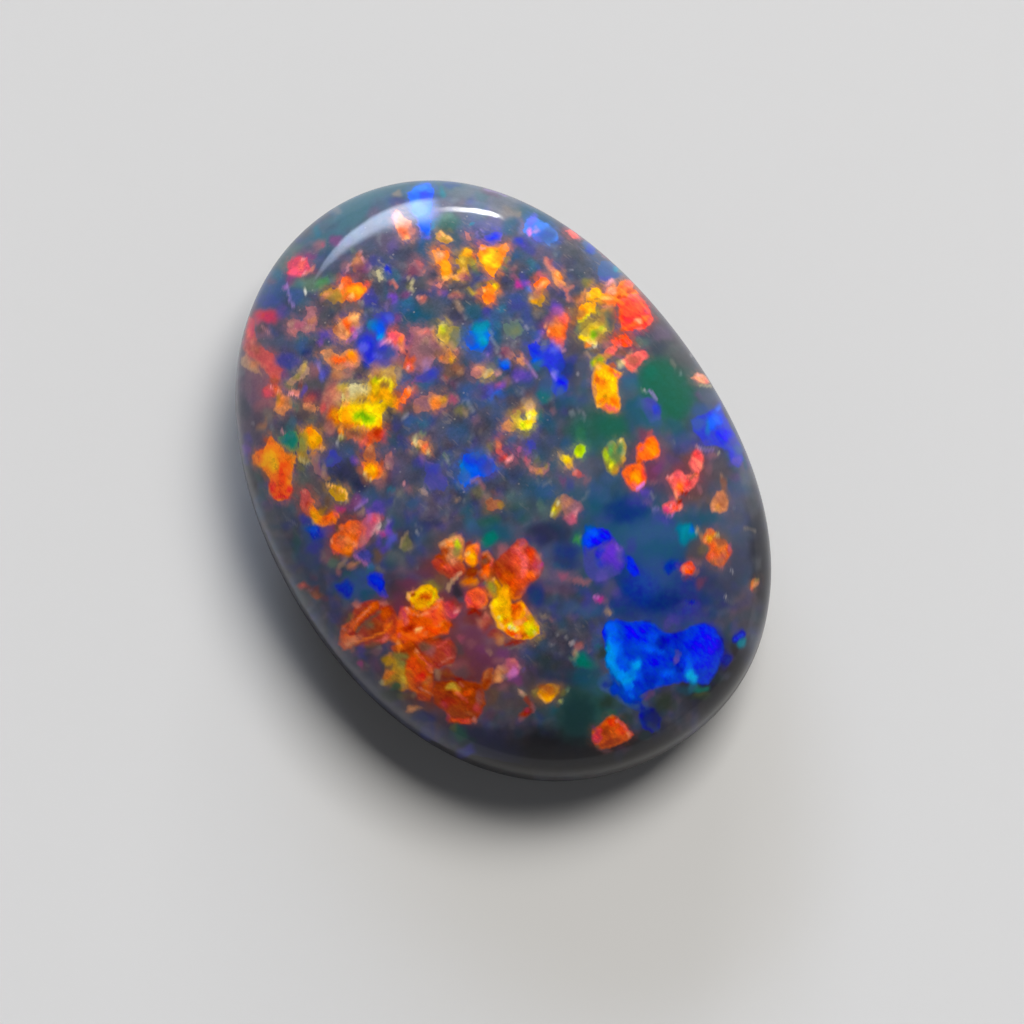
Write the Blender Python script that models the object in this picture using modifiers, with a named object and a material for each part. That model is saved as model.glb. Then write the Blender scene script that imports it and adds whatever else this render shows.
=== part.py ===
"""Black opal: one hand-cut oval cabochon that rests on a small flat spot on its back.

The long axis lies along Y and the top of the dome points up Z. The origin lies in the
resting plane, under the centre of the stone's outline.
"""
import math

import bpy

# Driving dimensions, in metres
LENGTH = 0.0140
WIDTH = 0.0100
HEIGHT = 0.0038
GIRDLE_HEIGHT = 0.00145
SIDE_WALL = 0.00030

# Shape of the section: a fullness of 2 is an ellipse, and more has a tighter shoulder
DOME_FULLNESS = 2.25
BACK_FULLNESS = 1.65
SPOT_SHARE = 0.42        # size of the resting spot, as a share of the outline

# How far hand cutting left the outline off a true oval, as shares of its radius
THREE_LOBES = -0.0125
THREE_LOBES_TURN = math.radians(19)
FOUR_LOBES = -0.0122
FOUR_LOBES_TURN = math.radians(4)

# Fineness of the surface
DOME_RINGS = 17
BACK_RINGS = 10
TURNS = 80
MERGE_DISTANCE = 1e-7
SHARP_EDGE_ANGLE = math.radians(40)

STONE_COLOUR = (0.045, 0.047, 0.075, 1.0)
STONE_ROUGHNESS = 0.12


def clear_scene():
    for item in list(bpy.data.objects):
        bpy.data.objects.remove(item, do_unlink=True)


def make_collection(name):
    collection = bpy.data.collections.new(name)
    bpy.context.scene.collection.children.link(collection)
    return collection


def make_stone_material():
    material = bpy.data.materials.new("polished_opal")
    material.use_nodes = True
    shader = material.node_tree.nodes["Principled BSDF"]
    shader.inputs["Base Color"].default_value = STONE_COLOUR
    shader.inputs["Roughness"].default_value = STONE_ROUGHNESS
    shader.inputs["Metallic"].default_value = 0.0
    return material


def quarter_curve(rings, fullness):
    """Pairs that run from (0, 1) to (1, 0) along a quarter of a full-bodied ellipse."""
    points = []
    for ring in range(rings + 1):
        turn = ring / rings * math.pi / 2
        across = math.sin(turn) ** (2 / fullness)
        up = max(math.cos(turn), 0.0) ** (2 / fullness)
        points.append((across, up))
    return points


def stone_profile():
    """Half section of the stone, from the top of the dome down to the middle of its back."""
    radius = WIDTH / 2
    dome_base = GIRDLE_HEIGHT + SIDE_WALL
    dome_rise = HEIGHT - dome_base
    spot = radius * SPOT_SHARE
    profile = []
    for across, up in quarter_curve(DOME_RINGS, DOME_FULLNESS):
        profile.append((radius * across, dome_base + dome_rise * up))
    for across, up in reversed(quarter_curve(BACK_RINGS, BACK_FULLNESS)):
        profile.append((spot + (radius - spot) * across, GIRDLE_HEIGHT * (1 - up)))
    profile.append((0.0, 0.0))
    return profile


def turn_profile(name, profile):
    """A closed round body, turned about Z from its half section."""
    mesh = bpy.data.meshes.new(name + "_section")
    points = [(across, 0.0, up) for across, up in profile]
    edges = [(first, first + 1) for first in range(len(points) - 1)]
    mesh.from_pydata(points, edges, [])
    section = bpy.data.objects.new(name + "_section", mesh)
    bpy.context.scene.collection.objects.link(section)
    screw = section.modifiers.new("turn", "SCREW")
    screw.axis = "Z"
    screw.steps = TURNS
    screw.render_steps = TURNS
    screw.use_merge_vertices = True
    screw.merge_threshold = MERGE_DISTANCE
    depsgraph = bpy.context.evaluated_depsgraph_get()
    body = bpy.data.meshes.new_from_object(section.evaluated_get(depsgraph))
    bpy.data.objects.remove(section, do_unlink=True)
    return body


def cut_oval(body):
    """Draws the round body out into the hand-cut oval outline."""
    radius = WIDTH / 2
    for vertex in body.vertices:
        share = math.hypot(vertex.co.x, vertex.co.y) / radius
        angle = math.atan2(vertex.co.y, vertex.co.x)
        lobes = THREE_LOBES * math.cos(3 * (angle - THREE_LOBES_TURN))
        lobes += FOUR_LOBES * math.cos(4 * (angle - FOUR_LOBES_TURN))
        swell = 1 + share ** 2 * lobes
        vertex.co.x *= swell
        vertex.co.y *= swell * LENGTH / WIDTH


def fit_to_size(body):
    """Centres the outline on the origin and brings it to the driving length and width."""
    for axis, size in ((0, WIDTH), (1, LENGTH)):
        places = [vertex.co[axis] for vertex in body.vertices]
        middle = (max(places) + min(places)) / 2
        stretch = size / (max(places) - min(places))
        for vertex in body.vertices:
            vertex.co[axis] = (vertex.co[axis] - middle) * stretch


def make_opal(collection):
    body = turn_profile("opal", stone_profile())
    cut_oval(body)
    fit_to_size(body)
    body.shade_smooth()
    body.set_sharp_from_angle(angle=SHARP_EDGE_ANGLE)
    body.name = "opal"
    opal = bpy.data.objects.new("opal", body)
    body.materials.clear()
    body.materials.append(make_stone_material())
    collection.objects.link(opal)
    return opal


def main():
    clear_scene()
    collection = make_collection("black_opal")
    make_opal(collection)


main()
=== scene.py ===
import math

import bpy
import numpy as np
from mathutils import Matrix, Vector


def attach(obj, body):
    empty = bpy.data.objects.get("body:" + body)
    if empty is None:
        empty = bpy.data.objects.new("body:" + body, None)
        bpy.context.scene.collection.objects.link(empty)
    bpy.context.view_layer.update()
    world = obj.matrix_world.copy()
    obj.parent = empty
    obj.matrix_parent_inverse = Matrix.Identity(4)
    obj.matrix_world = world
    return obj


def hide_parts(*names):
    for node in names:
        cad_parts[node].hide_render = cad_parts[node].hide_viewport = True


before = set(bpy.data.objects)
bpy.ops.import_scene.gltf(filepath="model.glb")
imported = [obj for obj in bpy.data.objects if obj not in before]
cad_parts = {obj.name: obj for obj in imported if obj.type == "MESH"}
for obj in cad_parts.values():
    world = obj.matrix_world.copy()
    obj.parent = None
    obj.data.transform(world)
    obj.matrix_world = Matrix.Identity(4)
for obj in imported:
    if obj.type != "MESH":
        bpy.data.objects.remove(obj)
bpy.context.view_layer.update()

# The play of colour, with painted shade and reflection at the rim, is a list of marks on the
# stone: soft glows, flakes and thin ridges. A mark's place is in pixels of the photo's view, x to
# the right and y down from the top left. Later marks lie over earlier ones.

# The tones of the marks: red, green and blue as shown on screen, from 0 to 255
PALETTE = {
    # The stone's own dark body. Some of these tones also paint shade along the lower rim and the
    # sky's reflection along the upper rim
    "ground": (66, 68, 84),
    # potch black, also used as painted shade along the lower rim
    "potch_and_shade": (24, 22, 24),
    "night": (38, 36, 44),
    "night_blue": (34, 36, 66),
    "dusk": (58, 60, 78),
    "smoke": (82, 82, 84),
    "umber": (78, 68, 72),
    "slate": (74, 84, 104),
    "mauve_slate": (96, 82, 104),
    "haze": (112, 116, 122),
    "haze_warm": (124, 114, 104),
    "rim_teal": (66, 104, 114),
    "rim_green": (84, 104, 96),
    "abyss": (32, 58, 60),
    "moss": (42, 54, 42),
    "ash": (160, 156, 158),
    "pearl": (232, 228, 210),
    # Blues, from deep glow to bright flash
    "deep_teal": (34, 82, 104),
    "teal": (48, 104, 124),
    "denim": (62, 88, 132),
    "ink": (30, 48, 118),
    "indigo": (66, 68, 142),
    "royal": (48, 62, 190),
    "blue_flash": (20, 30, 240),
    "cobalt": (8, 56, 206),
    "lapis": (8, 20, 158),
    "azure": (22, 94, 242),
    "electric": (10, 146, 246),
    "sky": (70, 130, 235),
    "cyan": (20, 170, 230),
    "peacock": (20, 140, 160),
    # Violets
    "violet": (92, 76, 160),
    "amethyst": (92, 42, 206),
    "purple": (122, 82, 182),
    "periwinkle": (100, 104, 210),
    "lilac": (160, 130, 190),
    "orchid": (206, 120, 196),
    "magenta": (186, 66, 140),
    "plum": (122, 66, 112),
    # Greens
    "sea": (24, 116, 100),
    "forest": (34, 92, 72),
    "sage": (96, 124, 100),
    "green": (70, 150, 70),
    "leaf": (110, 170, 20),
    "lime": (170, 210, 20),
    "citron": (212, 202, 20),
    "olive": (130, 122, 60),
    # Yellows and golds
    "lemon": (245, 230, 50),
    "yellow": (255, 205, 20),
    "gold": (214, 176, 64),
    "saffron": (246, 178, 10),
    "mustard": (190, 140, 40),
    "straw": (212, 198, 140),
    # Oranges
    "amber": (250, 165, 30),
    "orange": (248, 130, 50),
    "tangerine": (250, 104, 50),
    "ember": (216, 92, 50),
    "apricot": (255, 185, 110),
    "peach": (240, 150, 110),
    "burnt": (214, 84, 20),
    "copper": (200, 128, 84),
    "tan": (176, 140, 110),
    "sienna": (160, 60, 22),
    "rust": (150, 88, 62),
    "brown": (112, 82, 64),
    # Reds and pinks
    "flame": (247, 80, 36),
    "vermilion": (242, 88, 62),
    "scarlet": (236, 56, 56),
    "coral": (232, 100, 94),
    "rose_red": (236, 86, 108),
    "crimson": (204, 74, 94),
    "garnet": (122, 56, 50),
    "russet": (172, 62, 46),
    "brick": (190, 84, 82),
    "rosewood": (152, 98, 104),
    "rose": (178, 88, 110),
    "wine": (108, 58, 80),
    "blush": (240, 160, 160),
    "salmon": (206, 122, 108),
    "blood": (170, 40, 20),
}

TONE_TOP = 255                          # the highest value of a tone
SCATTER_STEPS = (127.1, 311.7, 74.7)    # the usual hash that gives each place its own number
SCATTER_GAIN = 43758.5453
NOISE_GAIN = 1.6                        # brings smooth noise up to about -1 to 1
FAR_OFF = 9.0                           # further than any chip's middle, in chip sizes
TINY = 1e-9

# Faint patches of the body: tone, size in pixels and strength
MOTTLES = (
    ("slate", 52, 0.8), ("mauve_slate", 38, 0.6), ("denim", 27, 0.6), ("night", 21, 0.3),
    ("deep_teal", 19, 0.4), ("umber", 15, 0.4), ("indigo", 13, 0.4), ("haze", 11, 0.25),
    ("rosewood", 9, 0.15),
)
MOTTLE_SEED = 40
MOTTLE_FADE = (0.0, 0.7)                # from where to where in the noise a patch fades in

# The waves that bend the marks sideways, then down: size and push in pixels, and seed
GLOW_BENDS = (((17, 3.5, 1), (7, 1.8, 2)), ((17, 3.5, 3), (7, 1.8, 4)))
OUTLINE_BENDS = (((9, 1, 5), (4.2, 1, 6)), ((9, 1, 7), (4.2, 1, 8)))
OUTLINE_CALM = 0.8                      # how much of its bends an outline takes on the calm body
OUTLINE_WILD = 1.5                      # how much more where the body is dusty

# Sizes in pixels, unless they say otherwise
GLOW_END = 1.25                         # where a glow ends, as a share of its half size
GLOW_CORE = 0.35                        # where it is full
GLOW_MARGIN = 6                         # room for its bends
RIDGE_BEND = 0.6                        # the share of an outline's bends that a ridge takes
RIDGE_END = 1.0                         # how far past its half width a ridge ends
RIDGE_CORE = 0.6                        # how far within its half width it is full
RIDGE_MARGIN = 5
FLAKE_STRENGTH = 0.5                    # a weaker patch only tints what lies under it
EDGE_REACH = 4.5                        # half width of the ramp that becomes a flake's edge
HALO_REACH = 13                         # how far a flake's light spreads into the body
HALO_FULL = 0.5                         # how far outside a flake its light is still full


def fade(t):
    """Rises from 0 to 1 without a kink at either end."""
    return t * t * t * (t * (t * 6 - 15) + 10)


def smooth_step(low, high, value):
    t = np.clip((value - low) / (high - low), 0, 1)
    return t * t * (3 - 2 * t)


def scatter(ix, iy, seed):
    """A number from 0 to 1 for each whole-numbered place, the same in every run."""
    step_x, step_y, step_seed = SCATTER_STEPS
    mixed = np.sin(ix * step_x + iy * step_y + seed * step_seed) * SCATTER_GAIN
    return mixed - np.floor(mixed)


def noise(x, y, size, seed):
    """Smooth noise from about -1 to 1 whose bumps are about size wide."""
    x, y = x / size, y / size
    ix, iy = np.floor(x), np.floor(y)
    fx, fy = x - ix, y - iy
    total = 0
    for dx in (0, 1):
        for dy in (0, 1):
            angle = scatter(ix + dx, iy + dy, seed) * 2 * math.pi
            push = np.cos(angle) * (fx - dx) + np.sin(angle) * (fy - dy)
            wx = fade(fx) if dx else 1 - fade(fx)
            wy = fade(fy) if dy else 1 - fade(fy)
            total = total + wx * wy * push
    return total * NOISE_GAIN


def waves(x, y, layers):
    """Noise of several sizes added up. A layer is a size, a height and a seed."""
    return sum(noise(x, y, size, seed) * height for size, height, seed in layers)


def chips(x, y, size, seed):
    """Splits the plane into angular chips. Gives each point its chip's number from 0 to 1,
    and how far it is from the chip's edge."""
    x, y = x / size, y / size
    ix, iy = np.floor(x), np.floor(y)
    nearest = np.full(np.shape(x), FAR_OFF)
    second = np.full(np.shape(x), FAR_OFF)
    number = np.zeros(np.shape(x))
    for dx in (-1, 0, 1):
        for dy in (-1, 0, 1):
            jx, jy = ix + dx, iy + dy
            cx = jx + scatter(jx, jy, seed)
            cy = jy + scatter(jx, jy, seed + 1)
            away = np.hypot(cx - x, cy - y)
            closer = away < nearest
            second = np.where(closer, nearest, np.minimum(second, away))
            number = np.where(closer, scatter(jx, jy, seed + 2), number)
            nearest = np.where(closer, away, nearest)
    return number, (second - nearest) * size


def soft(colour, x, y, across, along=None, turn=0, strength=1.0, foil=0.0):
    """A glow with a blurred edge: its centre and half sizes, turned clockwise in degrees."""
    return {"kind": "soft", "colour": colour, "centre": (x, y), "half": (across, along or across),
            "turn": math.radians(turn), "strength": strength, "foil": foil}


def patch(colour, *outline, edge=1.6, strength=1.0, foil=1.0):
    """A flake with an outline of straight sides, which the grain of the stone roughens."""
    return {"kind": "patch", "colour": colour, "outline": outline, "edge": edge,
            "strength": strength, "foil": foil}


def line(colour, width, *route, strength=1.0, foil=0.5):
    """A thin bright or dark ridge that follows a route."""
    return {"kind": "line", "colour": colour, "route": route, "edge": width / 2,
            "strength": strength, "foil": foil}


def side_distance(x, y, a, b):
    """How far each point lies from the straight side from a to b."""
    (ax, ay), (bx, by) = a, b
    length = (bx - ax) ** 2 + (by - ay) ** 2 or TINY
    along = np.clip(((x - ax) * (bx - ax) + (y - ay) * (by - ay)) / length, 0, 1)
    return np.hypot(x - ax - along * (bx - ax), y - ay - along * (by - ay))


def outline_distance(x, y, outline):
    """How far each point lies inside an outline, and less than 0 outside it."""
    away = np.full(np.shape(x), np.inf)
    inside = np.zeros(np.shape(x), bool)
    for a, b in zip(outline, outline[1:] + outline[:1]):
        away = np.minimum(away, side_distance(x, y, a, b))
        crosses = (a[1] > y) != (b[1] > y)
        rise = b[1] - a[1] or TINY
        inside ^= crosses & (x < a[0] + (y - a[1]) * (b[0] - a[0]) / rise)
    return np.where(inside, away, -away)


def cover(stroke, x, y, loose, rough):
    """How strongly a stroke covers each point, from 0 to 1. Loose bends glows, and rough bends
    outlines and ridges."""
    edge = stroke.get("edge")
    if stroke["kind"] == "soft":
        cx, cy = stroke["centre"]
        across, along = stroke["half"]
        dx, dy = x + loose[0] - cx, y + loose[1] - cy
        c, s = math.cos(stroke["turn"]), math.sin(stroke["turn"])
        u, v = (dx * c + dy * s) / across, (dy * c - dx * s) / along
        share = smooth_step(GLOW_END, GLOW_CORE, np.hypot(u, v))
    elif stroke["kind"] == "patch":
        depth = outline_distance(x + rough[0], y + rough[1], stroke["outline"])
        share = smooth_step(-edge, edge, depth)
    else:
        x, y = x + rough[0] * RIDGE_BEND, y + rough[1] * RIDGE_BEND
        route = stroke["route"]
        away = np.min([side_distance(x, y, a, b) for a, b in zip(route, route[1:])], 0)
        share = smooth_step(edge + RIDGE_END, edge - RIDGE_CORE, away)
    return share * stroke["strength"]


def reach(stroke):
    """The box that a stroke can cover: lowest x and y, highest x and y."""
    if stroke["kind"] == "soft":
        size = max(stroke["half"]) * GLOW_END + GLOW_MARGIN
        cx, cy = stroke["centre"]
        return cx - size, cy - size, cx + size, cy + size
    points = np.array(stroke.get("outline") or stroke["route"], float)
    margin = stroke["edge"] + (HALO_REACH if stroke["kind"] == "patch" else RIDGE_MARGIN)
    return (*(points.min(0) - margin), *(points.max(0) + margin))


def mottle(x, y, ground):
    """The body's own colour at each point: a dark ground with faint patches of other tones."""
    body = np.tile(np.array(PALETTE[ground], float), (len(x), 1))
    for number, (colour, size, strength) in enumerate(MOTTLES):
        share = smooth_step(*MOTTLE_FADE, noise(x, y, size, MOTTLE_SEED + number)) * strength
        body += (np.array(PALETTE[colour], float) - body) * share[:, None]
    return body


def paint(x, y, strokes, ground, dusty):
    """The look of each point: the colour of the body, the colour of any flake on it, 0 to 1 as
    shown on screen, how far inside a flake it is, how much light of a flake near by it has,
    and how much foil grain."""
    loose = [waves(x, y, layers) for layers in GLOW_BENDS]
    wild = OUTLINE_CALM + OUTLINE_WILD * dusty
    rough = [waves(x, y, layers) * wild for layers in OUTLINE_BENDS]
    body = mottle(x, y, ground)
    flake = body.copy()
    inside = np.zeros(len(x))
    halo = np.zeros(len(x))
    foil = np.zeros(len(x))
    for stroke in strokes:
        x0, y0, x1, y1 = reach(stroke)
        near = np.flatnonzero((x > x0) & (x < x1) & (y > y0) & (y < y1))
        if not len(near):
            continue
        px, py = x[near], y[near]
        bend = [push[near] for push in rough]
        share = cover(stroke, px, py, [push[near] for push in loose], bend)
        tone = np.array(PALETTE[stroke["colour"]], float)
        if stroke["kind"] == "patch" and stroke["strength"] >= FLAKE_STRENGTH:
            depth = outline_distance(px + bend[0], py + bend[1], stroke["outline"])
            before = inside[near]
            spread = smooth_step(-HALO_REACH, -HALO_FULL, depth) * stroke["strength"]
            mixed = np.maximum(share * before, (1 - before) * spread)
            flake[near] += (tone - flake[near]) * mixed[:, None]
            inside[near] = np.maximum(before, np.clip(0.5 + depth / (2 * EDGE_REACH), 0, 1))
            halo[near] = np.maximum(halo[near], spread)
        else:
            body[near] += (tone - body[near]) * share[:, None]
            flake[near] += (tone - flake[near]) * share[:, None]
        foil[near] += (stroke["foil"] - foil[near]) * share
    return body / TONE_TOP, flake / TONE_TOP, inside, halo, foil


BODY_AND_PAINTED_LIGHT = [
    # Hazy teal and grey round the upper rim: the body's teal and grey with a painted reflection of
    # the bright sky in the polish
    soft("rim_teal", 352, 214, 64, 20, turn=-37, strength=0.9),
    soft("rim_teal", 296, 262, 50, 16, turn=-48, strength=0.5),
    soft("rim_teal", 430, 188, 56, 14, strength=0.8),
    soft("haze", 500, 202, 46, 14, turn=22, strength=0.7),
    soft("haze_warm", 512, 212, 16, 8, strength=0.7),
    soft("deep_teal", 536, 216, 26, 12, turn=30, strength=0.7),
    soft("rim_green", 290, 258, 22, 8, turn=-50, strength=0.7),
    soft("denim", 268, 292, 26, 22, turn=-50, strength=0.8),
    # Dull violet along the left rim
    soft("mauve_slate", 252, 392, 24, 60, strength=0.8),
    soft("mauve_slate", 262, 440, 26, 24, strength=0.4),
    # Brown grey along the right rim
    soft("umber", 672, 350, 26, 70, turn=-35, strength=0.7),
    soft("smoke", 600, 262, 50, 18, turn=42, strength=0.6),
    # Deep blue and green glows on the right
    soft("forest", 662, 390, 40, 50, turn=-20, strength=0.9),
    soft("forest", 602, 428, 34, 32, strength=0.7),
    soft("deep_teal", 640, 540, 80, 76, strength=0.8),
    soft("deep_teal", 560, 480, 50, 40, strength=0.6),
    soft("ink", 660, 590, 70, 50, strength=0.7),
    soft("slate", 735, 530, 30, 70, strength=0.6),
    # Dark lower end: painted shade along the lower rim and the right side, where the dome turns
    # away from the light, over the body's own darker tone
    soft("potch_and_shade", 560, 756, 110, 34, strength=0.9),
    soft("potch_and_shade", 722, 684, 46, 50, turn=35, strength=0.9),
    soft("night_blue", 480, 742, 50, 22, turn=25, strength=0.7),
    soft("forest", 588, 708, 46, 36, strength=0.55),
    soft("dusk", 370, 690, 60, 18, turn=48, strength=0.8),
    soft("night", 560, 668, 40, 26, strength=0.4),
    soft("potch_and_shade", 764, 560, 16, 90, turn=-4, strength=0.7),
    soft("potch_and_shade", 640, 752, 60, 26, turn=-20, strength=0.8),
    # A painted band of shade along the lower left rim
    line("potch_and_shade", 26, (254, 540), (285, 602), (320, 655), (355, 700), (402, 740), (450, 764),
         (520, 778), strength=0.75, foil=0),
    # Warm dusk under the fiery lower left
    soft("wine", 462, 606, 76, 62, strength=0.55),
    soft("rosewood", 484, 634, 44, 34, strength=0.45),
    soft("garnet", 420, 616, 44, 34, strength=0.8),
    soft("garnet", 500, 588, 38, 40, strength=0.8),
    soft("garnet", 448, 566, 30, 20, strength=0.6),
    soft("garnet", 442, 676, 58, 48, turn=20, strength=0.8),
    soft("garnet", 372, 620, 34, 26, strength=0.7),
    soft("wine", 500, 668, 34, 24, strength=0.6),
    soft("brown", 505, 700, 44, 24, strength=0.35),
    # Warm dusk round the fiery flakes on the right and on the left
    soft("wine", 652, 470, 30, 34, strength=0.5),
    soft("garnet", 690, 478, 24, 34, turn=25, strength=0.6),
    soft("brown", 714, 550, 22, 26, strength=0.4),
    soft("rosewood", 570, 470, 34, 26, strength=0.3),
    soft("garnet", 348, 532, 30, 24, turn=-30, strength=0.6),
    soft("brown", 312, 498, 34, 24, turn=40, strength=0.5),
    soft("brown", 330, 408, 46, 44, strength=0.45),
    soft("rosewood", 262, 372, 22, 60, turn=-8, strength=0.5),
    soft("brown", 600, 320, 40, 44, turn=20, strength=0.35),
]

# Where the body is dusty and the flakes' edges are soft. Only shape and strength count here.
DUSTY_AREAS = [
    soft("ash", 420, 320, 190, 120, turn=-20),
    soft("ash", 470, 450, 110, 80, strength=0.8),
    soft("ash", 600, 290, 60, 80, turn=-35, strength=0.8),
    soft("ash", 560, 640, 60, 30, strength=0.5),
    soft("ash", 340, 430, 90, 110, turn=15, strength=0.7),
]

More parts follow.
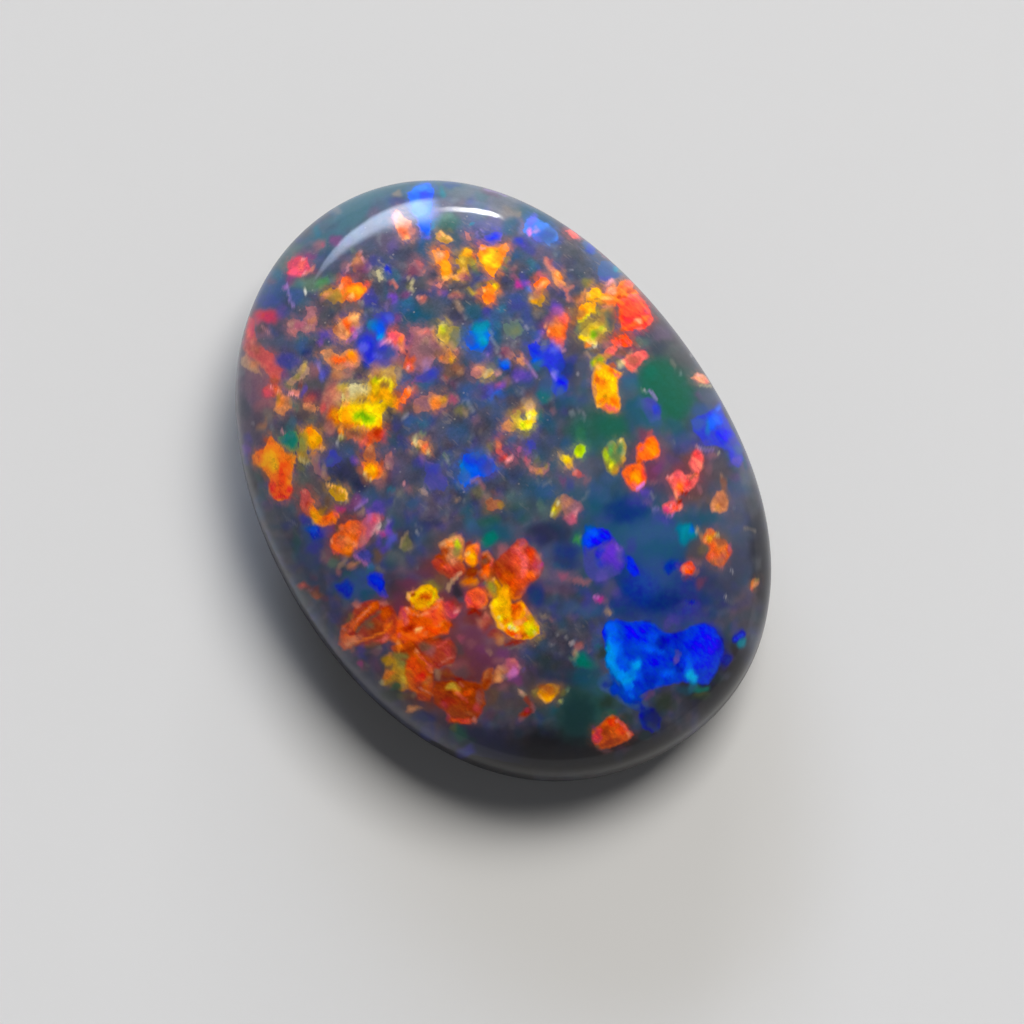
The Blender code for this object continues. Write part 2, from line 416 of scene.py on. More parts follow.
UPPER_LEFT = [
    # Upper left shoulder
    soft("haze", 336, 212, 6, 4, strength=0.7),
    soft("teal", 318, 232, 6, 7, strength=0.8),
    soft("slate", 330, 228, 12, 7, turn=-30, strength=0.5),
    soft("plum", 336, 240, 8, 5, turn=-20, strength=0.8),
    soft("rosewood", 317, 246, 10, 6, turn=-35, strength=0.75),
    soft("rose", 322, 245, 4, 4, strength=0.6),
    soft("mauve_slate", 304, 252, 12, 6, turn=-30, strength=0.8),
    soft("plum", 309, 257, 9, 5, turn=-20, strength=0.8),
    soft("rose", 296, 260, 9, 5, turn=-25, strength=0.8),
    patch("crimson", (288, 262), (296, 257), (307, 258), (310, 264), (311, 270), (302, 277),
          (292, 278), (287, 274)),
    soft("rose_red", 298, 270, 11, 7, turn=-30, foil=1),
    soft("coral", 302, 265, 6, 5, foil=1),
    soft("blush", 304, 260, 4, 2, strength=0.8, foil=1),
    soft("rose_red", 293, 275, 5, 3, turn=-20, strength=0.9, foil=1),
    soft("blush", 304, 273, 5, 2, turn=-35, strength=0.7, foil=1),
    line("salmon", 3, (306, 274), (314, 267), strength=0.8),
    soft("plum", 290, 281, 8, 6, turn=-30, strength=0.85),
    soft("orchid", 285, 287, 4, 3, strength=0.5),
    line("lilac", 3, (287, 284), (289, 294), (291, 302), (294, 307), strength=0.6),
    soft("mauve_slate", 270, 280, 6, 6, strength=0.8),
    soft("teal", 275, 275, 6, 8, strength=0.6),
    soft("indigo", 268, 300, 14, 8, strength=0.4),
    soft("violet", 283, 312, 10, 8, strength=0.45),
    soft("mauve_slate", 252, 306, 6, 8, strength=0.7),
    # Dull green window under the pink flake
    soft("sage", 308, 284, 20, 9, turn=-5, strength=0.8),
    soft("green", 322, 283, 8, 5, strength=0.55),
    soft("smoke", 313, 277, 8, 4, strength=0.6),
    soft("denim", 297, 295, 8, 9, strength=0.8),
    soft("teal", 304, 302, 8, 8, strength=0.5),
    soft("teal", 300, 284, 7, 5, strength=0.4),
    soft("pearl", 305, 291, 2.6, 2, turn=40, strength=0.9),
    soft("slate", 330, 264, 12, 8, strength=0.8),
    soft("sage", 332, 276, 8, 5, strength=0.5),
    # Orange flakes
    patch("mustard", (322, 293), (327, 289), (340, 287), (346, 292), (344, 302), (334, 304),
          (325, 300), strength=0.8),
    soft("copper", 328, 295, 5, 5, strength=0.9, foil=1),
    soft("salmon", 323, 298, 4, 5, strength=0.5, foil=1),
    patch("tangerine", (339, 287), (342, 279), (348, 275), (352, 281), (368, 284), (367, 290),
          (361, 298), (353, 303), (346, 300), (340, 294)),
    soft("ember", 345, 283, 5, 6, foil=1),
    soft("peach", 340, 286, 4, 4, strength=0.8, foil=1),
    soft("amber", 356, 291, 9, 7, foil=1),
    soft("apricot", 353, 299, 4, 3, strength=0.8, foil=1),
    soft("coral", 365, 285, 4, 3, strength=0.7, foil=1),
    soft("straw", 362, 302, 3, 2, strength=0.7),
    patch("rust", (349, 266), (356, 254), (360, 249), (364, 258), (366, 268), (358, 272),
          strength=0.8),
    soft("copper", 356, 261, 6, 5, strength=0.9, foil=1),
    soft("salmon", 360, 254, 3, 4, strength=0.8, foil=1),
    line("blush", 2, (360, 250), (364, 259), (370, 268), strength=0.7),
    soft("rosewood", 346, 268, 6, 6, strength=0.6),
    soft("wine", 362, 268, 9, 6, strength=0.8),
    soft("plum", 368, 266, 4, 6, strength=0.6),
    line("blush", 1.6, (346, 272), (350, 264), strength=0.5),
    soft("wine", 352, 277, 10, 4, strength=0.6),
    soft("mauve_slate", 346, 258, 8, 6, strength=0.6),
    soft("sage", 354, 250, 4, 4, strength=0.5),
    # Crimson glow and the red ribbon at the left rim
    soft("crimson", 266, 317, 15, 9, strength=0.95, foil=0.4),
    soft("rose", 257, 322, 6, 4, strength=0.7, foil=0.4),
    soft("umber", 262, 330, 9, 6, strength=0.8),
    line("blush", 2, (262, 326), (269, 333), strength=0.5),
    soft("rosewood", 268, 334, 7, 6, strength=0.4),
    patch("brick", (248, 316), (253, 318), (254, 330), (258, 342), (268, 350), (277, 360),
          (283, 372), (281, 380), (272, 378), (262, 368), (250, 357), (243, 348), (245, 332),
          edge=3, foil=0.5),
    soft("crimson", 249, 330, 4, 9, foil=0.5),
    soft("coral", 247, 333, 3, 6, strength=0.5, foil=0.5),
    soft("rose", 243, 344, 4, 6, strength=0.7),
    soft("crimson", 251, 322, 4, 6, strength=0.8),
    soft("coral", 272, 366, 9, 9, strength=0.45, foil=0.5),
    soft("salmon", 252, 343, 4, 4, strength=0.5, foil=0.5),
    soft("rust", 255, 350, 6, 5, strength=0.5, foil=0.5),
    patch("tan", (240, 359), (246, 353), (251, 359), (258, 366), (262, 375), (250, 371),
          (242, 365), edge=3, strength=0.85, foil=0.5),
    soft("copper", 255, 367, 5, 5, strength=0.8, foil=0.5),
    soft("brick", 252, 356, 4, 4, foil=0.5),
    soft("ember", 275, 380, 8, 6, strength=0.6, foil=0.6),
    patch("brick", (262, 388), (270, 383), (279, 385), (283, 393), (276, 398), (266, 398),
          edge=2.5),
    soft("crimson", 266, 393, 6, 5, strength=0.8, foil=0.8),
    soft("ember", 277, 388, 5, 5, strength=0.8, foil=1),
    soft("blush", 271, 388, 2.4, 1.6, strength=0.8),
    soft("blush", 278, 391, 2, 1.6, strength=0.7),
    soft("rosewood", 266, 403, 11, 7, strength=0.6),
    soft("haze", 240, 374, 5, 6, strength=0.5),
    soft("ground", 243, 408, 9, 14, strength=0.8),
    # Grey and blue water between the flakes
    soft("slate", 286, 343, 28, 9, strength=0.8),
    soft("smoke", 262, 343, 8, 6, strength=0.5),
    soft("rim_teal", 302, 338, 10, 5, strength=0.6),
    soft("indigo", 287, 360, 13, 8, strength=0.8),
    soft("denim", 302, 347, 8, 8, strength=0.8),
    soft("ink", 308, 354, 8, 8, strength=0.5),
    soft("violet", 325, 333, 11, 7, strength=0.8),
    soft("purple", 319, 343, 6, 5, strength=0.7),
    soft("indigo", 334, 340, 6, 7, strength=0.7),
    soft("denim", 345, 343, 8, 4, strength=0.8),
    soft("plum", 286, 376, 5, 5, strength=0.6),
    # Dim rosewood flake
    patch("rosewood", (287, 322), (293, 318), (303, 321), (307, 315), (303, 308), (311, 304),
          (316, 310), (316, 320), (319, 327), (308, 333), (298, 331), (295, 336), (288, 333),
          edge=2.5),
    soft("tan", 292, 323, 5, 5, strength=0.5, foil=1),
    soft("copper", 311, 320, 6, 4, strength=0.7, foil=1),
    soft("rose", 299, 326, 5, 5, strength=0.7, foil=1),
    soft("tan", 309, 329, 6, 3, strength=0.6, foil=1),
    soft("salmon", 292, 332, 5, 3, strength=0.5, foil=1),
    soft("umber", 326, 306, 16, 8, strength=0.5),
    soft("smoke", 325, 318, 8, 8, strength=0.6),
    # Fiery flake with a pink tail
    patch("copper", (338, 321), (346, 316), (352, 311), (360, 314), (363, 322), (356, 331),
          (350, 339), (342, 341), (336, 336), (331, 330), (337, 327)),
    soft("tangerine", 347, 322, 7, 5, turn=-40, foil=1),
    soft("ember", 349, 328, 6, 4, foil=1),
    soft("apricot", 355, 319, 4, 4, strength=0.9, foil=1),
    soft("apricot", 346, 330, 3, 2.4, strength=0.9, foil=1),
    soft("rust", 334, 329, 4, 2, strength=0.8),
    soft("peach", 342, 336, 6, 4, strength=0.7, foil=1),
    soft("magenta", 353, 328, 4, 4, strength=0.7, foil=0.6),
    soft("orchid", 354, 335, 4, 5, strength=0.9, foil=0.6),
    soft("orchid", 349, 339, 4, 2, strength=0.6),
    soft("lilac", 358, 330, 5, 7, strength=0.6),
    soft("plum", 352, 309, 5, 3, strength=0.6),
    # Orange flake below it
    patch("copper", (318, 353), (324, 349), (332, 351), (342, 355), (349, 348), (358, 350),
          (363, 357), (358, 367), (348, 369), (340, 372), (331, 366), (323, 359)),
    soft("tan", 326, 355, 6, 5, strength=0.5, foil=1),
    soft("tangerine", 339, 361, 9, 6, foil=1),
    soft("orange", 351, 357, 8, 6, foil=1),
    soft("amber", 351, 354, 4, 4, strength=0.8, foil=1),
    soft("rust", 336, 368, 6, 3, strength=0.7, foil=1),
    soft("salmon", 350, 366, 8, 3, strength=0.8, foil=1),
    soft("copper", 338, 375, 7, 6, strength=0.8, foil=1),
    soft("salmon", 348, 374, 6, 5, strength=0.5),
    # Olive and tan wisps
    patch("tan", (284, 384), (291, 378), (298, 372), (300, 363), (306, 361), (309, 372),
          (303, 380), (292, 385), strength=0.85),
    soft("olive", 296, 375, 7, 3, turn=-35, strength=0.8, foil=0.6),
    soft("gold", 303, 367, 3, 6, strength=0.5, foil=0.6),
    soft("rosewood", 313, 371, 7, 9, strength=0.7),
    soft("lilac", 319, 366, 4, 6, turn=-20, strength=0.7),
    soft("periwinkle", 322, 376, 6, 8, strength=0.75),
    soft("indigo", 328, 372, 5, 8, strength=0.6),
    soft("haze", 299, 357, 4, 2, strength=0.5),
    soft("salmon", 300, 379, 4, 2, strength=0.5),
    soft("blood", 299, 383, 4, 1.6, strength=0.5),
    soft("smoke", 310, 383, 9, 5, strength=0.7),
    patch("copper", (272, 413), (276, 402), (282, 394), (291, 396), (292, 406), (284, 415),
          edge=2.2),
    soft("orange", 282, 402, 6, 8, turn=20, strength=0.6, foil=1),
    soft("mustard", 279, 397, 4, 6, strength=0.5),
    patch("salmon", (286, 391), (295, 388), (302, 392), (299, 397), (290, 396)),
    soft("blush", 292, 393, 3, 2, foil=1),
    soft("blush", 298, 394, 3, 1.8, strength=0.7, foil=1),
    soft("olive", 288, 386, 7, 4, strength=0.5),
    soft("violet", 304, 390, 3.5, 8, strength=0.8),
    soft("sage", 296, 404, 5, 7, strength=0.5),
    soft("wine", 315, 397, 10, 10, strength=0.7),
    soft("brick", 311, 400, 7, 5, strength=0.7, foil=0.6),
    patch("copper", (303, 407), (307, 402), (314, 404), (320, 410), (313, 413), (306, 412),
          strength=0.9),
    soft("peach", 309, 405, 4, 2.4, strength=0.6, foil=1),
    soft("umber", 300, 414, 12, 6, strength=0.6),
]

TOP = [
    # Dark grey window under the top rim
    soft("haze_warm", 399, 195, 5, 5, strength=0.8),
    soft("slate", 378, 206, 12, 8, turn=-30, strength=0.6),
    soft("mauve_slate", 373, 213, 10, 6, turn=-30, strength=0.7),
    patch("azure", (408, 193), (417, 186), (427, 183), (434, 189), (432, 201), (431, 216),
          (424, 220), (416, 221), (410, 204), edge=2.5, foil=0.3),
    soft("royal", 427, 197, 6, 6, strength=0.8, foil=0.3),
    soft("sky", 421, 188, 10, 5, strength=0.7),
    soft("sky", 420, 210, 12, 12, strength=0.7),
    patch("azure", (415, 218), (424, 216), (431, 219), (432, 232), (428, 240), (420, 236),
          edge=2.2, foil=0.4),
    soft("cyan", 431, 224, 3, 6, strength=0.5),
    soft("indigo", 422, 234, 7, 5, strength=0.7),
    soft("purple", 428, 238, 4, 4, strength=0.6),
    soft("teal", 436, 221, 8, 8, strength=0.6),
    soft("peacock", 442, 193, 4, 6, strength=0.5),
    soft("denim", 450, 184, 12, 5, turn=5, strength=0.7),
    soft("haze", 462, 194, 22, 8, strength=0.6),
    soft("rim_teal", 482, 195, 8, 6, strength=0.5),
    soft("mauve_slate", 492, 193, 12, 4, turn=20, strength=0.8),
    line("lilac", 2, (484, 189), (496, 192), (506, 196), strength=0.4),
    # Green window right of the blue flash
    soft("forest", 448, 222, 14, 12, strength=0.75),
    soft("sage", 448, 217, 9, 6, strength=0.5),
    soft("deep_teal", 457, 238, 8, 8, strength=0.6),
    # Peach flake on the shoulder
    patch("peach", (393, 212), (398, 209), (404, 217), (411, 222), (415, 232), (412, 238),
          (402, 241), (397, 232), (393, 222), edge=2.2),
    soft("blush", 396, 217, 5, 6, foil=0.6),
    soft("tangerine", 403, 232, 6, 6, strength=0.7, foil=1),
    soft("ember", 408, 235, 4, 4, strength=0.6, foil=1),
    soft("rosewood", 413, 232, 4, 8, strength=0.7),
    soft("apricot", 407, 238, 2, 2.5, strength=0.6),
    # Slate and violet field
    soft("slate", 366, 246, 12, 8, turn=-20, strength=0.6),
    soft("mauve_slate", 388, 243, 16, 12, strength=0.8),
    soft("haze", 379, 237, 3, 6, strength=0.5),
    soft("violet", 393, 248, 8, 9, strength=0.4),
    soft("indigo", 376, 262, 9, 9, strength=0.6),
    soft("dusk", 404, 252, 14, 10, strength=0.7),
    soft("deep_teal", 424, 248, 8, 10, strength=0.6),
    soft("slate", 430, 256, 6, 12, strength=0.5),
    soft("umber", 411, 262, 14, 10, strength=0.5),
    # Dim red specks
    patch("rosewood", (408, 268), (414, 262), (416, 256), (422, 262), (426, 270), (422, 276),
          (412, 274), edge=2.2, strength=0.8),
    soft("wine", 413, 271, 6, 6, strength=0.8),
    soft("brick", 420, 263, 4, 5, strength=0.5, foil=1),
    soft("salmon", 424, 271, 2.5, 3, strength=0.8),
    soft("haze", 402, 267, 4, 4, strength=0.4),
    soft("straw", 411, 276, 3, 2, strength=0.6),
    patch("straw", (376, 271), (382, 269), (383, 277), (379, 281), (376, 276), strength=0.75,
          foil=0.5),
    soft("royal", 388, 271, 6, 5, strength=0.85),
    soft("denim", 386, 276, 7, 5, strength=0.6),
    soft("teal", 396, 276, 6, 8, strength=0.6),
    soft("haze", 369, 274, 3, 3, strength=0.5),
    line("straw", 3, (413, 280), (411, 290), strength=0.7),
    soft("olive", 409, 286, 3, 5, strength=0.5),
    line("salmon", 3.4, (391, 282), (396, 288), strength=0.9),
    soft("wine", 389, 284, 4, 5, strength=0.5),
    soft("wine", 392, 292, 5, 4, strength=0.5),
    soft("dusk", 378, 288, 8, 6, strength=0.6),
    soft("indigo", 371, 296, 8, 8, strength=0.8),
    soft("purple", 391, 297, 5, 4, strength=0.8),
    soft("plum", 405, 293, 8, 4, strength=0.6),
    soft("smoke", 422, 284, 8, 8, strength=0.7),
    # Ochre knot
    patch("mustard", (434, 234), (439, 231), (446, 233), (452, 240), (448, 244), (438, 241),
          strength=0.8),
    line("apricot", 2.6, (441, 231), (446, 236), (451, 241), strength=0.8),
    soft("copper", 439, 236, 4, 3, strength=0.8, foil=1),
    soft("haze", 454, 250, 5, 3, turn=20, strength=0.5),
    soft("brown", 443, 246, 7, 3, strength=0.6),
    # Bent amber flake
    patch("orange", (432, 251), (440, 248), (448, 251), (449, 258), (451, 266), (455, 274),
          (449, 280), (443, 280), (441, 270), (437, 262), (432, 256)),
    soft("peach", 440, 254, 7, 5, strength=0.9, foil=1),
    soft("apricot", 440, 254, 3, 2.4, foil=1),
    soft("amber", 446, 269, 5, 8, foil=1),
    soft("yellow", 446, 276, 4, 3, strength=0.8, foil=1),
    soft("apricot", 444, 279, 3, 2, strength=0.8, foil=1),
    # Gold arc
    patch("mustard", (456, 262), (460, 254), (466, 249), (472, 251), (476, 256), (476, 262),
          (468, 266), (467, 276), (458, 281), (450, 279), (456, 274), (460, 268), strength=0.9),
    soft("amber", 465, 254, 6, 5, foil=1),
    soft("gold", 462, 262, 4, 4, strength=0.7, foil=1),
    soft("apricot", 463, 270, 3, 4, strength=0.6, foil=1),
    soft("brick", 473, 256, 4, 5, strength=0.7, foil=1),
    soft("brown", 455, 270, 3.5, 4, strength=0.9),
    line("apricot", 2, (446, 278), (456, 276), (462, 280), strength=0.7),
    soft("rose", 464, 277, 5, 5, strength=0.6),
    soft("olive", 471, 264, 4, 5, strength=0.6),
    soft("green", 475, 268, 5, 6, strength=0.4),
    # Pinkish bits on the right of it
    patch("salmon", (464, 232), (470, 234), (473, 241), (466, 240), strength=0.8),
    soft("mauve_slate", 463, 243, 8, 5, strength=0.6),
    soft("haze", 492, 226, 10, 8, strength=0.3),
    soft("slate", 478, 222, 14, 8, strength=0.5),
    soft("peacock", 472, 225, 3, 3, strength=0.5),
    soft("violet", 492, 224, 16, 9, strength=0.35),
    line("lilac", 1.6, (476, 232), (480, 238), strength=0.5),
    line("lilac", 1.6, (480, 229), (485, 236), strength=0.5),
    # Indigo flash and the amber triangle
    soft("indigo", 483, 242, 12, 7, strength=0.7),
    patch("royal", (484, 237), (492, 231), (503, 233), (503, 241), (494, 245), (486, 243),
          edge=2.4, foil=0.3),
    soft("blue_flash", 495, 237, 6, 4, strength=0.5),
    patch("orange", (478, 246), (486, 244), (506, 243), (510, 247), (505, 256), (502, 265),
          (499, 269), (494, 276), (487, 271), (481, 263), (478, 254)),
    soft("amber", 491, 258, 12, 11, foil=1),
    soft("yellow", 488, 257, 6, 5, strength=0.9, foil=1),
    soft("yellow", 496, 265, 5, 4, strength=0.9, foil=1),
    soft("mustard", 496, 252, 3, 3, strength=0.9, foil=1),
    soft("blush", 481, 247, 3, 2, strength=0.8),
    soft("peach", 506, 247, 3, 3, strength=0.5),
    soft("rust", 504, 261, 3, 3, strength=0.7),
    soft("ash", 485, 275, 1.8, 1.8, strength=0.8),
    soft("green", 505, 268, 6, 4, strength=0.3),
    soft("olive", 507, 258, 3, 5, strength=0.6),
    patch("orange", (481, 293), (484, 286), (490, 282), (496, 288), (497, 297), (494, 303),
          (486, 304), (482, 299)),
    soft("apricot", 487, 290, 4, 3, strength=0.7, foil=1),
    soft("tangerine", 489, 298, 6, 5, strength=0.8, foil=1),
    soft("yellow", 495, 285, 3, 3, strength=0.9, foil=1),
    soft("lemon", 495, 284, 1.8, 1.6, strength=0.8),
    soft("mustard", 491, 281, 6, 3, strength=0.7, foil=1),
    soft("brown", 484, 282, 6, 4, strength=0.8),
    soft("olive", 478, 284, 6, 5, strength=0.4),
    soft("olive", 470, 292, 7, 6, strength=0.6, foil=0.7),
    line("gold", 2, (468, 288), (474, 295), strength=0.7),
    soft("gold", 475, 295, 3, 2, strength=0.6),
    # Salmon and violet crumbs
    patch("salmon", (432, 286), (438, 282), (444, 284), (441, 289), (435, 289), strength=0.9),
    soft("rose", 438, 292, 4, 3, strength=0.6),
    soft("purple", 444, 292, 6, 5, strength=0.5),
    soft("orchid", 441, 293, 2.4, 2, strength=0.6),
    soft("haze", 452, 285, 5, 3, strength=0.5),
    soft("umber", 460, 288, 9, 5, strength=0.5),
    soft("copper", 456, 296, 7, 4, strength=0.8, foil=1),
    soft("peach", 450, 298, 3, 2, strength=0.6),
    soft("salmon", 423, 297, 3.5, 3, strength=0.8, foil=1),
    # Blue and pink by the top rim
    soft("deep_teal", 510, 226, 6, 10, strength=0.8),
    soft("haze_warm", 518, 214, 3, 3, strength=0.8),
    soft("rosewood", 521, 226, 4, 9, strength=0.6),
    soft("slate", 534, 206, 8, 5, turn=25, strength=0.6),
    patch("sky", (524, 226), (530, 216), (538, 219), (548, 224), (557, 231), (558, 240),
          (548, 245), (538, 240), (530, 236), (524, 232), edge=3, strength=0.8, foil=0.3),
    soft("periwinkle", 532, 222, 7, 6, strength=0.9),
    soft("denim", 550, 230, 8, 6, strength=0.6),
    soft("royal", 545, 234, 9, 5, strength=0.5),
    soft("orchid", 530, 232, 4, 5, foil=0.4),
    soft("lilac", 537, 231, 3, 3, strength=0.9),
    soft("violet", 538, 241, 8, 5, strength=0.6),
    soft("haze", 552, 245, 6, 4, strength=0.4),
    soft("indigo", 520, 243, 9, 8, strength=0.95),
    soft("royal", 518, 241, 5, 4, strength=0.6),
    soft("indigo", 530, 250, 9, 6, strength=0.6),
    soft("mauve_slate", 540, 254, 6, 7, strength=0.5),
    soft("slate", 526, 260, 8, 8, strength=0.6),
    soft("teal", 533, 266, 6, 9, strength=0.7),
    soft("denim", 539, 268, 4, 5, strength=0.8),
    soft("umber", 516, 268, 8, 8, strength=0.6),
    soft("rosewood", 514, 268, 5, 3, strength=0.6, foil=0.6),
    # Magenta and violet flash
    soft("magenta", 517, 286, 6, 6, strength=0.95, foil=0.4),
    soft("purple", 524, 283, 5, 6, strength=0.9, foil=0.4),
    soft("rose", 513, 278, 5, 6, strength=0.5),
    soft("sky", 529, 289, 3.5, 5, strength=0.7),
    soft("indigo", 523, 276, 4, 4, strength=0.6),
    soft("denim", 517, 298, 10, 5, strength=0.6),
    # Orange flakes with hairlines to the right
    patch("tangerine", (534, 283), (538, 277), (545, 276), (549, 280), (547, 288), (541, 292),
          (535, 290)),
    soft("apricot", 541, 284, 4, 4, strength=0.8, foil=1),
    soft("rose", 540, 275, 6, 2.4, strength=0.8),
    soft("rust", 543, 291, 3, 4, strength=0.8),
    patch("copper", (549, 268), (553, 270), (560, 272), (563, 280), (566, 286), (558, 287),
          (553, 281)),
    soft("orange", 557, 276, 5, 5, foil=1),
    soft("apricot", 556, 275, 2.6, 3, strength=0.8, foil=1),
    line("salmon", 4, (545, 259), (549, 265), (553, 270), strength=0.85),
    soft("brick", 550, 261, 4, 4, strength=0.5),
    line("salmon", 3, (560, 285), (566, 291), (568, 300), strength=0.8),
    line("salmon", 3, (566, 291), (573, 286), strength=0.6),
    soft("ash", 570, 269, 2.4, 1.6, strength=0.6),
    soft("haze", 554, 254, 3, 3, strength=0.5),
    soft("apricot", 536, 297, 4, 4, strength=0.6, foil=1),
    soft("dusk", 552, 293, 7, 6, strength=0.6),
    # Coral chip on the rim
    patch("coral", (567, 231), (571, 229), (577, 232), (584, 238), (580, 240), (571, 237),
          edge=1.8),
    soft("brick", 571, 226, 4, 3, strength=0.6),
    soft("denim", 588, 246, 9, 6, turn=45, strength=0.9),
    soft("azure", 590, 248, 5, 4, strength=0.4),
    soft("smoke", 568, 250, 10, 8, strength=0.6),
]

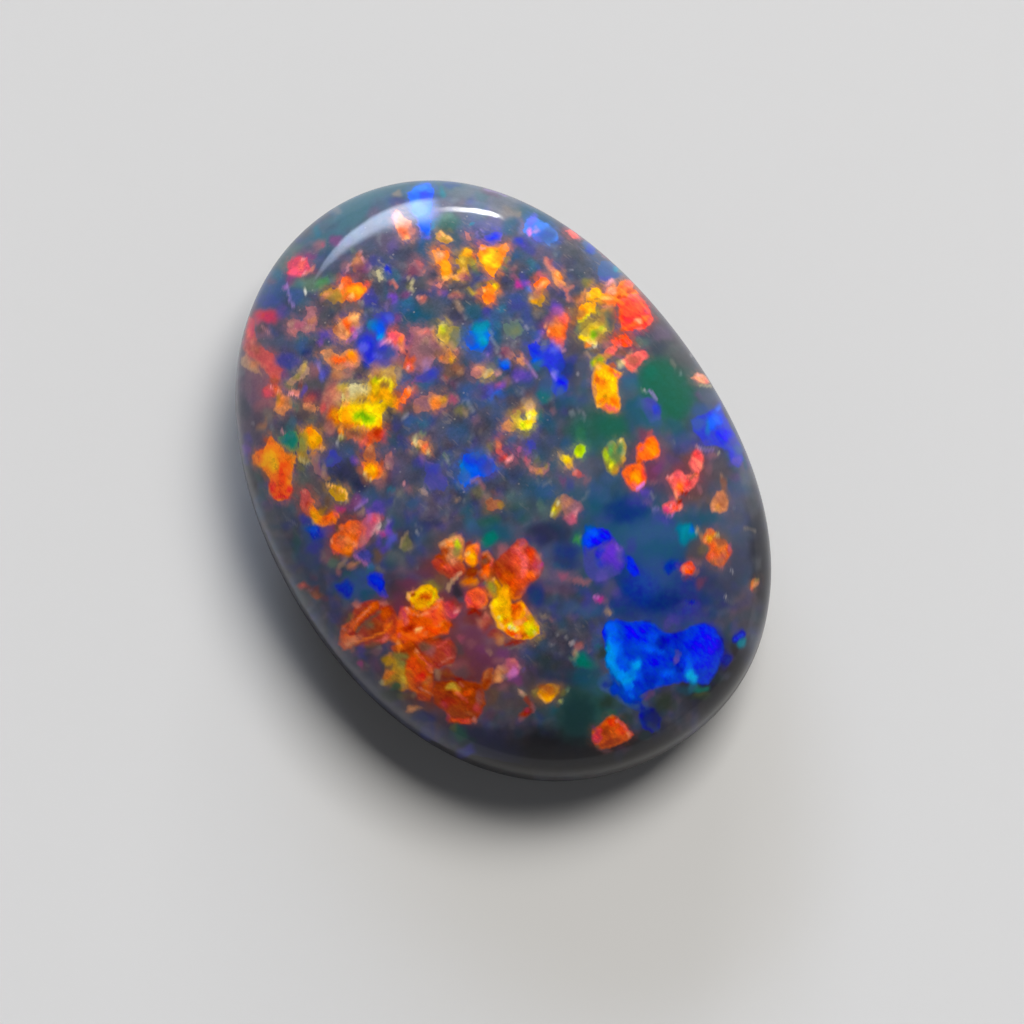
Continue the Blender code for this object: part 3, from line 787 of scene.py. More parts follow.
MIDDLE = [
    # Slate, indigo and purple above the big blue flash
    soft("smoke", 352, 307, 9, 6, strength=0.7),
    soft("haze", 361, 303, 4, 3, strength=0.5),
    soft("indigo", 370, 302, 9, 8, strength=0.7),
    soft("purple", 392, 299, 6, 8, strength=0.9),
    soft("mauve_slate", 386, 305, 6, 7, strength=0.7),
    soft("lilac", 386, 307, 3, 3, strength=0.4),
    soft("denim", 399, 306, 8, 10, strength=0.7),
    soft("deep_teal", 418, 316, 24, 16, strength=0.9),
    soft("denim", 406, 304, 9, 9, strength=0.9),
    soft("teal", 408, 302, 7, 6, strength=0.6),
    soft("slate", 405, 325, 9, 8, strength=0.5),
    soft("haze", 376, 312, 7, 4, turn=15, strength=0.7),
    soft("haze", 366, 316, 3, 5, strength=0.7),
    soft("plum", 397, 317, 7, 8, strength=0.8),
    soft("lilac", 394, 322, 3, 4, strength=0.5),
    soft("sage", 433, 323, 4, 4, strength=0.5),
    soft("smoke", 435, 308, 18, 12, strength=0.6),
    soft("plum", 407, 295, 5, 3, strength=0.6),
    # Big indigo and azure flash
    patch("indigo", (358, 338), (366, 330), (368, 320), (378, 312), (388, 310), (394, 318),
          (392, 326), (386, 334), (388, 344), (396, 348), (400, 354), (398, 361), (384, 364),
          (370, 368), (362, 360), (357, 348), edge=3, foil=0.25),
    soft("royal", 386, 318, 8, 8, strength=0.7, foil=0.3),
    soft("periwinkle", 389, 317, 6, 7, strength=0.5),
    soft("peacock", 372, 325, 6, 6, strength=0.6),
    soft("azure", 379, 328, 7, 9, strength=0.75, foil=0.3),
    soft("cyan", 380, 336, 5, 5, strength=0.7),
    soft("royal", 368, 342, 12, 7, strength=0.9, foil=0.3),
    soft("royal", 385, 345, 10, 7, strength=0.6, foil=0.3),
    soft("purple", 381, 341, 4, 4, strength=0.4),
    soft("blue_flash", 369, 353, 11, 10, strength=0.45, foil=0.3),
    soft("periwinkle", 365, 348, 5, 4, strength=0.75),
    soft("periwinkle", 377, 357, 7, 5, strength=0.6),
    soft("royal", 370, 362, 9, 5, strength=0.8),
    soft("denim", 393, 354, 8, 7, strength=0.5),
    soft("plum", 362, 378, 9, 6, strength=0.5),
    soft("dusk", 362, 373, 10, 8, strength=0.5),
    # Pink and orange flake beside it
    patch("coral", (384, 340), (389, 334), (394, 329), (402, 333), (406, 340), (406, 350),
          (403, 353), (396, 347), (388, 344), edge=2),
    soft("rose_red", 393, 336, 6, 6, strength=0.8, foil=0.7),
    soft("blush", 388, 341, 6, 4, strength=0.85, foil=0.5),
    soft("orchid", 384, 341, 4, 4, strength=0.5),
    soft("orange", 402, 338, 4, 5, strength=0.8, foil=1),
    soft("copper", 402, 344, 4, 5, strength=0.8, foil=1),
    soft("peach", 404, 350, 3, 4, strength=0.8),
    soft("lilac", 397, 349, 5, 2, turn=25, strength=0.6),
    # Dull pink block
    patch("rosewood", (410, 328), (418, 326), (434, 329), (438, 340), (446, 347), (446, 354),
          (438, 358), (432, 366), (424, 371), (408, 372), (403, 366), (405, 356), (408, 344),
          edge=2.6),
    soft("umber", 427, 348, 12, 9, strength=0.5, foil=1),
    soft("salmon", 422, 332, 10, 4, strength=0.9, foil=1),
    soft("coral", 428, 331, 4, 3, strength=0.5, foil=1),
    soft("tan", 426, 340, 6, 4, strength=0.5, foil=1),
    soft("plum", 409, 340, 5, 12, strength=0.45, foil=0.6),
    soft("wine", 409, 356, 6, 5, strength=0.8, foil=0.6),
    patch("ember", (404, 361), (409, 356), (415, 360), (416, 370), (408, 372), (403, 366),
          edge=2.4),
    soft("coral", 409, 366, 5, 6, strength=0.8, foil=1),
    soft("blush", 408, 368, 2.6, 2, foil=1),
    soft("rosewood", 424, 362, 8, 8, foil=0.5),
    soft("lilac", 428, 363, 6, 6, strength=0.35),
    soft("lilac", 426, 369, 5, 2, turn=-30, strength=0.7),
    soft("brown", 437, 352, 5, 7, strength=0.7, foil=1),
    soft("blush", 434, 329, 3, 2.4, strength=0.9),
    # Lime flake and the crescent under it
    patch("olive", (446, 326), (456, 326), (462, 332), (460, 342), (458, 350), (450, 348),
          (444, 344), edge=3, strength=0.7, foil=0.8),
    patch("gold", (437, 334), (439, 326), (441, 322), (447, 322), (450, 330), (449, 338),
          (447, 344), (442, 343), (436, 338), edge=1.8),
    soft("lime", 444, 330, 4, 7, strength=0.45, foil=1),
    soft("olive", 448, 330, 3, 6, strength=0.7, foil=1),
    soft("straw", 444, 324, 4, 2.4, strength=0.6, foil=1),
    soft("copper", 435, 334, 3, 5, strength=0.8, foil=1),
    soft("tan", 452, 346, 5, 5, strength=0.6, foil=0.6),
    soft("brown", 443, 350, 5, 5, strength=0.5),
    patch("copper", (436, 359), (440, 355), (446, 356), (448, 349), (452, 351), (455, 356),
          (452, 362), (445, 364), (438, 362), edge=2),
    soft("orange", 443, 359, 4, 3, strength=0.8, foil=1),
    soft("amber", 450, 355, 3, 3, strength=0.7, foil=1),
    soft("mustard", 451, 361, 5, 3, foil=1),
    soft("rust", 447, 357, 3, 2, strength=0.7),
    soft("salmon", 458, 353, 4, 4, strength=0.7, foil=0.7),
    soft("haze", 464, 344, 6, 12, strength=0.6),
    soft("haze_warm", 457, 334, 5, 6, strength=0.5),
    # Blue water below, brown block on its right
    soft("denim", 404, 380, 10, 7, strength=0.9),
    soft("teal", 422, 384, 14, 8, strength=0.6),
    patch("indigo", (414, 374), (426, 372), (434, 367), (440, 370), (438, 379), (425, 383),
          (412, 384), edge=3, foil=0.2),
    soft("royal", 430, 375, 7, 5, strength=0.5),
    soft("denim", 430, 386, 10, 6, strength=0.8),
    soft("brown", 452, 372, 13, 8, strength=0.8, foil=0.8),
    soft("rust", 457, 368, 8, 6, strength=0.7, foil=0.8),
    soft("brick", 446, 379, 5, 5, strength=0.6, foil=0.6),
    soft("wine", 455, 385, 9, 6, strength=0.5),
    soft("tan", 459, 371, 4, 4, strength=0.5, foil=0.8),
    soft("dusk", 437, 388, 8, 6, strength=0.5),
    soft("umber", 446, 388, 9, 4, strength=0.5),
    soft("haze", 459, 386, 3, 3, strength=0.5),
    # Ochre block over the yellow flake
    patch("mustard", (368, 376), (374, 368), (380, 364), (388, 363), (395, 368), (398, 376),
          (395, 384), (397, 394), (400, 402), (399, 408), (390, 408), (384, 402), (370, 400),
          (366, 388), edge=2.2),
    soft("gold", 384, 368, 9, 4, strength=0.6, foil=1),
    soft("brown", 380, 377, 5, 3, turn=-30, strength=0.7, foil=1),
    soft("brown", 387, 386, 5, 4, strength=0.6, foil=1),
    soft("tan", 371, 374, 4, 6, strength=0.7, foil=1),
    soft("tan", 397, 376, 3, 7, strength=0.7),
    soft("lime", 375, 383, 5, 6, strength=0.6, foil=1),
    soft("yellow", 376, 389, 6, 5, strength=0.6, foil=1),
    line("lemon", 3.4, (379, 381), (385, 378), (390, 383), (392, 388), strength=0.7, foil=1),
    soft("amber", 386, 397, 7, 8, strength=0.9, foil=1),
    soft("rust", 395, 393, 4, 7, strength=0.9, foil=1),
    soft("orange", 396, 402, 5, 5, strength=0.8, foil=1),
    soft("coral", 400, 406, 3, 2.4, strength=0.8),
    soft("haze", 404, 385, 5, 3, strength=0.4),
    # Slanting orange flake
    patch("tangerine", (406, 387), (412, 386), (413, 391), (410, 397), (404, 404), (400, 402),
          (403, 394), edge=1.8),
    soft("apricot", 410, 389, 4, 4, strength=0.55, foil=1),
    soft("copper", 404, 399, 4, 4, strength=0.6, foil=1),
    soft("blush", 411, 387, 4, 2, strength=0.7),
    # Brick field with an orange middle
    patch("rosewood", (412, 404), (420, 396), (430, 394), (440, 394), (446, 397), (448, 404),
          (442, 409), (430, 412), (414, 412), edge=2.6, strength=0.85),
    soft("copper", 416, 408, 7, 4, strength=0.6, foil=0.8),
    patch("copper", (429, 400), (434, 395), (443, 395), (448, 400), (445, 406), (438, 411),
          (430, 408), edge=2.4),
    soft("orange", 437, 403, 6, 7, strength=0.8, foil=1),
    soft("apricot", 433, 400, 3, 3, strength=0.5, foil=1),
    soft("mustard", 444, 399, 4, 4, strength=0.7, foil=1),
    soft("rose", 451, 399, 4, 5, strength=0.9, foil=0.5),
    soft("umber", 407, 410, 10, 5, strength=0.5),
    soft("denim", 470, 392, 12, 12, strength=0.8),
    soft("olive", 461, 408, 7, 6, strength=0.5),
    line("ash", 2, (464, 399), (471, 406), (474, 412), strength=0.4),
    # Crumbs in the dark upper middle
    soft("salmon", 424, 299, 4, 5, strength=0.9, foil=0.7),
    soft("blush", 419, 299, 2.4, 2, strength=0.8),
    soft("peach", 422, 297, 3, 2, strength=0.7),
    soft("rosewood", 456, 298, 7, 4, strength=0.8, foil=0.7),
    soft("tan", 459, 306, 4, 5, turn=-30, strength=0.7, foil=0.7),
    soft("ash", 466, 317, 1.8, 2.4, strength=0.5),
    soft("dusk", 456, 316, 9, 7, strength=0.6),
    soft("deep_teal", 474, 312, 10, 10, strength=0.7),
    soft("rim_teal", 470, 306, 8, 6, strength=0.4),
    # Slate blue field and the wide blue glow right of centre
    soft("denim", 514, 304, 22, 14, strength=0.5),
    soft("indigo", 519, 304, 14, 9, strength=0.5),
    soft("slate", 500, 300, 7, 8, strength=0.6),
    soft("indigo", 488, 314, 9, 6, strength=0.8),
    soft("denim", 497, 320, 9, 11, strength=0.9),
    soft("teal", 498, 324, 6, 6, strength=0.6),
    soft("peacock", 501, 308, 6, 5, strength=0.3),
    soft("deep_teal", 499, 337, 8, 14, strength=0.6),
    # Cyan flash
    patch("azure", (464, 342), (470, 332), (476, 326), (488, 325), (490, 334), (488, 346),
          (482, 352), (472, 352), edge=3.4, strength=0.85, foil=0.3),
    soft("cyan", 481, 331, 7, 5, strength=0.7, foil=0.3),
    soft("peacock", 482, 342, 5, 7, strength=0.95, foil=0.3),
    soft("cyan", 482, 341, 3, 2.4, strength=0.5),
    soft("royal", 468, 340, 5, 6, strength=0.7),
    soft("peacock", 484, 324, 6, 4, strength=0.7),
    soft("denim", 478, 357, 12, 8, strength=0.9),
    soft("royal", 487, 349, 6, 4, strength=0.3),
    # Dull green and pale wisps
    patch("sage", (503, 325), (508, 320), (518, 322), (524, 328), (521, 336), (512, 338),
          (505, 334), edge=3, strength=0.6, foil=0.4),
    soft("olive", 514, 332, 5, 4, strength=0.4),
    line("haze", 3, (508, 318), (514, 321), (521, 321), strength=0.6),
    soft("ash", 526, 327, 3, 4, strength=0.55),
    soft("haze", 533, 327, 3, 3, strength=0.8),
    soft("haze", 508, 338, 4, 3, strength=0.6),
    line("haze", 3.4, (514, 344), (519, 340), strength=0.7),
    soft("periwinkle", 539, 333, 6, 5, strength=0.6),
    soft("denim", 532, 334, 6, 5, strength=0.7),
    soft("lilac", 536, 340, 4, 3, turn=-30, strength=0.7),
    soft("haze", 545, 343, 4, 3, strength=0.7),
    soft("violet", 543, 325, 10, 9, strength=0.35),
    line("ash", 2, (491, 331), (493, 340), (497, 349), (502, 357), strength=0.45),
    soft("lilac", 487, 354, 5, 3, turn=20, strength=0.8),
    soft("indigo", 487, 361, 10, 5, strength=0.7),
    soft("indigo", 490, 350, 6, 6, strength=0.4),
    # Copper bits with a pink hairline
    patch("rosewood", (500, 352), (504, 347), (511, 350), (517, 355), (512, 360), (504, 357),
          edge=2.2, strength=0.8),
    soft("wine", 505, 352, 4, 3, strength=0.7),
    soft("haze", 508, 347, 4, 2, strength=0.5),
    soft("rust", 519, 356, 6, 3, strength=0.5),
    patch("copper", (515, 359), (521, 355), (526, 358), (528, 364), (522, 366), (517, 363),
          edge=2),
    soft("peach", 521, 358, 3, 2, strength=0.6, foil=1),
    line("rosewood", 4, (525, 360), (530, 367), (534, 374), strength=0.8),
    line("lilac", 2, (528, 363), (533, 370), (536, 376), strength=0.6),
    soft("azure", 504, 366, 7, 6, strength=0.9, foil=0.2),
    soft("sky", 508, 362, 4, 3, strength=0.6),
    soft("teal", 497, 361, 4, 6, strength=0.7),
    soft("violet", 522, 375, 12, 9, strength=0.85),
    soft("purple", 521, 373, 7, 6, strength=0.3),
    # Pink and straw flake
    patch("rosewood", (470, 372), (473, 367), (484, 365), (488, 368), (486, 376), (480, 378),
          (473, 378), edge=2.4),
    soft("salmon", 477, 370, 6, 5, strength=0.8, foil=1),
    soft("blush", 485, 368, 3, 2, strength=0.5),
    patch("gold", (483, 371), (488, 367), (493, 369), (495, 373), (490, 378), (484, 378),
          edge=1.8),
    soft("straw", 488, 372, 4, 4, strength=0.5, foil=1),
    soft("blush", 495, 373, 2.6, 3, strength=0.7),
    soft("straw", 484, 377, 2.4, 1.6, strength=0.8),
    soft("teal", 479, 382, 3, 2.4, strength=0.6),
    soft("haze", 501, 374, 2, 2, strength=0.6),
    # Mauve and periwinkle patch
    soft("violet", 490, 386, 14, 6, strength=0.7),
    soft("mauve_slate", 482, 394, 12, 8, strength=0.5),
    soft("rosewood", 506, 382, 8, 7, strength=0.6),
    soft("purple", 502, 385, 6, 5, strength=0.8),
    soft("rose", 499, 384, 4, 3, strength=0.6),
    soft("indigo", 488, 394, 10, 8, strength=0.8, foil=0.2),
    soft("periwinkle", 490, 391, 6, 5, strength=0.5),
    soft("sky", 498, 393, 5, 4, strength=0.6),
    soft("sky", 493, 400, 4, 3, strength=0.7),
    soft("denim", 484, 403, 14, 6, strength=0.6),
    soft("lilac", 517, 379, 4, 3, strength=0.4),
    soft("haze", 512, 384, 3, 3, strength=0.4),
    line("haze", 3, (518, 392), (522, 396), (524, 401), strength=0.6),
    soft("umber", 508, 399, 7, 6, strength=0.6),
    soft("slate", 498, 410, 12, 5, strength=0.6),
    # Fiery flake with an orchid tip
    soft("violet", 556, 306, 7, 8, strength=0.6),
    soft("purple", 556, 309, 6, 6, strength=0.7),
    patch("ember", (545, 328), (551, 323), (554, 316), (560, 311), (567, 312), (569, 320),
          (567, 332), (565, 341), (562, 348), (556, 345), (549, 339), (546, 333), edge=1.8),
    soft("orchid", 559, 313, 5, 5, strength=0.85, foil=0.5),
    soft("coral", 563, 318, 5, 5, strength=0.8, foil=1),
    soft("orange", 557, 329, 8, 7, strength=0.8, foil=1),
    soft("ember", 563, 325, 4, 6, strength=0.6, foil=1),
    soft("coral", 557, 341, 6, 5, strength=0.8, foil=1),
    soft("peach", 547, 327, 3, 3, strength=0.9, foil=1),
    soft("apricot", 549, 334, 2.6, 3, strength=0.6, foil=1),
    soft("blush", 559, 347, 4, 2.4, turn=30, strength=0.8),
    line("blush", 2.4, (553, 343), (560, 349), (564, 351), strength=0.6),
    # Royal blue flash
    patch("royal", (528, 346), (534, 343), (545, 346), (552, 343), (560, 348), (563, 356),
          (566, 366), (562, 374), (570, 382), (566, 392), (556, 396), (550, 388), (552, 376),
          (546, 366), (536, 366), (530, 356), edge=3, foil=0.25),
    soft("blue_flash", 535, 350, 7, 6, strength=0.3, foil=0.3),
    soft("royal", 546, 360, 9, 7, strength=0.8, foil=0.3),
    soft("periwinkle", 552, 351, 5, 5, strength=0.6, foil=0.3),
    soft("haze", 545, 346, 5, 3, strength=0.5),
    soft("teal", 539, 364, 7, 6, strength=0.75),
    soft("azure", 537, 359, 5, 4, strength=0.6),
    soft("ink", 566, 368, 9, 12, strength=0.6),
    soft("periwinkle", 555, 376, 5, 5, strength=0.95, foil=0.3),
    soft("lilac", 554, 377, 3, 3, strength=0.35),
    soft("blue_flash", 561, 382, 6, 5, strength=0.35, foil=0.3),
    soft("denim", 559, 393, 7, 6, strength=0.8),
    soft("indigo", 572, 360, 6, 6, strength=0.5),
    soft("denim", 546, 384, 9, 9, strength=0.7),
    soft("teal", 543, 394, 8, 10, strength=0.6),
    soft("sea", 542, 398, 8, 6, strength=0.45),
    soft("deep_teal", 565, 403, 16, 8, strength=0.6),
    soft("haze", 549, 397, 2.4, 4, strength=0.4),
    # Gold crumb
    patch("mustard", (530, 297), (535, 292), (541, 291), (544, 300), (541, 308), (535, 306),
          (532, 302), strength=0.85, edge=2),
    soft("amber", 535, 301, 4, 4, strength=0.75, foil=1),
    soft("straw", 534, 297, 3, 2, strength=0.6, foil=1),
    soft("haze_warm", 537, 313, 5, 4, strength=0.6),
    # Apricot and lemon flake
    patch("orange", (523, 407), (527, 403), (530, 399), (534, 404), (536, 412), (537, 420),
          (528, 421), (526, 413), edge=1.8),
    soft("apricot", 528, 406, 4, 4, strength=0.9, foil=1),
    soft("lemon", 532, 414, 5, 5, foil=1),
    soft("copper", 520, 409, 6, 4, strength=0.6, foil=0.8),
    soft("brown", 512, 412, 8, 4, strength=0.6),
    soft("haze", 538, 408, 3, 4, strength=0.4),
    # Hairlines beside the amber group
    line("peach", 2.6, (577, 303), (581, 298), (585, 291), strength=0.7),
    line("rosewood", 2.4, (569, 296), (573, 302), strength=0.7),
    soft("smoke", 571, 309, 5, 5, strength=0.6),
    soft("rust", 571, 320, 4, 10, strength=0.5),
    soft("umber", 577, 340, 12, 16, strength=0.6),
    soft("ash", 578, 375, 2.6, 1.8, turn=-30, strength=0.6),
    soft("slate", 582, 366, 7, 5, strength=0.6),
    soft("rim_teal", 582, 388, 8, 10, strength=0.3),
]

RIGHT = [
    # Upper right rim
    patch("denim", (582, 243), (586, 239), (592, 242), (596, 250), (597, 256), (592, 257),
          (587, 250), edge=2.2, foil=0.2),
    soft("royal", 590, 248, 6, 5, turn=50, strength=0.45),
    line("rosewood", 2.4, (599, 252), (606, 257), (612, 260), strength=0.6),
    soft("slate", 594, 264, 10, 8, strength=0.6),
    patch("denim", (597, 272), (600, 262), (606, 260), (613, 262), (620, 268), (625, 274),
          (627, 277), (620, 279), (612, 281), (604, 284), (598, 281), edge=2.6, foil=0.2),
    soft("peacock", 616, 269, 6, 4, turn=45, strength=0.7),
    soft("sage", 622, 273, 4, 3, turn=45, strength=0.7),
    soft("violet", 605, 280, 8, 4, strength=0.5),
    soft("smoke", 584, 272, 7, 8, strength=0.5),
    # Amber flakes at the top of the fiery group
    soft("olive", 588, 284, 7, 5, strength=0.7, foil=0.6),
    patch("amber", (585, 298), (587, 291), (593, 287), (601, 289), (604, 298), (601, 304),
          (594, 303), (588, 300)),
    soft("apricot", 587, 296, 3, 4, strength=0.8, foil=1),
    soft("yellow", 599, 292, 4, 4, strength=0.6, foil=1),
    soft("gold", 602, 299, 4, 5, strength=0.8, foil=1),
    soft("mustard", 603, 303, 4, 2.4, strength=0.7),
    line("brown", 1.8, (586, 301), (592, 301), (597, 299), strength=0.6),
    patch("amber", (577, 312), (582, 304), (590, 301), (596, 304), (597, 308), (592, 314),
          (586, 317), (580, 320), (576, 319)),
    soft("yellow", 590, 309, 5, 4, strength=0.6, foil=1),
    soft("tangerine", 580, 308, 3, 3, strength=0.4, foil=1),
    line("lemon", 3.4, (580, 321), (584, 318), (589, 316), strength=0.9, foil=1),
    soft("olive", 597, 309, 4, 3, turn=-40, strength=0.8),
    soft("rust", 578, 300, 4, 4, strength=0.5),
    soft("peach", 582, 301, 4, 2.4, turn=-45, strength=0.6, foil=1),
    # Orange and peach run above the red block
    patch("orange", (601, 302), (604, 293), (610, 288), (616, 287), (622, 281), (630, 280),
          (633, 286), (638, 294), (644, 300), (634, 300), (620, 300), (616, 305), (608, 308),
          (602, 305)),
    soft("apricot", 608, 299, 6, 4, strength=0.7, foil=1),
    soft("peach", 613, 290, 6, 5, foil=1),
    soft("blush", 610, 284, 6, 3, turn=-10, strength=0.9, foil=0.7),
    soft("rosewood", 605, 289, 5, 4, strength=0.8, foil=0.7),
    soft("tangerine", 622, 288, 6, 6, strength=0.8, foil=1),
    soft("coral", 629, 284, 5, 5, strength=0.85, foil=1),
    soft("ember", 609, 303, 6, 3, strength=0.6, foil=1),
    soft("peach", 608, 307, 5, 2, strength=0.8, foil=1),
    soft("blood", 631, 291, 4, 3, turn=20, strength=0.7),
    line("blood", 3, (618, 297), (626, 297), (634, 301), strength=0.75),
    line("coral", 3.4, (630, 295), (637, 296), (644, 301), strength=0.9, foil=1),
    line("coral", 2.4, (622, 300), (632, 299), (640, 302), strength=0.7, foil=1),
    # Red block
    patch("scarlet", (617, 302), (622, 300), (630, 299), (640, 300), (646, 303), (650, 309),
          (653, 318), (652, 323), (646, 327), (640, 330), (634, 331), (627, 331), (622, 329),
          (619, 318), edge=1.4),
    soft("ember", 632, 310, 12, 9, strength=0.6, foil=1),
    soft("ember", 640, 306, 7, 5, strength=0.4, foil=1),
    soft("flame", 621, 314, 4, 9, strength=0.8, foil=1),
    soft("tangerine", 620, 303, 4, 3, strength=0.8, foil=1),
    soft("crimson", 648, 311, 4, 6, turn=-20, strength=0.7, foil=1),
    soft("coral", 650, 321, 4, 4, strength=0.7, foil=1),
    patch("tangerine", (625, 330), (630, 325), (636, 319), (645, 314), (650, 316), (646, 322),
          (636, 326), edge=2, strength=0.9),
    soft("peach", 638, 321, 4, 2.6, strength=0.9, foil=1),
    soft("tangerine", 624, 328, 4, 3, strength=0.7, foil=1),
    soft("coral", 640, 328, 6, 2, turn=-15, strength=0.9, foil=1),
    soft("smoke", 657, 312, 3, 10, turn=-25, strength=0.6),
    # Dark window and the yellow green flake
    patch("forest", (598, 310), (604, 307), (614, 308), (617, 316), (616, 328), (610, 334),
          (606, 326), (600, 318), edge=3, strength=0.5, foil=0.2),
    soft("umber", 610, 324, 6, 10, strength=0.5),
    soft("brown", 614, 331, 4, 3, strength=0.5),
    patch("gold", (579, 334), (585, 327), (594, 321), (600, 317), (605, 321), (607, 327),
          (603, 334), (599, 340), (597, 343), (592, 345), (586, 342), (580, 339), edge=1.8),
    soft("copper", 602, 319, 4, 3, strength=0.7, foil=1),
    soft("mustard", 600, 323, 5, 3, strength=0.7, foil=1),
    soft("yellow", 594, 330, 6, 4, turn=-35, strength=0.85, foil=1),
    soft("lime", 602, 329, 4, 5, strength=0.6, foil=1),
    soft("leaf", 595, 335, 7, 4, turn=-20, foil=1),
    soft("olive", 598, 333, 3, 2, strength=0.5),
    soft("yellow", 584, 337, 5, 4, strength=0.8, foil=1),
    soft("orange", 587, 344, 4, 4, turn=40, strength=0.9, foil=1),
    patch("pearl", (593, 343), (598, 342), (598, 349), (593, 349), edge=1.2, foil=0.5),
    soft("lemon", 594, 344, 3, 3, strength=0.4),
    soft("sage", 580, 328, 5, 5, strength=0.6),
    soft("brown", 592, 351, 6, 3, strength=0.7),
    # Flame flake and the coral pieces below
    patch("flame", (611, 341), (617, 336), (624, 334), (629, 338), (634, 345), (630, 347),
          (622, 346), (615, 346), edge=1.6),
    soft("rust", 620, 335, 5, 3, strength=0.7, foil=1),
    soft("coral", 618, 342, 6, 4, strength=0.7, foil=1),
    soft("blush", 620, 345, 3, 2, strength=0.5),
    line("coral", 2.6, (626, 340), (632, 346), strength=0.6, foil=1),
    soft("rosewood", 608, 346, 6, 5, strength=0.7, foil=0.7),
    patch("coral", (602, 353), (608, 348), (614, 345), (617, 349), (614, 355), (606, 358), edge=2),
    soft("rust", 622, 351, 8, 4, strength=0.6),
    soft("brown", 624, 354, 6, 4, strength=0.6),
    soft("copper", 608, 357, 5, 3, strength=0.8, foil=1),
    soft("sage", 642, 343, 8, 7, strength=0.45),
    line("wine", 3, (630, 347), (637, 350), (645, 350), strength=0.7),
    patch("coral", (621, 361), (628, 355), (635, 352), (642, 350), (647, 352), (648, 357),
          (643, 362), (636, 368), (632, 373), (627, 369), edge=1.8),
    soft("brick", 630, 361, 8, 5, turn=-40, strength=0.7, foil=1),
    soft("salmon", 633, 369, 3, 3, strength=0.8, foil=1),
    line("peach", 2, (626, 358), (632, 351), strength=0.5),
    soft("straw", 619, 363, 4, 3.4, strength=0.85, foil=0.7),
    soft("olive", 616, 360, 3, 3, strength=0.6, foil=0.7),
    soft("ember", 612, 366, 5, 3, strength=0.7, foil=1),
    soft("umber", 613, 360, 4, 3, strength=0.5),
    patch("olive", (593, 366), (594, 358), (597, 354), (604, 354), (607, 359), (603, 363),
          (597, 368)),
    soft("leaf", 601, 359, 4, 4, strength=0.6, foil=1),
    soft("lime", 596, 362, 3, 4, strength=0.7, foil=1),
    soft("straw", 594, 367, 2, 2.4, strength=0.5),
    line("tan", 3, (586, 353), (591, 357), strength=0.6),
    soft("brown", 596, 352, 5, 2.4, strength=0.5),
    # Long orange flake
    patch("amber", (594, 370), (597, 363), (602, 362), (610, 367), (617, 370), (624, 374),
          (618, 378), (617, 384), (618, 392), (620, 400), (620, 408), (616, 413), (609, 413),
          (603, 408), (597, 407), (594, 398), (592, 385)),
    soft("apricot", 600, 366, 4, 4, strength=0.5, foil=1),
    soft("tangerine", 611, 372, 6, 4, turn=25, strength=0.9, foil=1),
    soft("coral", 618, 374, 5, 3, strength=0.9, foil=1),
    soft("orange", 602, 381, 4, 8, foil=1),
    soft("ember", 596, 380, 3, 7, strength=0.85, foil=1),
    line("yellow", 2.6, (600, 374), (607, 378), (614, 380), strength=0.9, foil=1),
    line("mustard", 2, (602, 377), (608, 381), (614, 381), strength=0.6),
    soft("yellow", 612, 388, 4, 7, strength=0.8, foil=1),
    soft("mustard", 606, 395, 4, 3, turn=-30, strength=0.8, foil=1),
    soft("copper", 595, 391, 3, 8, strength=0.9, foil=1),
    soft("orange", 604, 401, 6, 5, foil=1),
    soft("tangerine", 615, 400, 4, 6, strength=0.8, foil=1),
    soft("coral", 611, 409, 7, 4, foil=1),
    soft("apricot", 601, 406, 4, 2, strength=0.6, foil=1),
    # Dark water right of it
    soft("denim", 631, 381, 12, 10, strength=0.6),
    soft("slate", 630, 392, 9, 8, strength=0.7),
    soft("teal", 634, 386, 8, 8, strength=0.3),
    soft("forest", 656, 378, 20, 16, turn=20, strength=0.85),
    soft("sea", 652, 374, 10, 7, strength=0.3),
    soft("forest", 674, 400, 16, 20, strength=0.6),
    soft("ash", 645, 391, 3, 3.4, strength=0.8),
    soft("sage", 641, 391, 2.4, 4, strength=0.6),
    line("lilac", 3, (649, 391), (653, 394), (656, 399), strength=0.7),
    patch("indigo", (641, 400), (648, 397), (654, 399), (659, 405), (661, 412), (660, 420),
          (650, 422), (643, 412), edge=3, foil=0.2),
    soft("royal", 654, 406, 4, 6, strength=0.7),
    soft("denim", 640, 404, 8, 8, strength=0.7),
    soft("deep_teal", 630, 405, 10, 9, strength=0.6),
    # Brown and slate rim with the peach chip
    soft("mauve_slate", 662, 334, 10, 9, strength=0.6),
    soft("dusk", 658, 348, 12, 8, strength=0.6),
    soft("smoke", 672, 352, 12, 10, strength=0.6),
    soft("umber", 682, 362, 12, 12, strength=0.5),
    soft("haze_warm", 674, 366, 2.6, 6, strength=0.5),
    soft("ash", 690, 354, 2.4, 2.4, strength=0.5),
    soft("ash", 680, 373, 2, 2, strength=0.4),
    soft("forest", 681, 378, 8, 6, strength=0.4),
    patch("peach", (692, 378), (697, 373), (703, 375), (708, 379), (710, 383), (704, 384),
          (698, 382), edge=1.8),
    soft("copper", 702, 378, 3, 3, strength=0.6, foil=1),
    soft("blush", 698, 376, 2.6, 2, strength=0.6),
    soft("coral", 706, 381, 3, 2, strength=0.6, foil=1),
    line("straw", 2, (699, 385), (705, 386), (711, 386), strength=0.5),
    soft("rosewood", 696, 384, 3, 3, strength=0.5),
    soft("plum", 699, 395, 5, 5, strength=0.4),
    soft("slate", 706, 396, 10, 10, strength=0.7),
    soft("denim", 702, 410, 14, 8, strength=0.7),
    soft("royal", 713, 414, 6, 5, strength=0.8),
    soft("sky", 717, 409, 4, 4, strength=0.4),
    soft("indigo", 721, 407, 6, 6, strength=0.6),
]

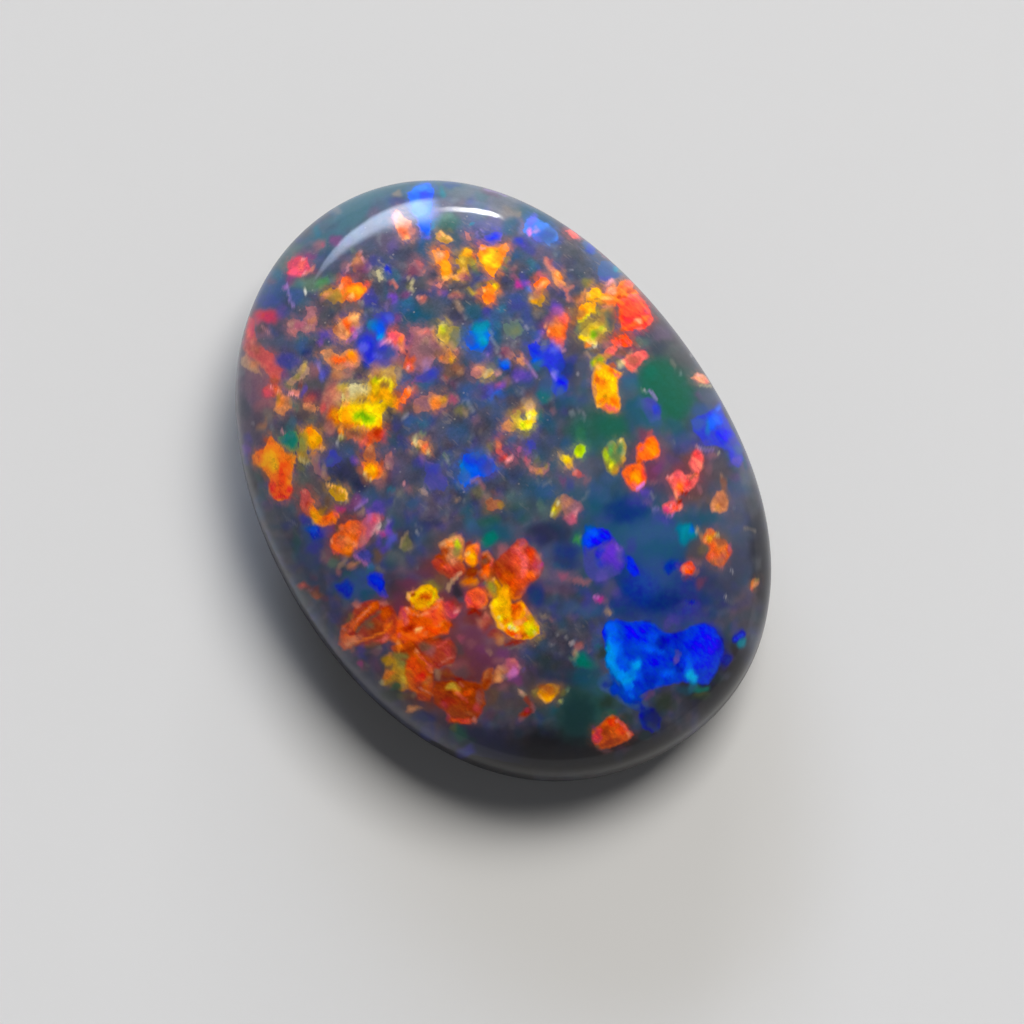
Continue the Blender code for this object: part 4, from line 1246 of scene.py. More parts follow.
LEFT = [
    # Dusty mauve and dark green under the upper left
    soft("umber", 260, 420, 18, 16, strength=0.4),
    soft("rosewood", 257, 408, 9, 7, strength=0.35),
    soft("ash", 253, 424, 2.4, 2, strength=0.5),
    soft("haze_warm", 262, 428, 6, 5, strength=0.4),
    soft("haze", 272, 427, 3, 3, strength=0.5),
    soft("rim_green", 274, 432, 8, 6, strength=0.4),
    soft("violet", 248, 440, 6, 8, strength=0.5),
    soft("purple", 246, 453, 5, 8, strength=0.7),
    soft("indigo", 247, 462, 5, 7, strength=0.8),
    line("blush", 2.6, (281, 430), (284, 434), strength=0.6),
    soft("umber", 302, 414, 8, 6, strength=0.5),
    soft("rim_green", 312, 420, 10, 6, strength=0.4),
    # Sea green window
    soft("rim_teal", 292, 424, 6, 9, strength=0.6),
    patch("sea", (277, 438), (284, 435), (290, 431), (297, 431), (300, 440), (298, 448),
          (293, 453), (286, 449), (280, 443), edge=2.4, foil=0.2),
    soft("teal", 284, 439, 6, 5, strength=0.6),
    soft("rim_teal", 291, 434, 4, 4, strength=0.5),
    soft("green", 300, 447, 3, 6, strength=0.3),
    # Big cross-shaped flake
    patch("orange", (252, 457), (256, 451), (264, 449), (267, 441), (271, 436), (276, 440),
          (281, 447), (287, 453), (297, 455), (295, 461), (292, 466), (293, 475), (292, 484),
          (293, 491), (290, 497), (283, 501), (275, 500), (270, 495), (268, 488), (270, 480),
          (266, 474), (260, 468), (254, 464), edge=1.6),
    soft("ember", 270, 440, 5, 6, strength=0.6, foil=1),
    soft("tangerine", 260, 453, 7, 4, strength=0.7, foil=1),
    soft("amber", 270, 457, 9, 7, strength=0.8, foil=1),
    soft("saffron", 267, 460, 5, 4, strength=0.5, foil=1),
    soft("amber", 271, 468, 4, 8, strength=0.6, foil=1),
    soft("orange", 257, 460, 5, 5, foil=1),
    line("rust", 2, (254, 465), (261, 469), (266, 476), strength=0.5),
    soft("orange", 288, 456, 6, 3, turn=25, strength=0.7, foil=1),
    soft("flame", 284, 466, 8, 5, turn=-30, strength=0.8, foil=1),
    soft("flame", 282, 476, 5, 12, foil=1),
    soft("tangerine", 289, 472, 3, 7, strength=0.8, foil=1),
    soft("scarlet", 273, 486, 5, 9, strength=0.9, foil=1),
    soft("tangerine", 275, 478, 4, 5, strength=0.5, foil=1),
    soft("flame", 281, 490, 9, 8, foil=1),
    soft("scarlet", 290, 490, 4, 6, strength=0.9, foil=1),
    soft("scarlet", 281, 498, 9, 3, foil=1),
    soft("tangerine", 281, 488, 5, 3, strength=0.5, foil=1),
    # Olive bridge and amber flake
    patch("olive", (296, 452), (300, 446), (300, 432), (306, 430), (308, 446), (308, 456),
          (310, 464), (304, 463), (298, 460), edge=2.4, strength=0.85, foil=0.8),
    soft("mustard", 301, 457, 4, 4, strength=0.5, foil=1),
    line("straw", 2.4, (301, 458), (305, 462), (309, 463), strength=0.6),
    patch("amber", (302, 430), (308, 427), (314, 428), (319, 432), (320, 440), (324, 444),
          (326, 449), (322, 452), (318, 449), (313, 451), (308, 448), (306, 439), edge=1.6),
    soft("orange", 309, 431, 4, 4, foil=1),
    soft("mustard", 318, 437, 3, 6, strength=0.6, foil=1),
    soft("ember", 320, 444, 3, 3, strength=0.7, foil=1),
    soft("apricot", 322, 448, 4, 3, turn=40, strength=0.8, foil=1),
    soft("peach", 303, 430, 3, 2, strength=0.6),
    patch("rosewood", (309, 454), (316, 450), (321, 455), (322, 463), (327, 474), (331, 481),
          (325, 480), (318, 473), (313, 472), (312, 462), edge=2.2, strength=0.8, foil=0.5),
    soft("haze_warm", 316, 458, 5, 5, strength=0.5),
    soft("tan", 324, 471, 4, 6, strength=0.8, foil=0.5),
    soft("rim_green", 304, 478, 14, 12, strength=0.5),
    soft("smoke", 314, 488, 8, 10, strength=0.5),
    soft("olive", 302, 466, 6, 5, strength=0.4),
    # Coral left end of the yellow flake
    soft("salmon", 331, 398, 10, 22, turn=12, strength=0.75, foil=0.6),
    soft("tangerine", 335, 416, 8, 12, turn=10, strength=0.7, foil=0.8),
    soft("peach", 336, 392, 6, 10, turn=10, strength=0.5, foil=0.7),
    soft("salmon", 329, 428, 7, 8, strength=0.6, foil=0.7),
    soft("coral", 323, 408, 4, 5, strength=0.7, foil=1),
    soft("tangerine", 339, 419, 5, 6, strength=0.7, foil=1),
    # Blue field under it
    soft("dusk", 344, 472, 20, 14, strength=0.8),
    soft("slate", 346, 450, 14, 6, strength=0.7),
    soft("night_blue", 340, 474, 12, 10, strength=0.3),
    patch("indigo", (324, 458), (328, 450), (336, 450), (342, 456), (340, 464), (330, 468),
          (326, 465), edge=2.6, foil=0.2),
    soft("royal", 333, 455, 4, 4, strength=0.4),
    soft("denim", 330, 463, 5, 4, strength=0.7),
    soft("violet", 354, 461, 5, 7, strength=0.9),
    soft("denim", 350, 453, 6, 4, strength=0.5),
    soft("rim_green", 334, 439, 7, 4, strength=0.4),
    # Gold triangle
    patch("mustard", (327, 484), (333, 484), (342, 486), (347, 491), (350, 501), (342, 502),
          (334, 500), (330, 493), edge=1.6),
    soft("apricot", 332, 486, 4, 2.4, turn=20, strength=0.9, foil=1),
    soft("amber", 338, 490, 5, 4, strength=0.5, foil=1),
    soft("brown", 335, 491, 3, 4, strength=0.4),
    soft("rust", 339, 493, 4, 3, strength=0.35, foil=1),
    line("apricot", 2, (340, 489), (346, 493), (348, 500), strength=0.8),
    soft("straw", 345, 500, 4, 1.6, strength=0.5),
    soft("brown", 326, 500, 6, 5, strength=0.7, foil=0.6),
    soft("salmon", 346, 485, 5, 2.4, turn=45, strength=0.4),
    # Orange crescent with its red and magenta ends
    patch("brick", (301, 491), (308, 489), (311, 496), (313, 502), (309, 508), (308, 516),
          (302, 512), (300, 500), edge=2),
    soft("salmon", 304, 491, 4, 2.4, strength=0.8, foil=0.7),
    soft("blood", 308, 503, 3, 5, strength=0.5),
    soft("wine", 303, 513, 5, 6, strength=0.5),
    patch("orange", (308, 511), (311, 504), (314, 501), (316, 507), (320, 514), (327, 516),
          (333, 511), (338, 514), (339, 518), (336, 523), (328, 526), (322, 528), (314, 523),
          (309, 517), edge=1.6),
    soft("amber", 315, 515, 5, 7, turn=-30, foil=1),
    soft("apricot", 313, 522, 5, 2, turn=45, strength=0.8, foil=1),
    soft("tangerine", 330, 518, 5, 5, foil=1),
    soft("coral", 336, 516, 3, 4, strength=0.9, foil=1),
    soft("ember", 326, 521, 3, 5, strength=0.5, foil=1),
    soft("brown", 324, 508, 6, 5, strength=0.8, foil=0.6),
    soft("mustard", 323, 510, 4, 3, strength=0.4),
    soft("magenta", 340, 508, 6, 4, turn=-20, strength=0.75),
    soft("crimson", 342, 510, 4, 3, strength=0.5),
    soft("plum", 350, 505, 7, 7, strength=0.7),
    soft("orchid", 358, 502, 5, 6, strength=0.35),
    # Lower left rim, with painted shade along its edge
    soft("denim", 309, 526, 9, 8, turn=20, strength=0.9),
    soft("indigo", 303, 520, 6, 5, strength=0.8),
    soft("deep_teal", 262, 494, 7, 14, strength=0.4),
    soft("plum", 268, 506, 7, 5, strength=0.3),
    soft("smoke", 276, 515, 16, 9, strength=0.4),
    line("haze", 1.6, (286, 517), (291, 521), (297, 525), strength=0.5),
    # painted shade along the left edge, where the dome turns away from the light
    soft("night", 248, 486, 8, 22, turn=-12, strength=0.7),
    soft("forest", 258, 477, 6, 7, strength=0.3),
]

CENTRE = [
    # Yellow flake with its green heart
    patch("yellow", (337, 414), (342, 405), (350, 403), (358, 404), (366, 402), (376, 401),
          (385, 402), (388, 408), (383, 414), (384, 421), (380, 428), (374, 430), (370, 432),
          (364, 429), (355, 428), (346, 426), (339, 421), edge=1.6),
    soft("amber", 345, 414, 7, 9, foil=1),
    soft("orange", 350, 423, 10, 5, turn=10, foil=1),
    soft("amber", 352, 419, 8, 5, strength=0.8, foil=1),
    soft("lemon", 372, 406, 13, 4, strength=0.5, foil=1),
    soft("lime", 366, 418, 14, 8, turn=10, foil=1),
    soft("leaf", 364, 417, 8, 5, foil=1),
    soft("yellow", 378, 417, 4, 8, strength=0.8, foil=1),
    soft("mustard", 384, 410, 3, 4, strength=0.6, foil=1),
    soft("amber", 380, 422, 3, 6, strength=0.7, foil=1),
    line("apricot", 2.4, (356, 427), (364, 428), (370, 431), (377, 428), strength=0.8, foil=1),
    soft("lemon", 369, 425, 3, 4, strength=0.6, foil=1),
    # Amber and tan ground above its left end
    patch("mustard", (342, 404), (348, 400), (356, 396), (366, 394), (378, 394), (384, 402),
          (372, 402), (360, 404), (350, 405), edge=2.4),
    soft("amber", 372, 397, 8, 4, foil=1),
    soft("brown", 362, 400, 8, 2.4, turn=-8, strength=0.7, foil=1),
    soft("orange", 344, 403, 5, 4, strength=0.8, foil=1),
    patch("straw", (340, 398), (344, 388), (352, 382), (362, 386), (370, 388), (366, 395),
          (354, 398), (346, 402), edge=3, strength=0.9),
    soft("straw", 362, 389, 6, 3, strength=0.6, foil=1),
    soft("straw", 353, 394, 6, 4, strength=0.4, foil=1),
    soft("copper", 346, 394, 5, 5, strength=0.6, foil=1),
    soft("mauve_slate", 365, 381, 6, 3, strength=0.6),
    # Red block below it
    patch("rust", (346, 428), (354, 429), (364, 430), (367, 436), (364, 444), (354, 440),
          (347, 436), edge=2.4),
    soft("salmon", 356, 439, 8, 3, turn=20, strength=0.7, foil=1),
    soft("brown", 355, 432, 5, 3, strength=0.6, foil=1),
    patch("ember", (366, 433), (371, 432), (378, 428), (385, 428), (386, 434), (382, 441),
          (374, 442), (370, 448), (365, 447), (361, 441), edge=1.8),
    soft("blood", 378, 433, 8, 6, strength=0.85, foil=1),
    soft("crimson", 384, 436, 4, 6, strength=0.5),
    soft("ember", 369, 437, 5, 5, foil=1),
    soft("tangerine", 368, 444, 2.4, 4, foil=1),
    soft("coral", 362, 442, 4, 5, strength=0.8, foil=1),
    soft("brown", 377, 444, 5, 3, strength=0.7),
    soft("orange", 342, 430, 5, 6, strength=0.9, foil=1),
    soft("apricot", 342, 429, 3, 4, strength=0.7, foil=1),
    soft("olive", 341, 438, 3, 4),
    soft("straw", 340, 436, 3, 2, strength=0.8),
    line("ash", 2.4, (338, 441), (338, 447), strength=0.8),
    patch("rust", (362, 449), (367, 447), (374, 446), (376, 452), (376, 460), (368, 463),
          (363, 459), edge=2.2, strength=0.9),
    soft("copper", 371, 448, 4, 3, strength=0.9, foil=1),
    soft("wine", 364, 454, 3, 5, strength=0.7),
    soft("ember", 370, 459, 5, 3, strength=0.6, foil=1),
    # Amber flake with the pink corner
    patch("orange", (361, 463), (366, 462), (372, 462), (378, 459), (380, 466), (384, 471),
          (382, 477), (376, 479), (370, 481), (366, 477), (363, 470), edge=1.6),
    soft("amber", 369, 468, 6, 6, foil=1),
    soft("yellow", 372, 466, 3, 3, strength=0.7, foil=1),
    soft("amber", 372, 475, 4, 4, foil=1),
    soft("coral", 362, 464, 3, 2.4, strength=0.8),
    soft("ember", 377, 472, 3, 3, strength=0.8, foil=1),
    soft("tangerine", 379, 466, 3, 6, strength=0.6, foil=1),
    line("straw", 2.2, (364, 472), (367, 478), (370, 480), strength=0.8),
    soft("copper", 382, 475, 4, 4, strength=0.8, foil=1),
    patch("rosewood", (384, 456), (388, 452), (392, 452), (394, 460), (393, 470), (388, 470),
          (385, 465), edge=2.2, strength=0.9),
    soft("salmon", 390, 456, 3, 3, strength=0.7, foil=1),
    soft("tan", 388, 466, 4, 4, strength=0.7, foil=1),
    soft("blush", 391, 468, 2, 2, strength=0.6),
    soft("rosewood", 380, 484, 8, 6, strength=0.6),
    soft("wine", 388, 476, 6, 6, strength=0.4),
    soft("night_blue", 360, 484, 12, 9, strength=0.6),
    soft("mauve_slate", 401, 468, 15, 18, strength=0.5),
    soft("teal", 392, 488, 5, 4, strength=0.7),
    # Specks below
    soft("blush", 404, 485, 3, 2.2, turn=30, strength=0.8),
    soft("rosewood", 408, 490, 5, 4, strength=0.5),
    soft("haze", 398, 494, 4, 2, turn=-30, strength=0.7),
    soft("haze", 395, 503, 2.4, 4, strength=0.4),
    patch("tan", (417, 489), (423, 487), (428, 491), (433, 496), (427, 496), (421, 494),
          strength=0.75),
    soft("denim", 412, 502, 10, 8, strength=0.6),
    soft("haze", 428, 508, 5, 2, strength=0.35),
    soft("night_blue", 428, 522, 14, 8, strength=0.35),
    line("haze", 2, (438, 506), (444, 512), (448, 516), strength=0.3),
    # Indigo glow left of centre
    soft("indigo", 420, 461, 6, 7, strength=0.7),
    soft("purple", 421, 460, 4, 4, strength=0.3),
    patch("indigo", (424, 464), (432, 461), (440, 466), (444, 474), (450, 482), (444, 490),
          (430, 490), (424, 482), (426, 474), edge=4, strength=0.85, foil=0.15),
    soft("royal", 432, 467, 6, 6, strength=0.35),
    soft("violet", 442, 480, 8, 6, strength=0.35),
    soft("mauve_slate", 444, 472, 6, 8, strength=0.35),
    # Small bent flake, pale to pink
    soft("sage", 419, 437, 5, 3, strength=0.9),
    patch("copper", (411, 440), (415, 438), (420, 440), (426, 441), (430, 447), (430, 454),
          (424, 454), (420, 448), (416, 447), (412, 448), edge=1.6),
    soft("straw", 413, 442, 2.2, 4, foil=1),
    soft("olive", 416, 446, 3, 2.4, strength=0.8, foil=1),
    soft("apricot", 419, 443, 4, 3, turn=30, strength=0.7, foil=1),
    soft("tangerine", 426, 446, 4, 4, strength=0.7, foil=1),
    soft("coral", 428, 446, 2.4, 4, strength=0.4, foil=1),
    soft("orange", 425, 452, 4, 3, strength=0.6, foil=1),
    soft("straw", 431, 453, 2, 2, strength=0.7),
    soft("brown", 418, 451, 3, 3, strength=0.8),
    soft("haze", 414, 452, 4, 3, strength=0.5),
    # Slate field with blue glows above it
    soft("denim", 410, 421, 8, 6, strength=0.9),
    soft("teal", 421, 424, 9, 6, strength=0.5),
    soft("denim", 409, 431, 9, 6, strength=0.5),
    soft("indigo", 403, 441, 6, 6, strength=0.45),
    soft("slate", 446, 428, 16, 14, strength=0.6),
    soft("denim", 457, 435, 10, 12, strength=0.6),
    soft("ash", 404, 416, 3, 2.4, strength=0.6),
    soft("haze_warm", 402, 411, 5, 2.4, strength=0.5),
    soft("night", 390, 411, 6, 4, turn=30, strength=0.5),
    soft("rosewood", 386, 434, 3, 6, strength=0.4),
    soft("haze", 431, 431, 2, 3, strength=0.4),
    soft("haze", 443, 442, 3, 1.6, strength=0.3),
    soft("olive", 460, 413, 8, 5, strength=0.5),
    soft("tan", 466, 411, 4, 4, strength=0.5),
    line("sage", 2.6, (444, 454), (448, 459), (451, 465), strength=0.6),
    soft("ash", 447, 459, 2, 3, turn=-30, strength=0.5),
    soft("haze", 442, 462, 2, 3, strength=0.5),
    soft("haze", 457, 465, 3, 2, strength=0.5),
    soft("haze", 469, 436, 2, 3, strength=0.5),
    # Azure flash left of centre
    patch("azure", (459, 468), (463, 458), (468, 453), (480, 452), (492, 459), (496, 468),
          (488, 476), (476, 478), (470, 484), (463, 488), (459, 480), edge=3, strength=0.85,
          foil=0.3),
    soft("royal", 472, 461, 9, 6, strength=0.6, foil=0.3),
    soft("peacock", 462, 468, 4, 8, strength=0.45),
    soft("sky", 467, 476, 5, 7, strength=0.5),
    soft("haze", 462, 486, 3, 3, strength=0.5),
    soft("indigo", 487, 466, 9, 9, strength=0.9),
    soft("royal", 480, 465, 6, 6, strength=0.5),
    soft("violet", 490, 474, 6, 5, strength=0.5),
    line("lilac", 3, (482, 449), (489, 455), (496, 463), strength=0.5),
    soft("mauve_slate", 500, 462, 5, 8, strength=0.4),
    # Yellow hook-shaped flake
    patch("olive", (511, 416), (515, 410), (521, 408), (524, 411), (519, 416), (514, 420), edge=2,
          strength=0.7, foil=0.8),
    patch("lemon", (513, 417), (517, 416), (521, 422), (526, 420), (528, 411), (533, 408),
          (537, 414), (537, 420), (533, 424), (531, 430), (527, 434), (521, 430), (517, 425),
          edge=1.6),
    soft("apricot", 530, 407, 5, 4, foil=1),
    soft("pearl", 531, 415, 2.4, 4, strength=0.55, foil=1),
    soft("lime", 523, 425, 5, 4, strength=0.8, foil=1),
    soft("lemon", 527, 428, 3, 3, foil=1),
    soft("straw", 537, 416, 2, 5, strength=0.8),
    soft("haze_warm", 522, 415, 3, 4, strength=0.7),
    soft("olive", 526, 435, 5, 3, strength=0.7, foil=0.7),
    soft("haze", 523, 440, 4, 2.4, strength=0.5),
    patch("copper", (502, 430), (504, 422), (508, 419), (513, 421), (517, 427), (514, 432),
          (506, 432), edge=1.8, strength=0.9),
    soft("peach", 504, 426, 2.4, 5, strength=0.5, foil=1),
    soft("olive", 514, 428, 4, 4, strength=0.6, foil=1),
    soft("copper", 516, 411, 4, 4, strength=0.5, foil=1),
    # Green and teal glows right of it
    soft("sea", 542, 417, 4, 7, strength=0.5),
    soft("deep_teal", 549, 424, 11, 10, strength=0.6),
    soft("rosewood", 553, 411, 6, 4, strength=0.45),
    soft("haze", 571, 413, 3.4, 2, strength=0.8),
    line("haze", 2.6, (579, 410), (583, 413), (585, 419), strength=0.7),
    soft("forest", 576, 428, 14, 16, strength=0.5),
    soft("green", 581, 434, 7, 7, strength=0.2),
    soft("deep_teal", 566, 446, 7, 7, strength=0.5),
    soft("denim", 550, 438, 9, 9, strength=0.3),
    # Olive and gold pair
    patch("lime", (573, 452), (576, 446), (581, 443), (585, 446), (586, 452), (582, 457),
          (576, 458), edge=2, foil=0.8),
    soft("olive", 580, 448, 5, 4, strength=0.5, foil=1),
    soft("lemon", 577, 455, 3, 2, strength=0.5, foil=1),
    soft("olive", 572, 457, 3, 3, strength=0.8),
    patch("gold", (558, 453), (562, 454), (568, 455), (573, 459), (573, 466), (570, 470),
          (566, 467), (562, 462), (559, 458), edge=1.6),
    soft("yellow", 567, 461, 4, 4, strength=0.7, foil=1),
    soft("lemon", 565, 459, 3, 3, strength=0.5, foil=1),
    soft("copper", 571, 468, 3, 3, strength=0.6, foil=1),
    soft("tan", 559, 454, 2.4, 3, strength=0.8),
    soft("blush", 571, 470, 3, 2, turn=-20),
    patch("brick", (571, 473), (576, 469), (581, 472), (585, 477), (579, 478), (574, 476),
          edge=1.8, strength=0.9),
    soft("blush", 576, 473, 4, 2, turn=40, strength=0.4, foil=1),
    soft("rosewood", 587, 481, 6, 4, turn=35, strength=0.5),
    soft("plum", 561, 480, 3, 8, strength=0.7),
    soft("indigo", 568, 487, 6, 8, strength=0.5),
    soft("denim", 546, 490, 12, 9, strength=0.7),
    line("haze", 2.6, (538, 482), (544, 484), (551, 480), strength=0.5),
    soft("sage", 542, 506, 5, 7, strength=0.5),
    soft("rim_green", 546, 514, 6, 5, strength=0.5),
    soft("haze", 537, 519, 3, 3, strength=0.3),
    # Mustard flake with sparks, and a rose flake
    patch("rosewood", (558, 496), (566, 494), (572, 499), (580, 502), (583, 508), (577, 514),
          (566, 517), (561, 508), edge=2.4, strength=0.85),
    soft("copper", 566, 504, 5, 4, strength=0.6, foil=1),
    soft("peach", 563, 498, 3, 2, strength=0.5, foil=1),
    soft("brown", 564, 512, 4, 4, strength=0.6),
    patch("olive", (550, 514), (552, 506), (556, 499), (561, 500), (561, 508), (560, 515),
          (556, 519), (552, 517), edge=1.8),
    soft("mustard", 557, 507, 4, 6, strength=0.7, foil=1),
    soft("straw", 559, 502, 2.2, 2.2, strength=0.8, foil=1),
    soft("lemon", 555, 511, 2.6, 2.6, strength=0.9, foil=1),
    soft("straw", 552, 515, 2, 2.4, strength=0.7, foil=1),
    patch("rose", (562, 517), (570, 513), (577, 511), (579, 513), (576, 519), (577, 523),
          (571, 524), (565, 521), edge=1.6),
    soft("rose_red", 574, 517, 4, 3, strength=0.6, foil=1),
    soft("blush", 576, 513, 3, 1.8, strength=0.7),
    soft("blush", 573, 521, 4, 1.4, turn=30, strength=0.5),
    line("haze", 2.4, (581, 501), (588, 494), strength=0.5),
    # Red trail
    patch("brick", (494, 442), (498, 440), (503, 448), (506, 454), (512, 457), (513, 461),
          (508, 463), (503, 459), (499, 453), (495, 449), edge=1.8),
    soft("copper", 497, 444, 3, 4, strength=0.7, foil=1),
    soft("rose", 501, 452, 4, 4, strength=0.7, foil=1),
    soft("scarlet", 508, 459, 5, 3.4, strength=0.8, foil=1),
    soft("blush", 511, 459, 3, 2, foil=1),
    patch("rose", (515, 448), (519, 446), (521, 450), (519, 457), (516, 456), edge=1.4),
    soft("wine", 517, 455, 3, 3, strength=0.5),
    soft("olive", 489, 447, 5, 5, strength=0.5),
    patch("indigo", (523, 448), (526, 441), (532, 438), (537, 442), (536, 449), (529, 453),
          edge=2.4, foil=0.2),
    soft("royal", 530, 445, 5, 4, strength=0.4),
    soft("purple", 527, 454, 4, 4, strength=0.5),
    soft("denim", 512, 440, 7, 5, strength=0.7),
    # Brown hook
    patch("rosewood", (524, 460), (526, 456), (530, 458), (532, 464), (538, 468), (545, 466),
          (551, 464), (548, 471), (542, 475), (534, 474), (527, 469), edge=2.2, strength=0.9),
    soft("crimson", 526, 460, 3, 4, strength=0.6, foil=1),
    soft("copper", 533, 467, 5, 4, strength=0.7, foil=1),
    soft("mustard", 541, 470, 5, 4, strength=0.7, foil=1),
    soft("olive", 547, 465, 4, 3, strength=0.8, foil=1),
    soft("olive", 537, 461, 5, 3, strength=0.45),
    soft("haze", 534, 456, 2.4, 2.4, strength=0.5),
    soft("dusk", 514, 472, 8, 6, strength=0.5),
    soft("deep_teal", 556, 466, 5, 8, strength=0.4),
    # Dusty rose and olive patches lower left of centre
    soft("rosewood", 476, 420, 7, 6, strength=0.5),
    soft("umber", 482, 428, 14, 12, strength=0.45),
    soft("haze_warm", 480, 434, 4, 4, strength=0.4),
    soft("olive", 479, 491, 8, 7, strength=0.5),
    line("rosewood", 4, (472, 480), (478, 480), (483, 487), strength=0.7),
    soft("lilac", 476, 481, 4, 2, turn=20, strength=0.4),
    soft("haze", 473, 492, 2.4, 2, strength=0.5),
    soft("ash", 483, 495, 2, 3, turn=-20, strength=0.5),
    soft("tan", 455, 499, 3, 3, strength=0.6),
    soft("haze", 463, 498, 3, 3, strength=0.7),
    soft("olive", 487, 507, 8, 7, strength=0.4),
    patch("rust", (485, 500), (490, 496), (496, 499), (503, 502), (507, 506), (501, 509),
          (494, 511), (488, 509), edge=2.2, strength=0.95),
    soft("copper", 495, 504, 5, 3, strength=0.6, foil=1),
    soft("tan", 488, 498, 4, 3, turn=30, strength=0.7),
    soft("mustard", 503, 505, 4, 3, strength=0.7, foil=1),
    soft("rim_green", 515, 498, 16, 12, strength=0.4),
    soft("forest", 518, 512, 20, 12, strength=0.3),
    soft("sage", 511, 496, 5, 5, strength=0.25),
    soft("haze", 510, 490, 3, 2, turn=-30, strength=0.35),
    soft("forest", 489, 522, 14, 9, strength=0.6),
    soft("teal", 472, 524, 8, 8, strength=0.6),
    soft("deep_teal", 468, 512, 10, 8, strength=0.5),
]

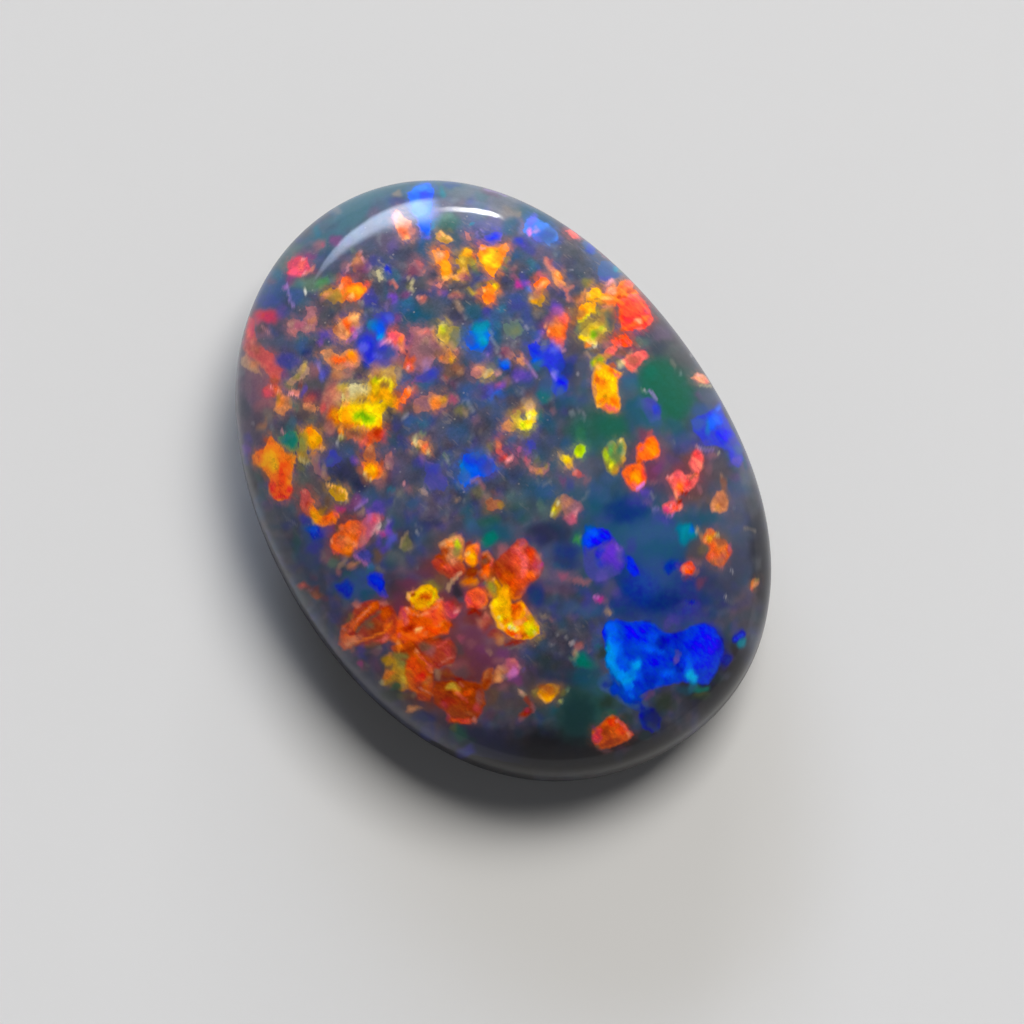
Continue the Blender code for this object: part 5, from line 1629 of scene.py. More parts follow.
CENTRE_RIGHT = [
    # Green, teal and blue grounds
    soft("forest", 612, 426, 20, 14, strength=0.6),
    soft("deep_teal", 640, 418, 18, 12, strength=0.5),
    soft("royal", 656, 410, 6, 8, strength=0.5),
    soft("denim", 656, 420, 9, 7, strength=0.6),
    soft("forest", 674, 410, 13, 10, strength=0.6),
    soft("deep_teal", 675, 428, 14, 9, strength=0.5),
    soft("indigo", 684, 446, 15, 9, strength=0.4),
    soft("haze", 673, 443, 2.4, 3, strength=0.35),
    soft("ink", 628, 510, 26, 18, strength=0.7),
    soft("denim", 600, 494, 12, 12, strength=0.5),
    soft("indigo", 604, 518, 12, 8, strength=0.4),
    soft("deep_teal", 596, 505, 10, 12, strength=0.5),
    soft("haze", 590, 491, 3, 3, strength=0.4),
    soft("denim", 608, 478, 8, 7, strength=0.5),
    # Oval green flake with its gold stem
    patch("olive", (602, 452), (606, 446), (610, 441), (615, 442), (619, 450), (620, 462),
          (618, 472), (612, 475), (607, 471), (604, 463), edge=2),
    soft("green", 613, 452, 4, 9, turn=-15, strength=0.9, foil=0.6),
    soft("sage", 612, 443, 4, 4, strength=0.8),
    soft("lime", 606, 456, 3, 9, turn=-12, strength=0.7, foil=1),
    soft("lime", 612, 464, 5, 6, strength=0.8, foil=1),
    soft("lemon", 610, 468, 4, 4, strength=0.9, foil=1),
    soft("mustard", 615, 471, 4, 4, strength=0.7, foil=1),
    soft("olive", 618, 459, 3, 4, strength=0.6),
    patch("gold", (618, 439), (623, 438), (626, 445), (625, 455), (625, 461), (621, 466),
          (620, 457), (620, 447), edge=1.8, strength=0.9),
    soft("straw", 621, 442, 3, 3, strength=0.6, foil=1),
    soft("straw", 623, 453, 2.4, 4, strength=0.8, foil=1),
    soft("olive", 622, 463, 3, 4, strength=0.6, foil=0.7),
    # Pair of fiery flakes
    soft("wine", 643, 437, 8, 8, turn=-30, strength=0.7),
    patch("tangerine", (637, 446), (641, 443), (644, 444), (646, 439), (650, 434), (655, 437),
          (659, 444), (661, 451), (659, 456), (653, 459), (647, 461), (641, 461), (637, 458),
          (637, 452), edge=1.5),
    soft("brick", 650, 435, 4, 3, strength=0.7, foil=1),
    soft("amber", 653, 448, 7, 7, strength=0.6, foil=1),
    soft("orange", 650, 450, 9, 5, strength=0.6, foil=1),
    soft("coral", 640, 447, 3, 4, strength=0.9, foil=1),
    soft("flame", 638, 453, 2.4, 4, strength=0.7, foil=1),
    soft("coral", 657, 455, 4, 3, turn=-30, strength=0.5, foil=1),
    soft("ember", 640, 463, 4, 4, strength=0.9, foil=1),
    soft("brown", 624, 466, 5, 4, strength=0.6),
    patch("tangerine", (622, 472), (627, 466), (633, 464), (641, 463), (645, 467), (647, 475),
          (646, 482), (643, 486), (640, 489), (636, 491), (632, 489), (627, 484), (624, 478),
          edge=1.5),
    soft("ember", 635, 468, 7, 4, strength=0.7, foil=1),
    soft("ember", 626, 474, 3, 5, strength=0.8, foil=1),
    soft("amber", 634, 477, 5, 7, strength=0.85, foil=1),
    soft("scarlet", 644, 474, 3, 9, strength=0.75, foil=1),
    soft("coral", 634, 488, 6, 3, turn=15, strength=0.9, foil=1),
    soft("rust", 628, 479, 3, 3, strength=0.3),
    line("orchid", 3, (637, 489), (641, 487), (644, 484), strength=0.95),
    soft("purple", 642, 490, 4, 3, strength=0.8),
    soft("indigo", 647, 493, 6, 5, strength=0.7),
    soft("violet", 645, 492, 5, 4, strength=0.5),
    # Wine-coloured dusk between the fiery flakes
    soft("wine", 652, 472, 8, 12, strength=0.85),
    soft("plum", 659, 467, 6, 9, turn=15, strength=0.7),
    soft("rosewood", 653, 482, 5, 4, strength=0.4),
    line("haze", 3, (650, 493), (654, 497), strength=0.7),
    soft("lilac", 655, 509, 5, 3, turn=30, strength=0.45),
    soft("mauve_slate", 646, 503, 8, 4, turn=30, strength=0.7),
    soft("violet", 660, 514, 9, 5, strength=0.4),
    soft("indigo", 664, 520, 14, 7, strength=0.8),
    soft("purple", 666, 520, 5, 3, strength=0.3),
    # Red chain
    patch("coral", (689, 464), (692, 454), (697, 449), (701, 450), (703, 455), (703, 464),
          (701, 470), (697, 474), (692, 470), edge=1.8),
    soft("scarlet", 697, 455, 5, 5, strength=0.55, foil=1),
    soft("peach", 698, 464, 4, 5, strength=0.35, foil=1),
    soft("blush", 699, 449, 4, 2, turn=30, strength=0.5),
    soft("ember", 695, 475, 4, 5, strength=0.8, foil=1),
    patch("coral", (666, 478), (671, 474), (677, 470), (681, 471), (685, 475), (693, 475),
          (699, 472), (699, 478), (695, 486), (689, 491), (684, 492), (681, 490), (680, 495),
          (677, 498), (674, 494), (672, 486), edge=1.6),
    soft("rose_red", 679, 474, 6, 4, strength=0.4, foil=1),
    soft("scarlet", 676, 481, 5, 5, strength=0.35, foil=1),
    soft("tangerine", 680, 487, 5, 7, turn=20, strength=0.95, foil=1),
    soft("peach", 677, 495, 2.4, 4, strength=0.9, foil=1),
    soft("blush", 669, 477, 3, 2, strength=0.6),
    soft("scarlet", 689, 483, 5, 5, strength=0.7, foil=1),
    soft("rust", 692, 476, 5, 3, strength=0.8, foil=1),
    soft("brick", 695, 484, 3, 5, turn=20, strength=0.5),
    line("blood", 2.4, (682, 493), (687, 493), strength=0.6),
    soft("rose", 673, 499, 4, 4, strength=0.6),
    patch("coral", (663, 505), (668, 502), (674, 500), (678, 504), (682, 503), (683, 507),
          (679, 511), (674, 512), (672, 514), (668, 511), (664, 509), edge=1.5),
    soft("rose_red", 667, 508, 4, 4, foil=1),
    soft("magenta", 666, 509, 3, 3, strength=0.4),
    soft("blush", 670, 504, 3, 2.4, strength=0.7, foil=1),
    soft("flame", 674, 506, 2.4, 3, strength=0.8, foil=1),
    soft("peach", 680, 507, 3, 2.4, strength=0.7, foil=1),
    soft("blood", 679, 500, 3, 3, strength=0.9),
    soft("orchid", 671, 513, 3, 2, strength=0.6),
    # Blue rim block
    patch("royal", (691, 420), (698, 416), (706, 414), (712, 409), (720, 407), (726, 418),
          (731, 427), (736, 437), (741, 450), (744, 460), (739, 467), (731, 463), (728, 452),
          (718, 446), (706, 446), (699, 438), (693, 430), edge=3.4, strength=0.9, foil=0.25),
    soft("denim", 697, 423, 7, 7, strength=0.6),
    soft("peacock", 707, 426, 4, 9, strength=0.45),
    soft("azure", 713, 421, 7, 9, strength=0.8, foil=0.3),
    soft("azure", 718, 420, 5, 6, strength=0.5, foil=0.3),
    soft("sky", 719, 410, 4, 4, strength=0.5),
    soft("blue_flash", 725, 434, 9, 7, turn=45, strength=0.5, foil=0.3),
    soft("indigo", 733, 442, 6, 7, turn=30, strength=0.7),
    soft("indigo", 704, 443, 7, 4, strength=0.7),
    soft("denim", 737, 451, 5, 6, strength=0.8),
    soft("violet", 736, 461, 6, 5, strength=0.75),
    soft("deep_teal", 744, 463, 3, 6, strength=0.5),
    soft("dusk", 724, 450, 5, 4, strength=0.6),
    line("lilac", 3, (700, 448), (707, 450), (713, 449), strength=0.45),
    soft("rosewood", 713, 455, 9, 5, turn=10, strength=0.6),
    soft("straw", 720, 453, 2, 3, strength=0.4),
    # Brown rim with its orange flake
    soft("umber", 718, 472, 16, 16, strength=0.7),
    soft("rosewood", 708, 468, 5, 7, strength=0.35),
    soft("plum", 735, 478, 6, 7, strength=0.3),
    soft("rim_green", 748, 478, 8, 12, turn=-20, strength=0.4),
    soft("smoke", 752, 504, 8, 18, turn=-8, strength=0.4),
    soft("brown", 700, 500, 12, 9, strength=0.4),
    soft("rust", 724, 483, 4, 9, strength=0.6, foil=0.6),
    soft("tan", 723, 475, 3, 4, strength=0.4),
    patch("copper", (710, 505), (714, 497), (718, 492), (723, 490), (727, 495), (728, 503),
          (727, 511), (720, 513), (712, 512), edge=2),
    soft("mustard", 719, 505, 5, 5, strength=0.5, foil=1),
    soft("orange", 719, 504, 6, 4, strength=0.4, foil=1),
    soft("salmon", 717, 497, 3, 4, strength=0.5, foil=1),
    soft("rust", 724, 498, 3, 5, strength=0.6, foil=1),
    soft("salmon", 713, 510, 3, 3, strength=0.5, foil=1),
    soft("rosewood", 699, 490, 3, 3, strength=0.6),
    soft("rosewood", 691, 498, 3, 2, strength=0.5),
    soft("haze", 733, 508, 2.4, 2, strength=0.5),
    soft("deep_teal", 712, 518, 14, 7, strength=0.6),
]

LOWER_LEFT = [
    # Orange and rose flake with a violet end
    patch("tangerine", (330, 546), (334, 536), (342, 526), (350, 520), (360, 521), (364, 530),
          (360, 540), (360, 548), (350, 552), (338, 552), edge=2.2),
    soft("burnt", 355, 526, 7, 7, strength=0.7, foil=1),
    soft("orange", 350, 536, 9, 6, strength=0.7, foil=1),
    soft("peach", 353, 546, 7, 4, strength=0.7, foil=1),
    patch("rose", (360, 524), (368, 514), (378, 512), (381, 520), (376, 530), (370, 538),
          (364, 548), (356, 548), (362, 538), edge=2.2, foil=0.6),
    soft("rose_red", 374, 518, 5, 6, strength=0.7, foil=0.7),
    soft("orchid", 370, 516, 4, 5, strength=0.4),
    soft("salmon", 364, 540, 6, 6, strength=0.7, foil=0.7),
    soft("crimson", 380, 515, 3, 4, strength=0.5),
    soft("tan", 362, 512, 6, 4, turn=-30, strength=0.6),
    line("lilac", 4, (356, 508), (361, 504), (366, 501), strength=0.6),
    soft("plum", 356, 499, 6, 6, strength=0.7),
    soft("purple", 363, 502, 4, 4, strength=0.5),
    soft("violet", 378, 508, 7, 6, strength=0.85),
    soft("indigo", 386, 504, 7, 5, strength=0.5),
    soft("purple", 370, 511, 4, 4, strength=0.6),
    soft("magenta", 381, 533, 5, 4, strength=0.8, foil=0.4),
    soft("purple", 388, 530, 6, 9, strength=0.9, foil=0.3),
    soft("indigo", 392, 524, 4, 8, strength=0.7),
    soft("periwinkle", 391, 540, 7, 7, strength=0.7, foil=0.3),
    soft("violet", 378, 541, 5, 7, strength=0.8),
    soft("violet", 385, 548, 8, 5, turn=-30, strength=0.8),
    soft("lilac", 387, 520, 4, 4, strength=0.7),
    patch("pearl", (376, 529), (377, 525), (380, 523), (381, 527), (378, 532), edge=1.2, foil=0.3),
    soft("blush", 377, 531, 2.4, 2.4, strength=0.8),
    soft("haze", 384, 524, 4, 3, strength=0.6),
    # Indigo pocket and the vivid blue flake
    patch("indigo", (354, 553), (360, 549), (368, 550), (373, 556), (369, 562), (360, 560),
          edge=2),
    soft("violet", 357, 552, 4, 3, strength=0.5),
    line("orchid", 3, (355, 556), (361, 561), (368, 565), strength=0.55),
    soft("violet", 366, 563, 6, 3, turn=25, strength=0.5),
    soft("denim", 358, 588, 16, 18, strength=0.8),
    soft("denim", 364, 574, 8, 5, strength=0.8),
    soft("sky", 372, 567, 5, 4, strength=0.35),
    soft("teal", 372, 570, 6, 5, strength=0.6),
    soft("deep_teal", 369, 596, 10, 9, strength=0.7),
    patch("royal", (366, 577), (371, 573), (376, 571), (383, 574), (384, 582), (385, 590),
          (388, 596), (384, 600), (379, 596), (374, 590), (368, 585), edge=2, foil=0.2),
    soft("blue_flash", 374, 580, 5, 5, strength=0.6, foil=0.2),
    soft("blue_flash", 380, 585, 4, 8, strength=0.85, foil=0.2),
    soft("purple", 384, 595, 4, 4, strength=0.4),
    # Dull olive and brown wisps
    patch("olive", (399, 547), (402, 538), (407, 532), (411, 540), (413, 549), (404, 553),
          edge=2.4, strength=0.55, foil=0.5),
    line("tan", 2.4, (400, 546), (403, 538), (407, 533), strength=0.5),
    soft("haze_warm", 412, 549, 4, 4, strength=0.5),
    soft("olive", 403, 546, 4, 3, strength=0.4),
    soft("rim_green", 396, 558, 12, 9, strength=0.4),
    soft("brown", 379, 556, 5, 7, strength=0.7, foil=0.5),
    soft("haze_warm", 381, 568, 5, 5, strength=0.5),
    soft("olive", 355, 564, 6, 4, strength=0.5),
    soft("tan", 355, 566, 4, 2, strength=0.4),
    soft("ash", 418, 531, 2.4, 3, turn=-30, strength=0.6),
    line("haze", 2, (416, 525), (423, 530), strength=0.4),
    soft("haze", 418, 567, 2.4, 2, strength=0.5),
    soft("umber", 436, 545, 16, 14, strength=0.6),
    soft("wine", 420, 572, 12, 8, strength=0.35),
    soft("night", 400, 586, 12, 16, strength=0.3),
    # Orange flake with the olive end
    patch("copper", (438, 544), (445, 539), (452, 537), (458, 535), (464, 539), (463, 550),
          (462, 560), (452, 564), (445, 560), (442, 552), edge=2),
    soft("sienna", 445, 551, 5, 5, strength=0.9, foil=1),
    soft("orange", 450, 543, 5, 4, strength=0.9, foil=1),
    soft("apricot", 454, 539, 4, 2.4, strength=0.7, foil=1),
    soft("tan", 442, 543, 4, 2.4, strength=0.6),
    soft("lime", 458, 545, 4, 5, strength=0.85, foil=1),
    soft("lemon", 458, 544, 3, 3, strength=0.4, foil=1),
    soft("olive", 456, 552, 5, 6, strength=0.9, foil=1),
    soft("saffron", 460, 558, 3, 4, strength=0.5, foil=1),
    soft("salmon", 460, 537, 4, 3, strength=0.6),
    soft("burnt", 440, 558, 6, 4, strength=0.8, foil=1),
    patch("russet", (431, 562), (438, 557), (448, 563), (461, 562), (466, 570), (462, 576),
          (450, 579), (441, 574), (434, 567), edge=2.2),
    soft("burnt", 445, 568, 6, 6, strength=0.7, foil=1),
    soft("coral", 446, 569, 4, 4, strength=0.6, foil=1),
    soft("peach", 453, 562, 5, 2.4, turn=-30, strength=0.6, foil=1),
    soft("russet", 458, 568, 6, 5, strength=0.5, foil=1),
    line("tan", 3.4, (461, 573), (455, 578), (449, 585), (449, 591), strength=0.9),
    line("peach", 2, (460, 573), (453, 579), strength=0.5),
    soft("olive", 440, 580, 9, 7, strength=0.3),
    # Yellow ring
    soft("wine", 410, 586, 12, 9, strength=0.8),
    soft("olive", 433, 585, 9, 7, turn=20, strength=0.85, foil=0.6),
    patch("amber", (407, 595), (411, 592), (416, 591), (421, 587), (426, 584), (432, 586),
          (437, 592), (437, 599), (431, 605), (424, 611), (417, 611), (412, 606), (409, 601),
          edge=1.5),
    soft("burnt", 425, 597, 8, 4, turn=-15, foil=1),
    soft("sienna", 414, 594, 4, 3, strength=0.9, foil=1),
    line("yellow", 3.2, (410, 597), (414, 601), (416, 607), (424, 607), (431, 603), (436, 597),
         (434, 591), (428, 587), (421, 591), (416, 596), strength=0.85, foil=1),
    soft("lemon", 434, 593, 3, 4, foil=1),
    line("lemon", 3, (424, 609), (430, 604), (436, 598), strength=0.9, foil=1),
    soft("apricot", 409, 595, 2.6, 3.4, foil=1),
    soft("peach", 414, 592, 2.6, 2, foil=1),
    soft("apricot", 417, 608, 3, 2, strength=0.8, foil=1),
    soft("amber", 420, 603, 6, 3, turn=-15, strength=0.8, foil=1),
    # Broad fire below the ring
    soft("wine", 400, 606, 9, 14, strength=0.7),
    patch("tangerine", (390, 630), (396, 622), (400, 612), (405, 606), (412, 609), (420, 613),
          (430, 607), (437, 599), (444, 599), (444, 612), (447, 618), (451, 624), (448, 633),
          (440, 635), (434, 641), (420, 644), (408, 648), (396, 644), (388, 638), edge=2),
    soft("vermilion", 432, 615, 14, 10, strength=0.8, foil=1),
    soft("flame", 412, 620, 8, 6, strength=0.6, foil=1),
    soft("burnt", 420, 622, 12, 5, strength=0.5, foil=1),
    soft("orange", 440, 612, 5, 8, strength=0.5, foil=1),
    line("peach", 2, (408, 613), (420, 616), (430, 611), (440, 604), strength=0.5, foil=1),
    line("apricot", 2, (424, 634), (436, 628), (446, 620), strength=0.45, foil=1),
    soft("peach", 440, 600, 3, 3, foil=1),
    soft("crimson", 402, 615, 5, 9, strength=0.9, foil=1),
    soft("coral", 405, 621, 4, 5, strength=0.8, foil=1),
    soft("flame", 394, 631, 6, 6, foil=1),
    soft("blood", 408, 629, 9, 5, strength=0.85, foil=1),
    patch("apricot", (414, 630), (418, 627), (423, 627), (421, 630), (417, 632), edge=1.2),
    soft("tangerine", 406, 637, 9, 4, turn=-15, foil=1),
    soft("coral", 398, 636, 3, 3, strength=0.8, foil=1),
    soft("flame", 432, 629, 9, 5, foil=1),
    soft("burnt", 447, 626, 5, 6, strength=0.9, foil=1),
    soft("sienna", 430, 641, 10, 4, turn=-10, strength=0.8, foil=1),
    soft("brown", 436, 636, 6, 2.4, turn=-15, strength=0.7),
    soft("blush", 407, 609, 2.6, 2.6, strength=0.9, foil=1),
    line("crimson", 3, (402, 608), (400, 618), strength=0.6),
    patch("crimson", (443, 604), (448, 601), (455, 606), (460, 611), (456, 617), (450, 619),
          (445, 614), edge=1.8),
    soft("scarlet", 448, 606, 4, 3, strength=0.5, foil=1),
    soft("blush", 457, 611, 3, 3, foil=1),
    soft("night", 458, 593, 8, 11, strength=0.8),
    soft("slate", 460, 600, 5, 4, strength=0.5),
    # Hollow wedge on the left
    patch("russet", (342, 640), (350, 622), (354, 608), (364, 602), (372, 600), (382, 602),
          (392, 606), (398, 618), (396, 632), (386, 642), (372, 647), (356, 646), edge=2.4,
          strength=0.95),
    soft("sienna", 376, 628, 14, 10, turn=-30, strength=0.7, foil=1),
    soft("brown", 370, 627, 9, 4, turn=-35, strength=0.8, foil=0.8),
    soft("olive", 373, 624, 5, 2.6, turn=-30, strength=0.4, foil=0.6),
    line("burnt", 7, (346, 640), (354, 626), (364, 614), (376, 605), strength=0.95, foil=1),
    line("tangerine", 3, (347, 637), (355, 625), (365, 612), (374, 605), strength=0.9, foil=1),
    line("peach", 1.8, (350, 630), (360, 617), (370, 608), strength=0.55, foil=1),
    line("brown", 2.6, (356, 632), (368, 620), (382, 611), strength=0.8, foil=0.8),
    soft("burnt", 386, 612, 6, 7, strength=0.8, foil=1),
    soft("tangerine", 388, 626, 4, 9, strength=0.8, foil=1),
    soft("salmon", 384, 603, 6, 2.6, strength=0.6, foil=1),
    soft("coral", 382, 638, 9, 3, turn=-20, strength=0.8, foil=1),
    line("orange", 2.4, (358, 642), (370, 638), (384, 632), (392, 622), strength=0.7, foil=1),
    soft("salmon", 355, 603, 6, 4, strength=0.8, foil=0.8),
    soft("tangerine", 350, 642, 6, 4, foil=1),
]

LOWER_RIM_LEFT = [
    # Blue pool beside the orange flake
    soft("dusk", 300, 560, 26, 40, turn=-25, strength=0.35),
    soft("denim", 312, 536, 14, 14, strength=0.6),
    soft("royal", 315, 532, 9, 9, strength=0.9, foil=0.2),
    soft("azure", 313, 529, 7, 6, strength=0.45, foil=0.2),
    soft("indigo", 305, 522, 7, 4, strength=0.7),
    soft("indigo", 316, 546, 10, 10, strength=0.8),
    soft("violet", 325, 532, 6, 7, strength=0.5),
    soft("plum", 331, 529, 5, 6, strength=0.6),
    soft("forest", 296, 545, 5, 18, turn=-5, strength=0.35),
    soft("denim", 300, 557, 7, 9, strength=0.35),
    # Grey-green film with pink fibres
    soft("rosewood", 326, 557, 9, 8, turn=-30, strength=0.55),
    soft("haze_warm", 324, 555, 5, 3, turn=-50, strength=0.35),
    soft("sage", 334, 562, 6, 6, strength=0.6),
    soft("tan", 342, 564, 3, 9, turn=35, strength=0.6),
    soft("rosewood", 338, 572, 4, 4, strength=0.7),
    soft("olive", 349, 567, 6, 4, strength=0.35),
    soft("forest", 346, 576, 7, 3, turn=-15, strength=0.4),
    # Blue spot
    soft("denim", 346, 588, 15, 10, strength=0.7),
    soft("royal", 344, 588, 9, 8, strength=0.95, foil=0.2),
    # Dim red streak near the rim
    soft("blood", 309, 589, 12, 5, turn=35, strength=0.4),
    soft("wine", 313, 578, 5, 4, strength=0.35),
    soft("brick", 303, 586, 6, 5, turn=-20, strength=0.95),
    soft("coral", 304, 586, 3, 2.6, strength=0.55),
    soft("rust", 317, 596, 8, 4, turn=12, strength=0.9),
    soft("coral", 317, 597, 4, 2.4, strength=0.25),
    soft("wine", 326, 598, 5, 4, strength=0.5),
    soft("rosewood", 311, 591, 3, 2.4, strength=0.6),
    soft("rim_green", 303, 597, 9, 9, strength=0.3),
    soft("indigo", 336, 617, 9, 8, strength=0.5),
    soft("dusk", 330, 630, 8, 14, strength=0.4),
    # Left ends of the orange flake and of the hollow wedge
    patch("ember", (330, 545), (331, 538), (337, 534), (338, 527), (341, 523), (346, 528),
          (350, 538), (350, 549), (344, 554), (338, 553), (333, 550), edge=1.8),
    soft("brown", 336, 529, 3, 5, turn=25, strength=0.7),
    soft("tangerine", 345, 541, 7, 8, turn=15, strength=0.9, foil=1),
    soft("orange", 348, 542, 4, 6, strength=0.6, foil=1),
    soft("rust", 340, 538, 4, 3, strength=0.6, foil=1),
    soft("peach", 331, 540, 2.4, 3, strength=0.7, foil=1),
    soft("coral", 335, 552, 4, 2.4, turn=35, strength=0.8, foil=1),
    soft("salmon", 341, 527, 3, 3, strength=0.4),
    soft("brown", 337, 557, 5, 2.4, turn=25, strength=0.6),
    patch("ember", (339, 644), (340, 635), (341, 627), (347, 623), (354, 619), (357, 624),
          (352, 632), (356, 638), (352, 648), (343, 650), edge=1.8),
    soft("olive", 352, 617, 4, 4, turn=-30, strength=0.4),
    soft("salmon", 344, 628, 3, 2.6, strength=0.6, foil=1),
    soft("coral", 348, 631, 3, 2, turn=-25, strength=0.8, foil=1),
    soft("blood", 350, 633, 5, 2.4, turn=-20, strength=0.85, foil=1),
    soft("tangerine", 347, 639, 6, 5, foil=1),
    soft("apricot", 349, 643, 4, 3, strength=0.5, foil=1),
]

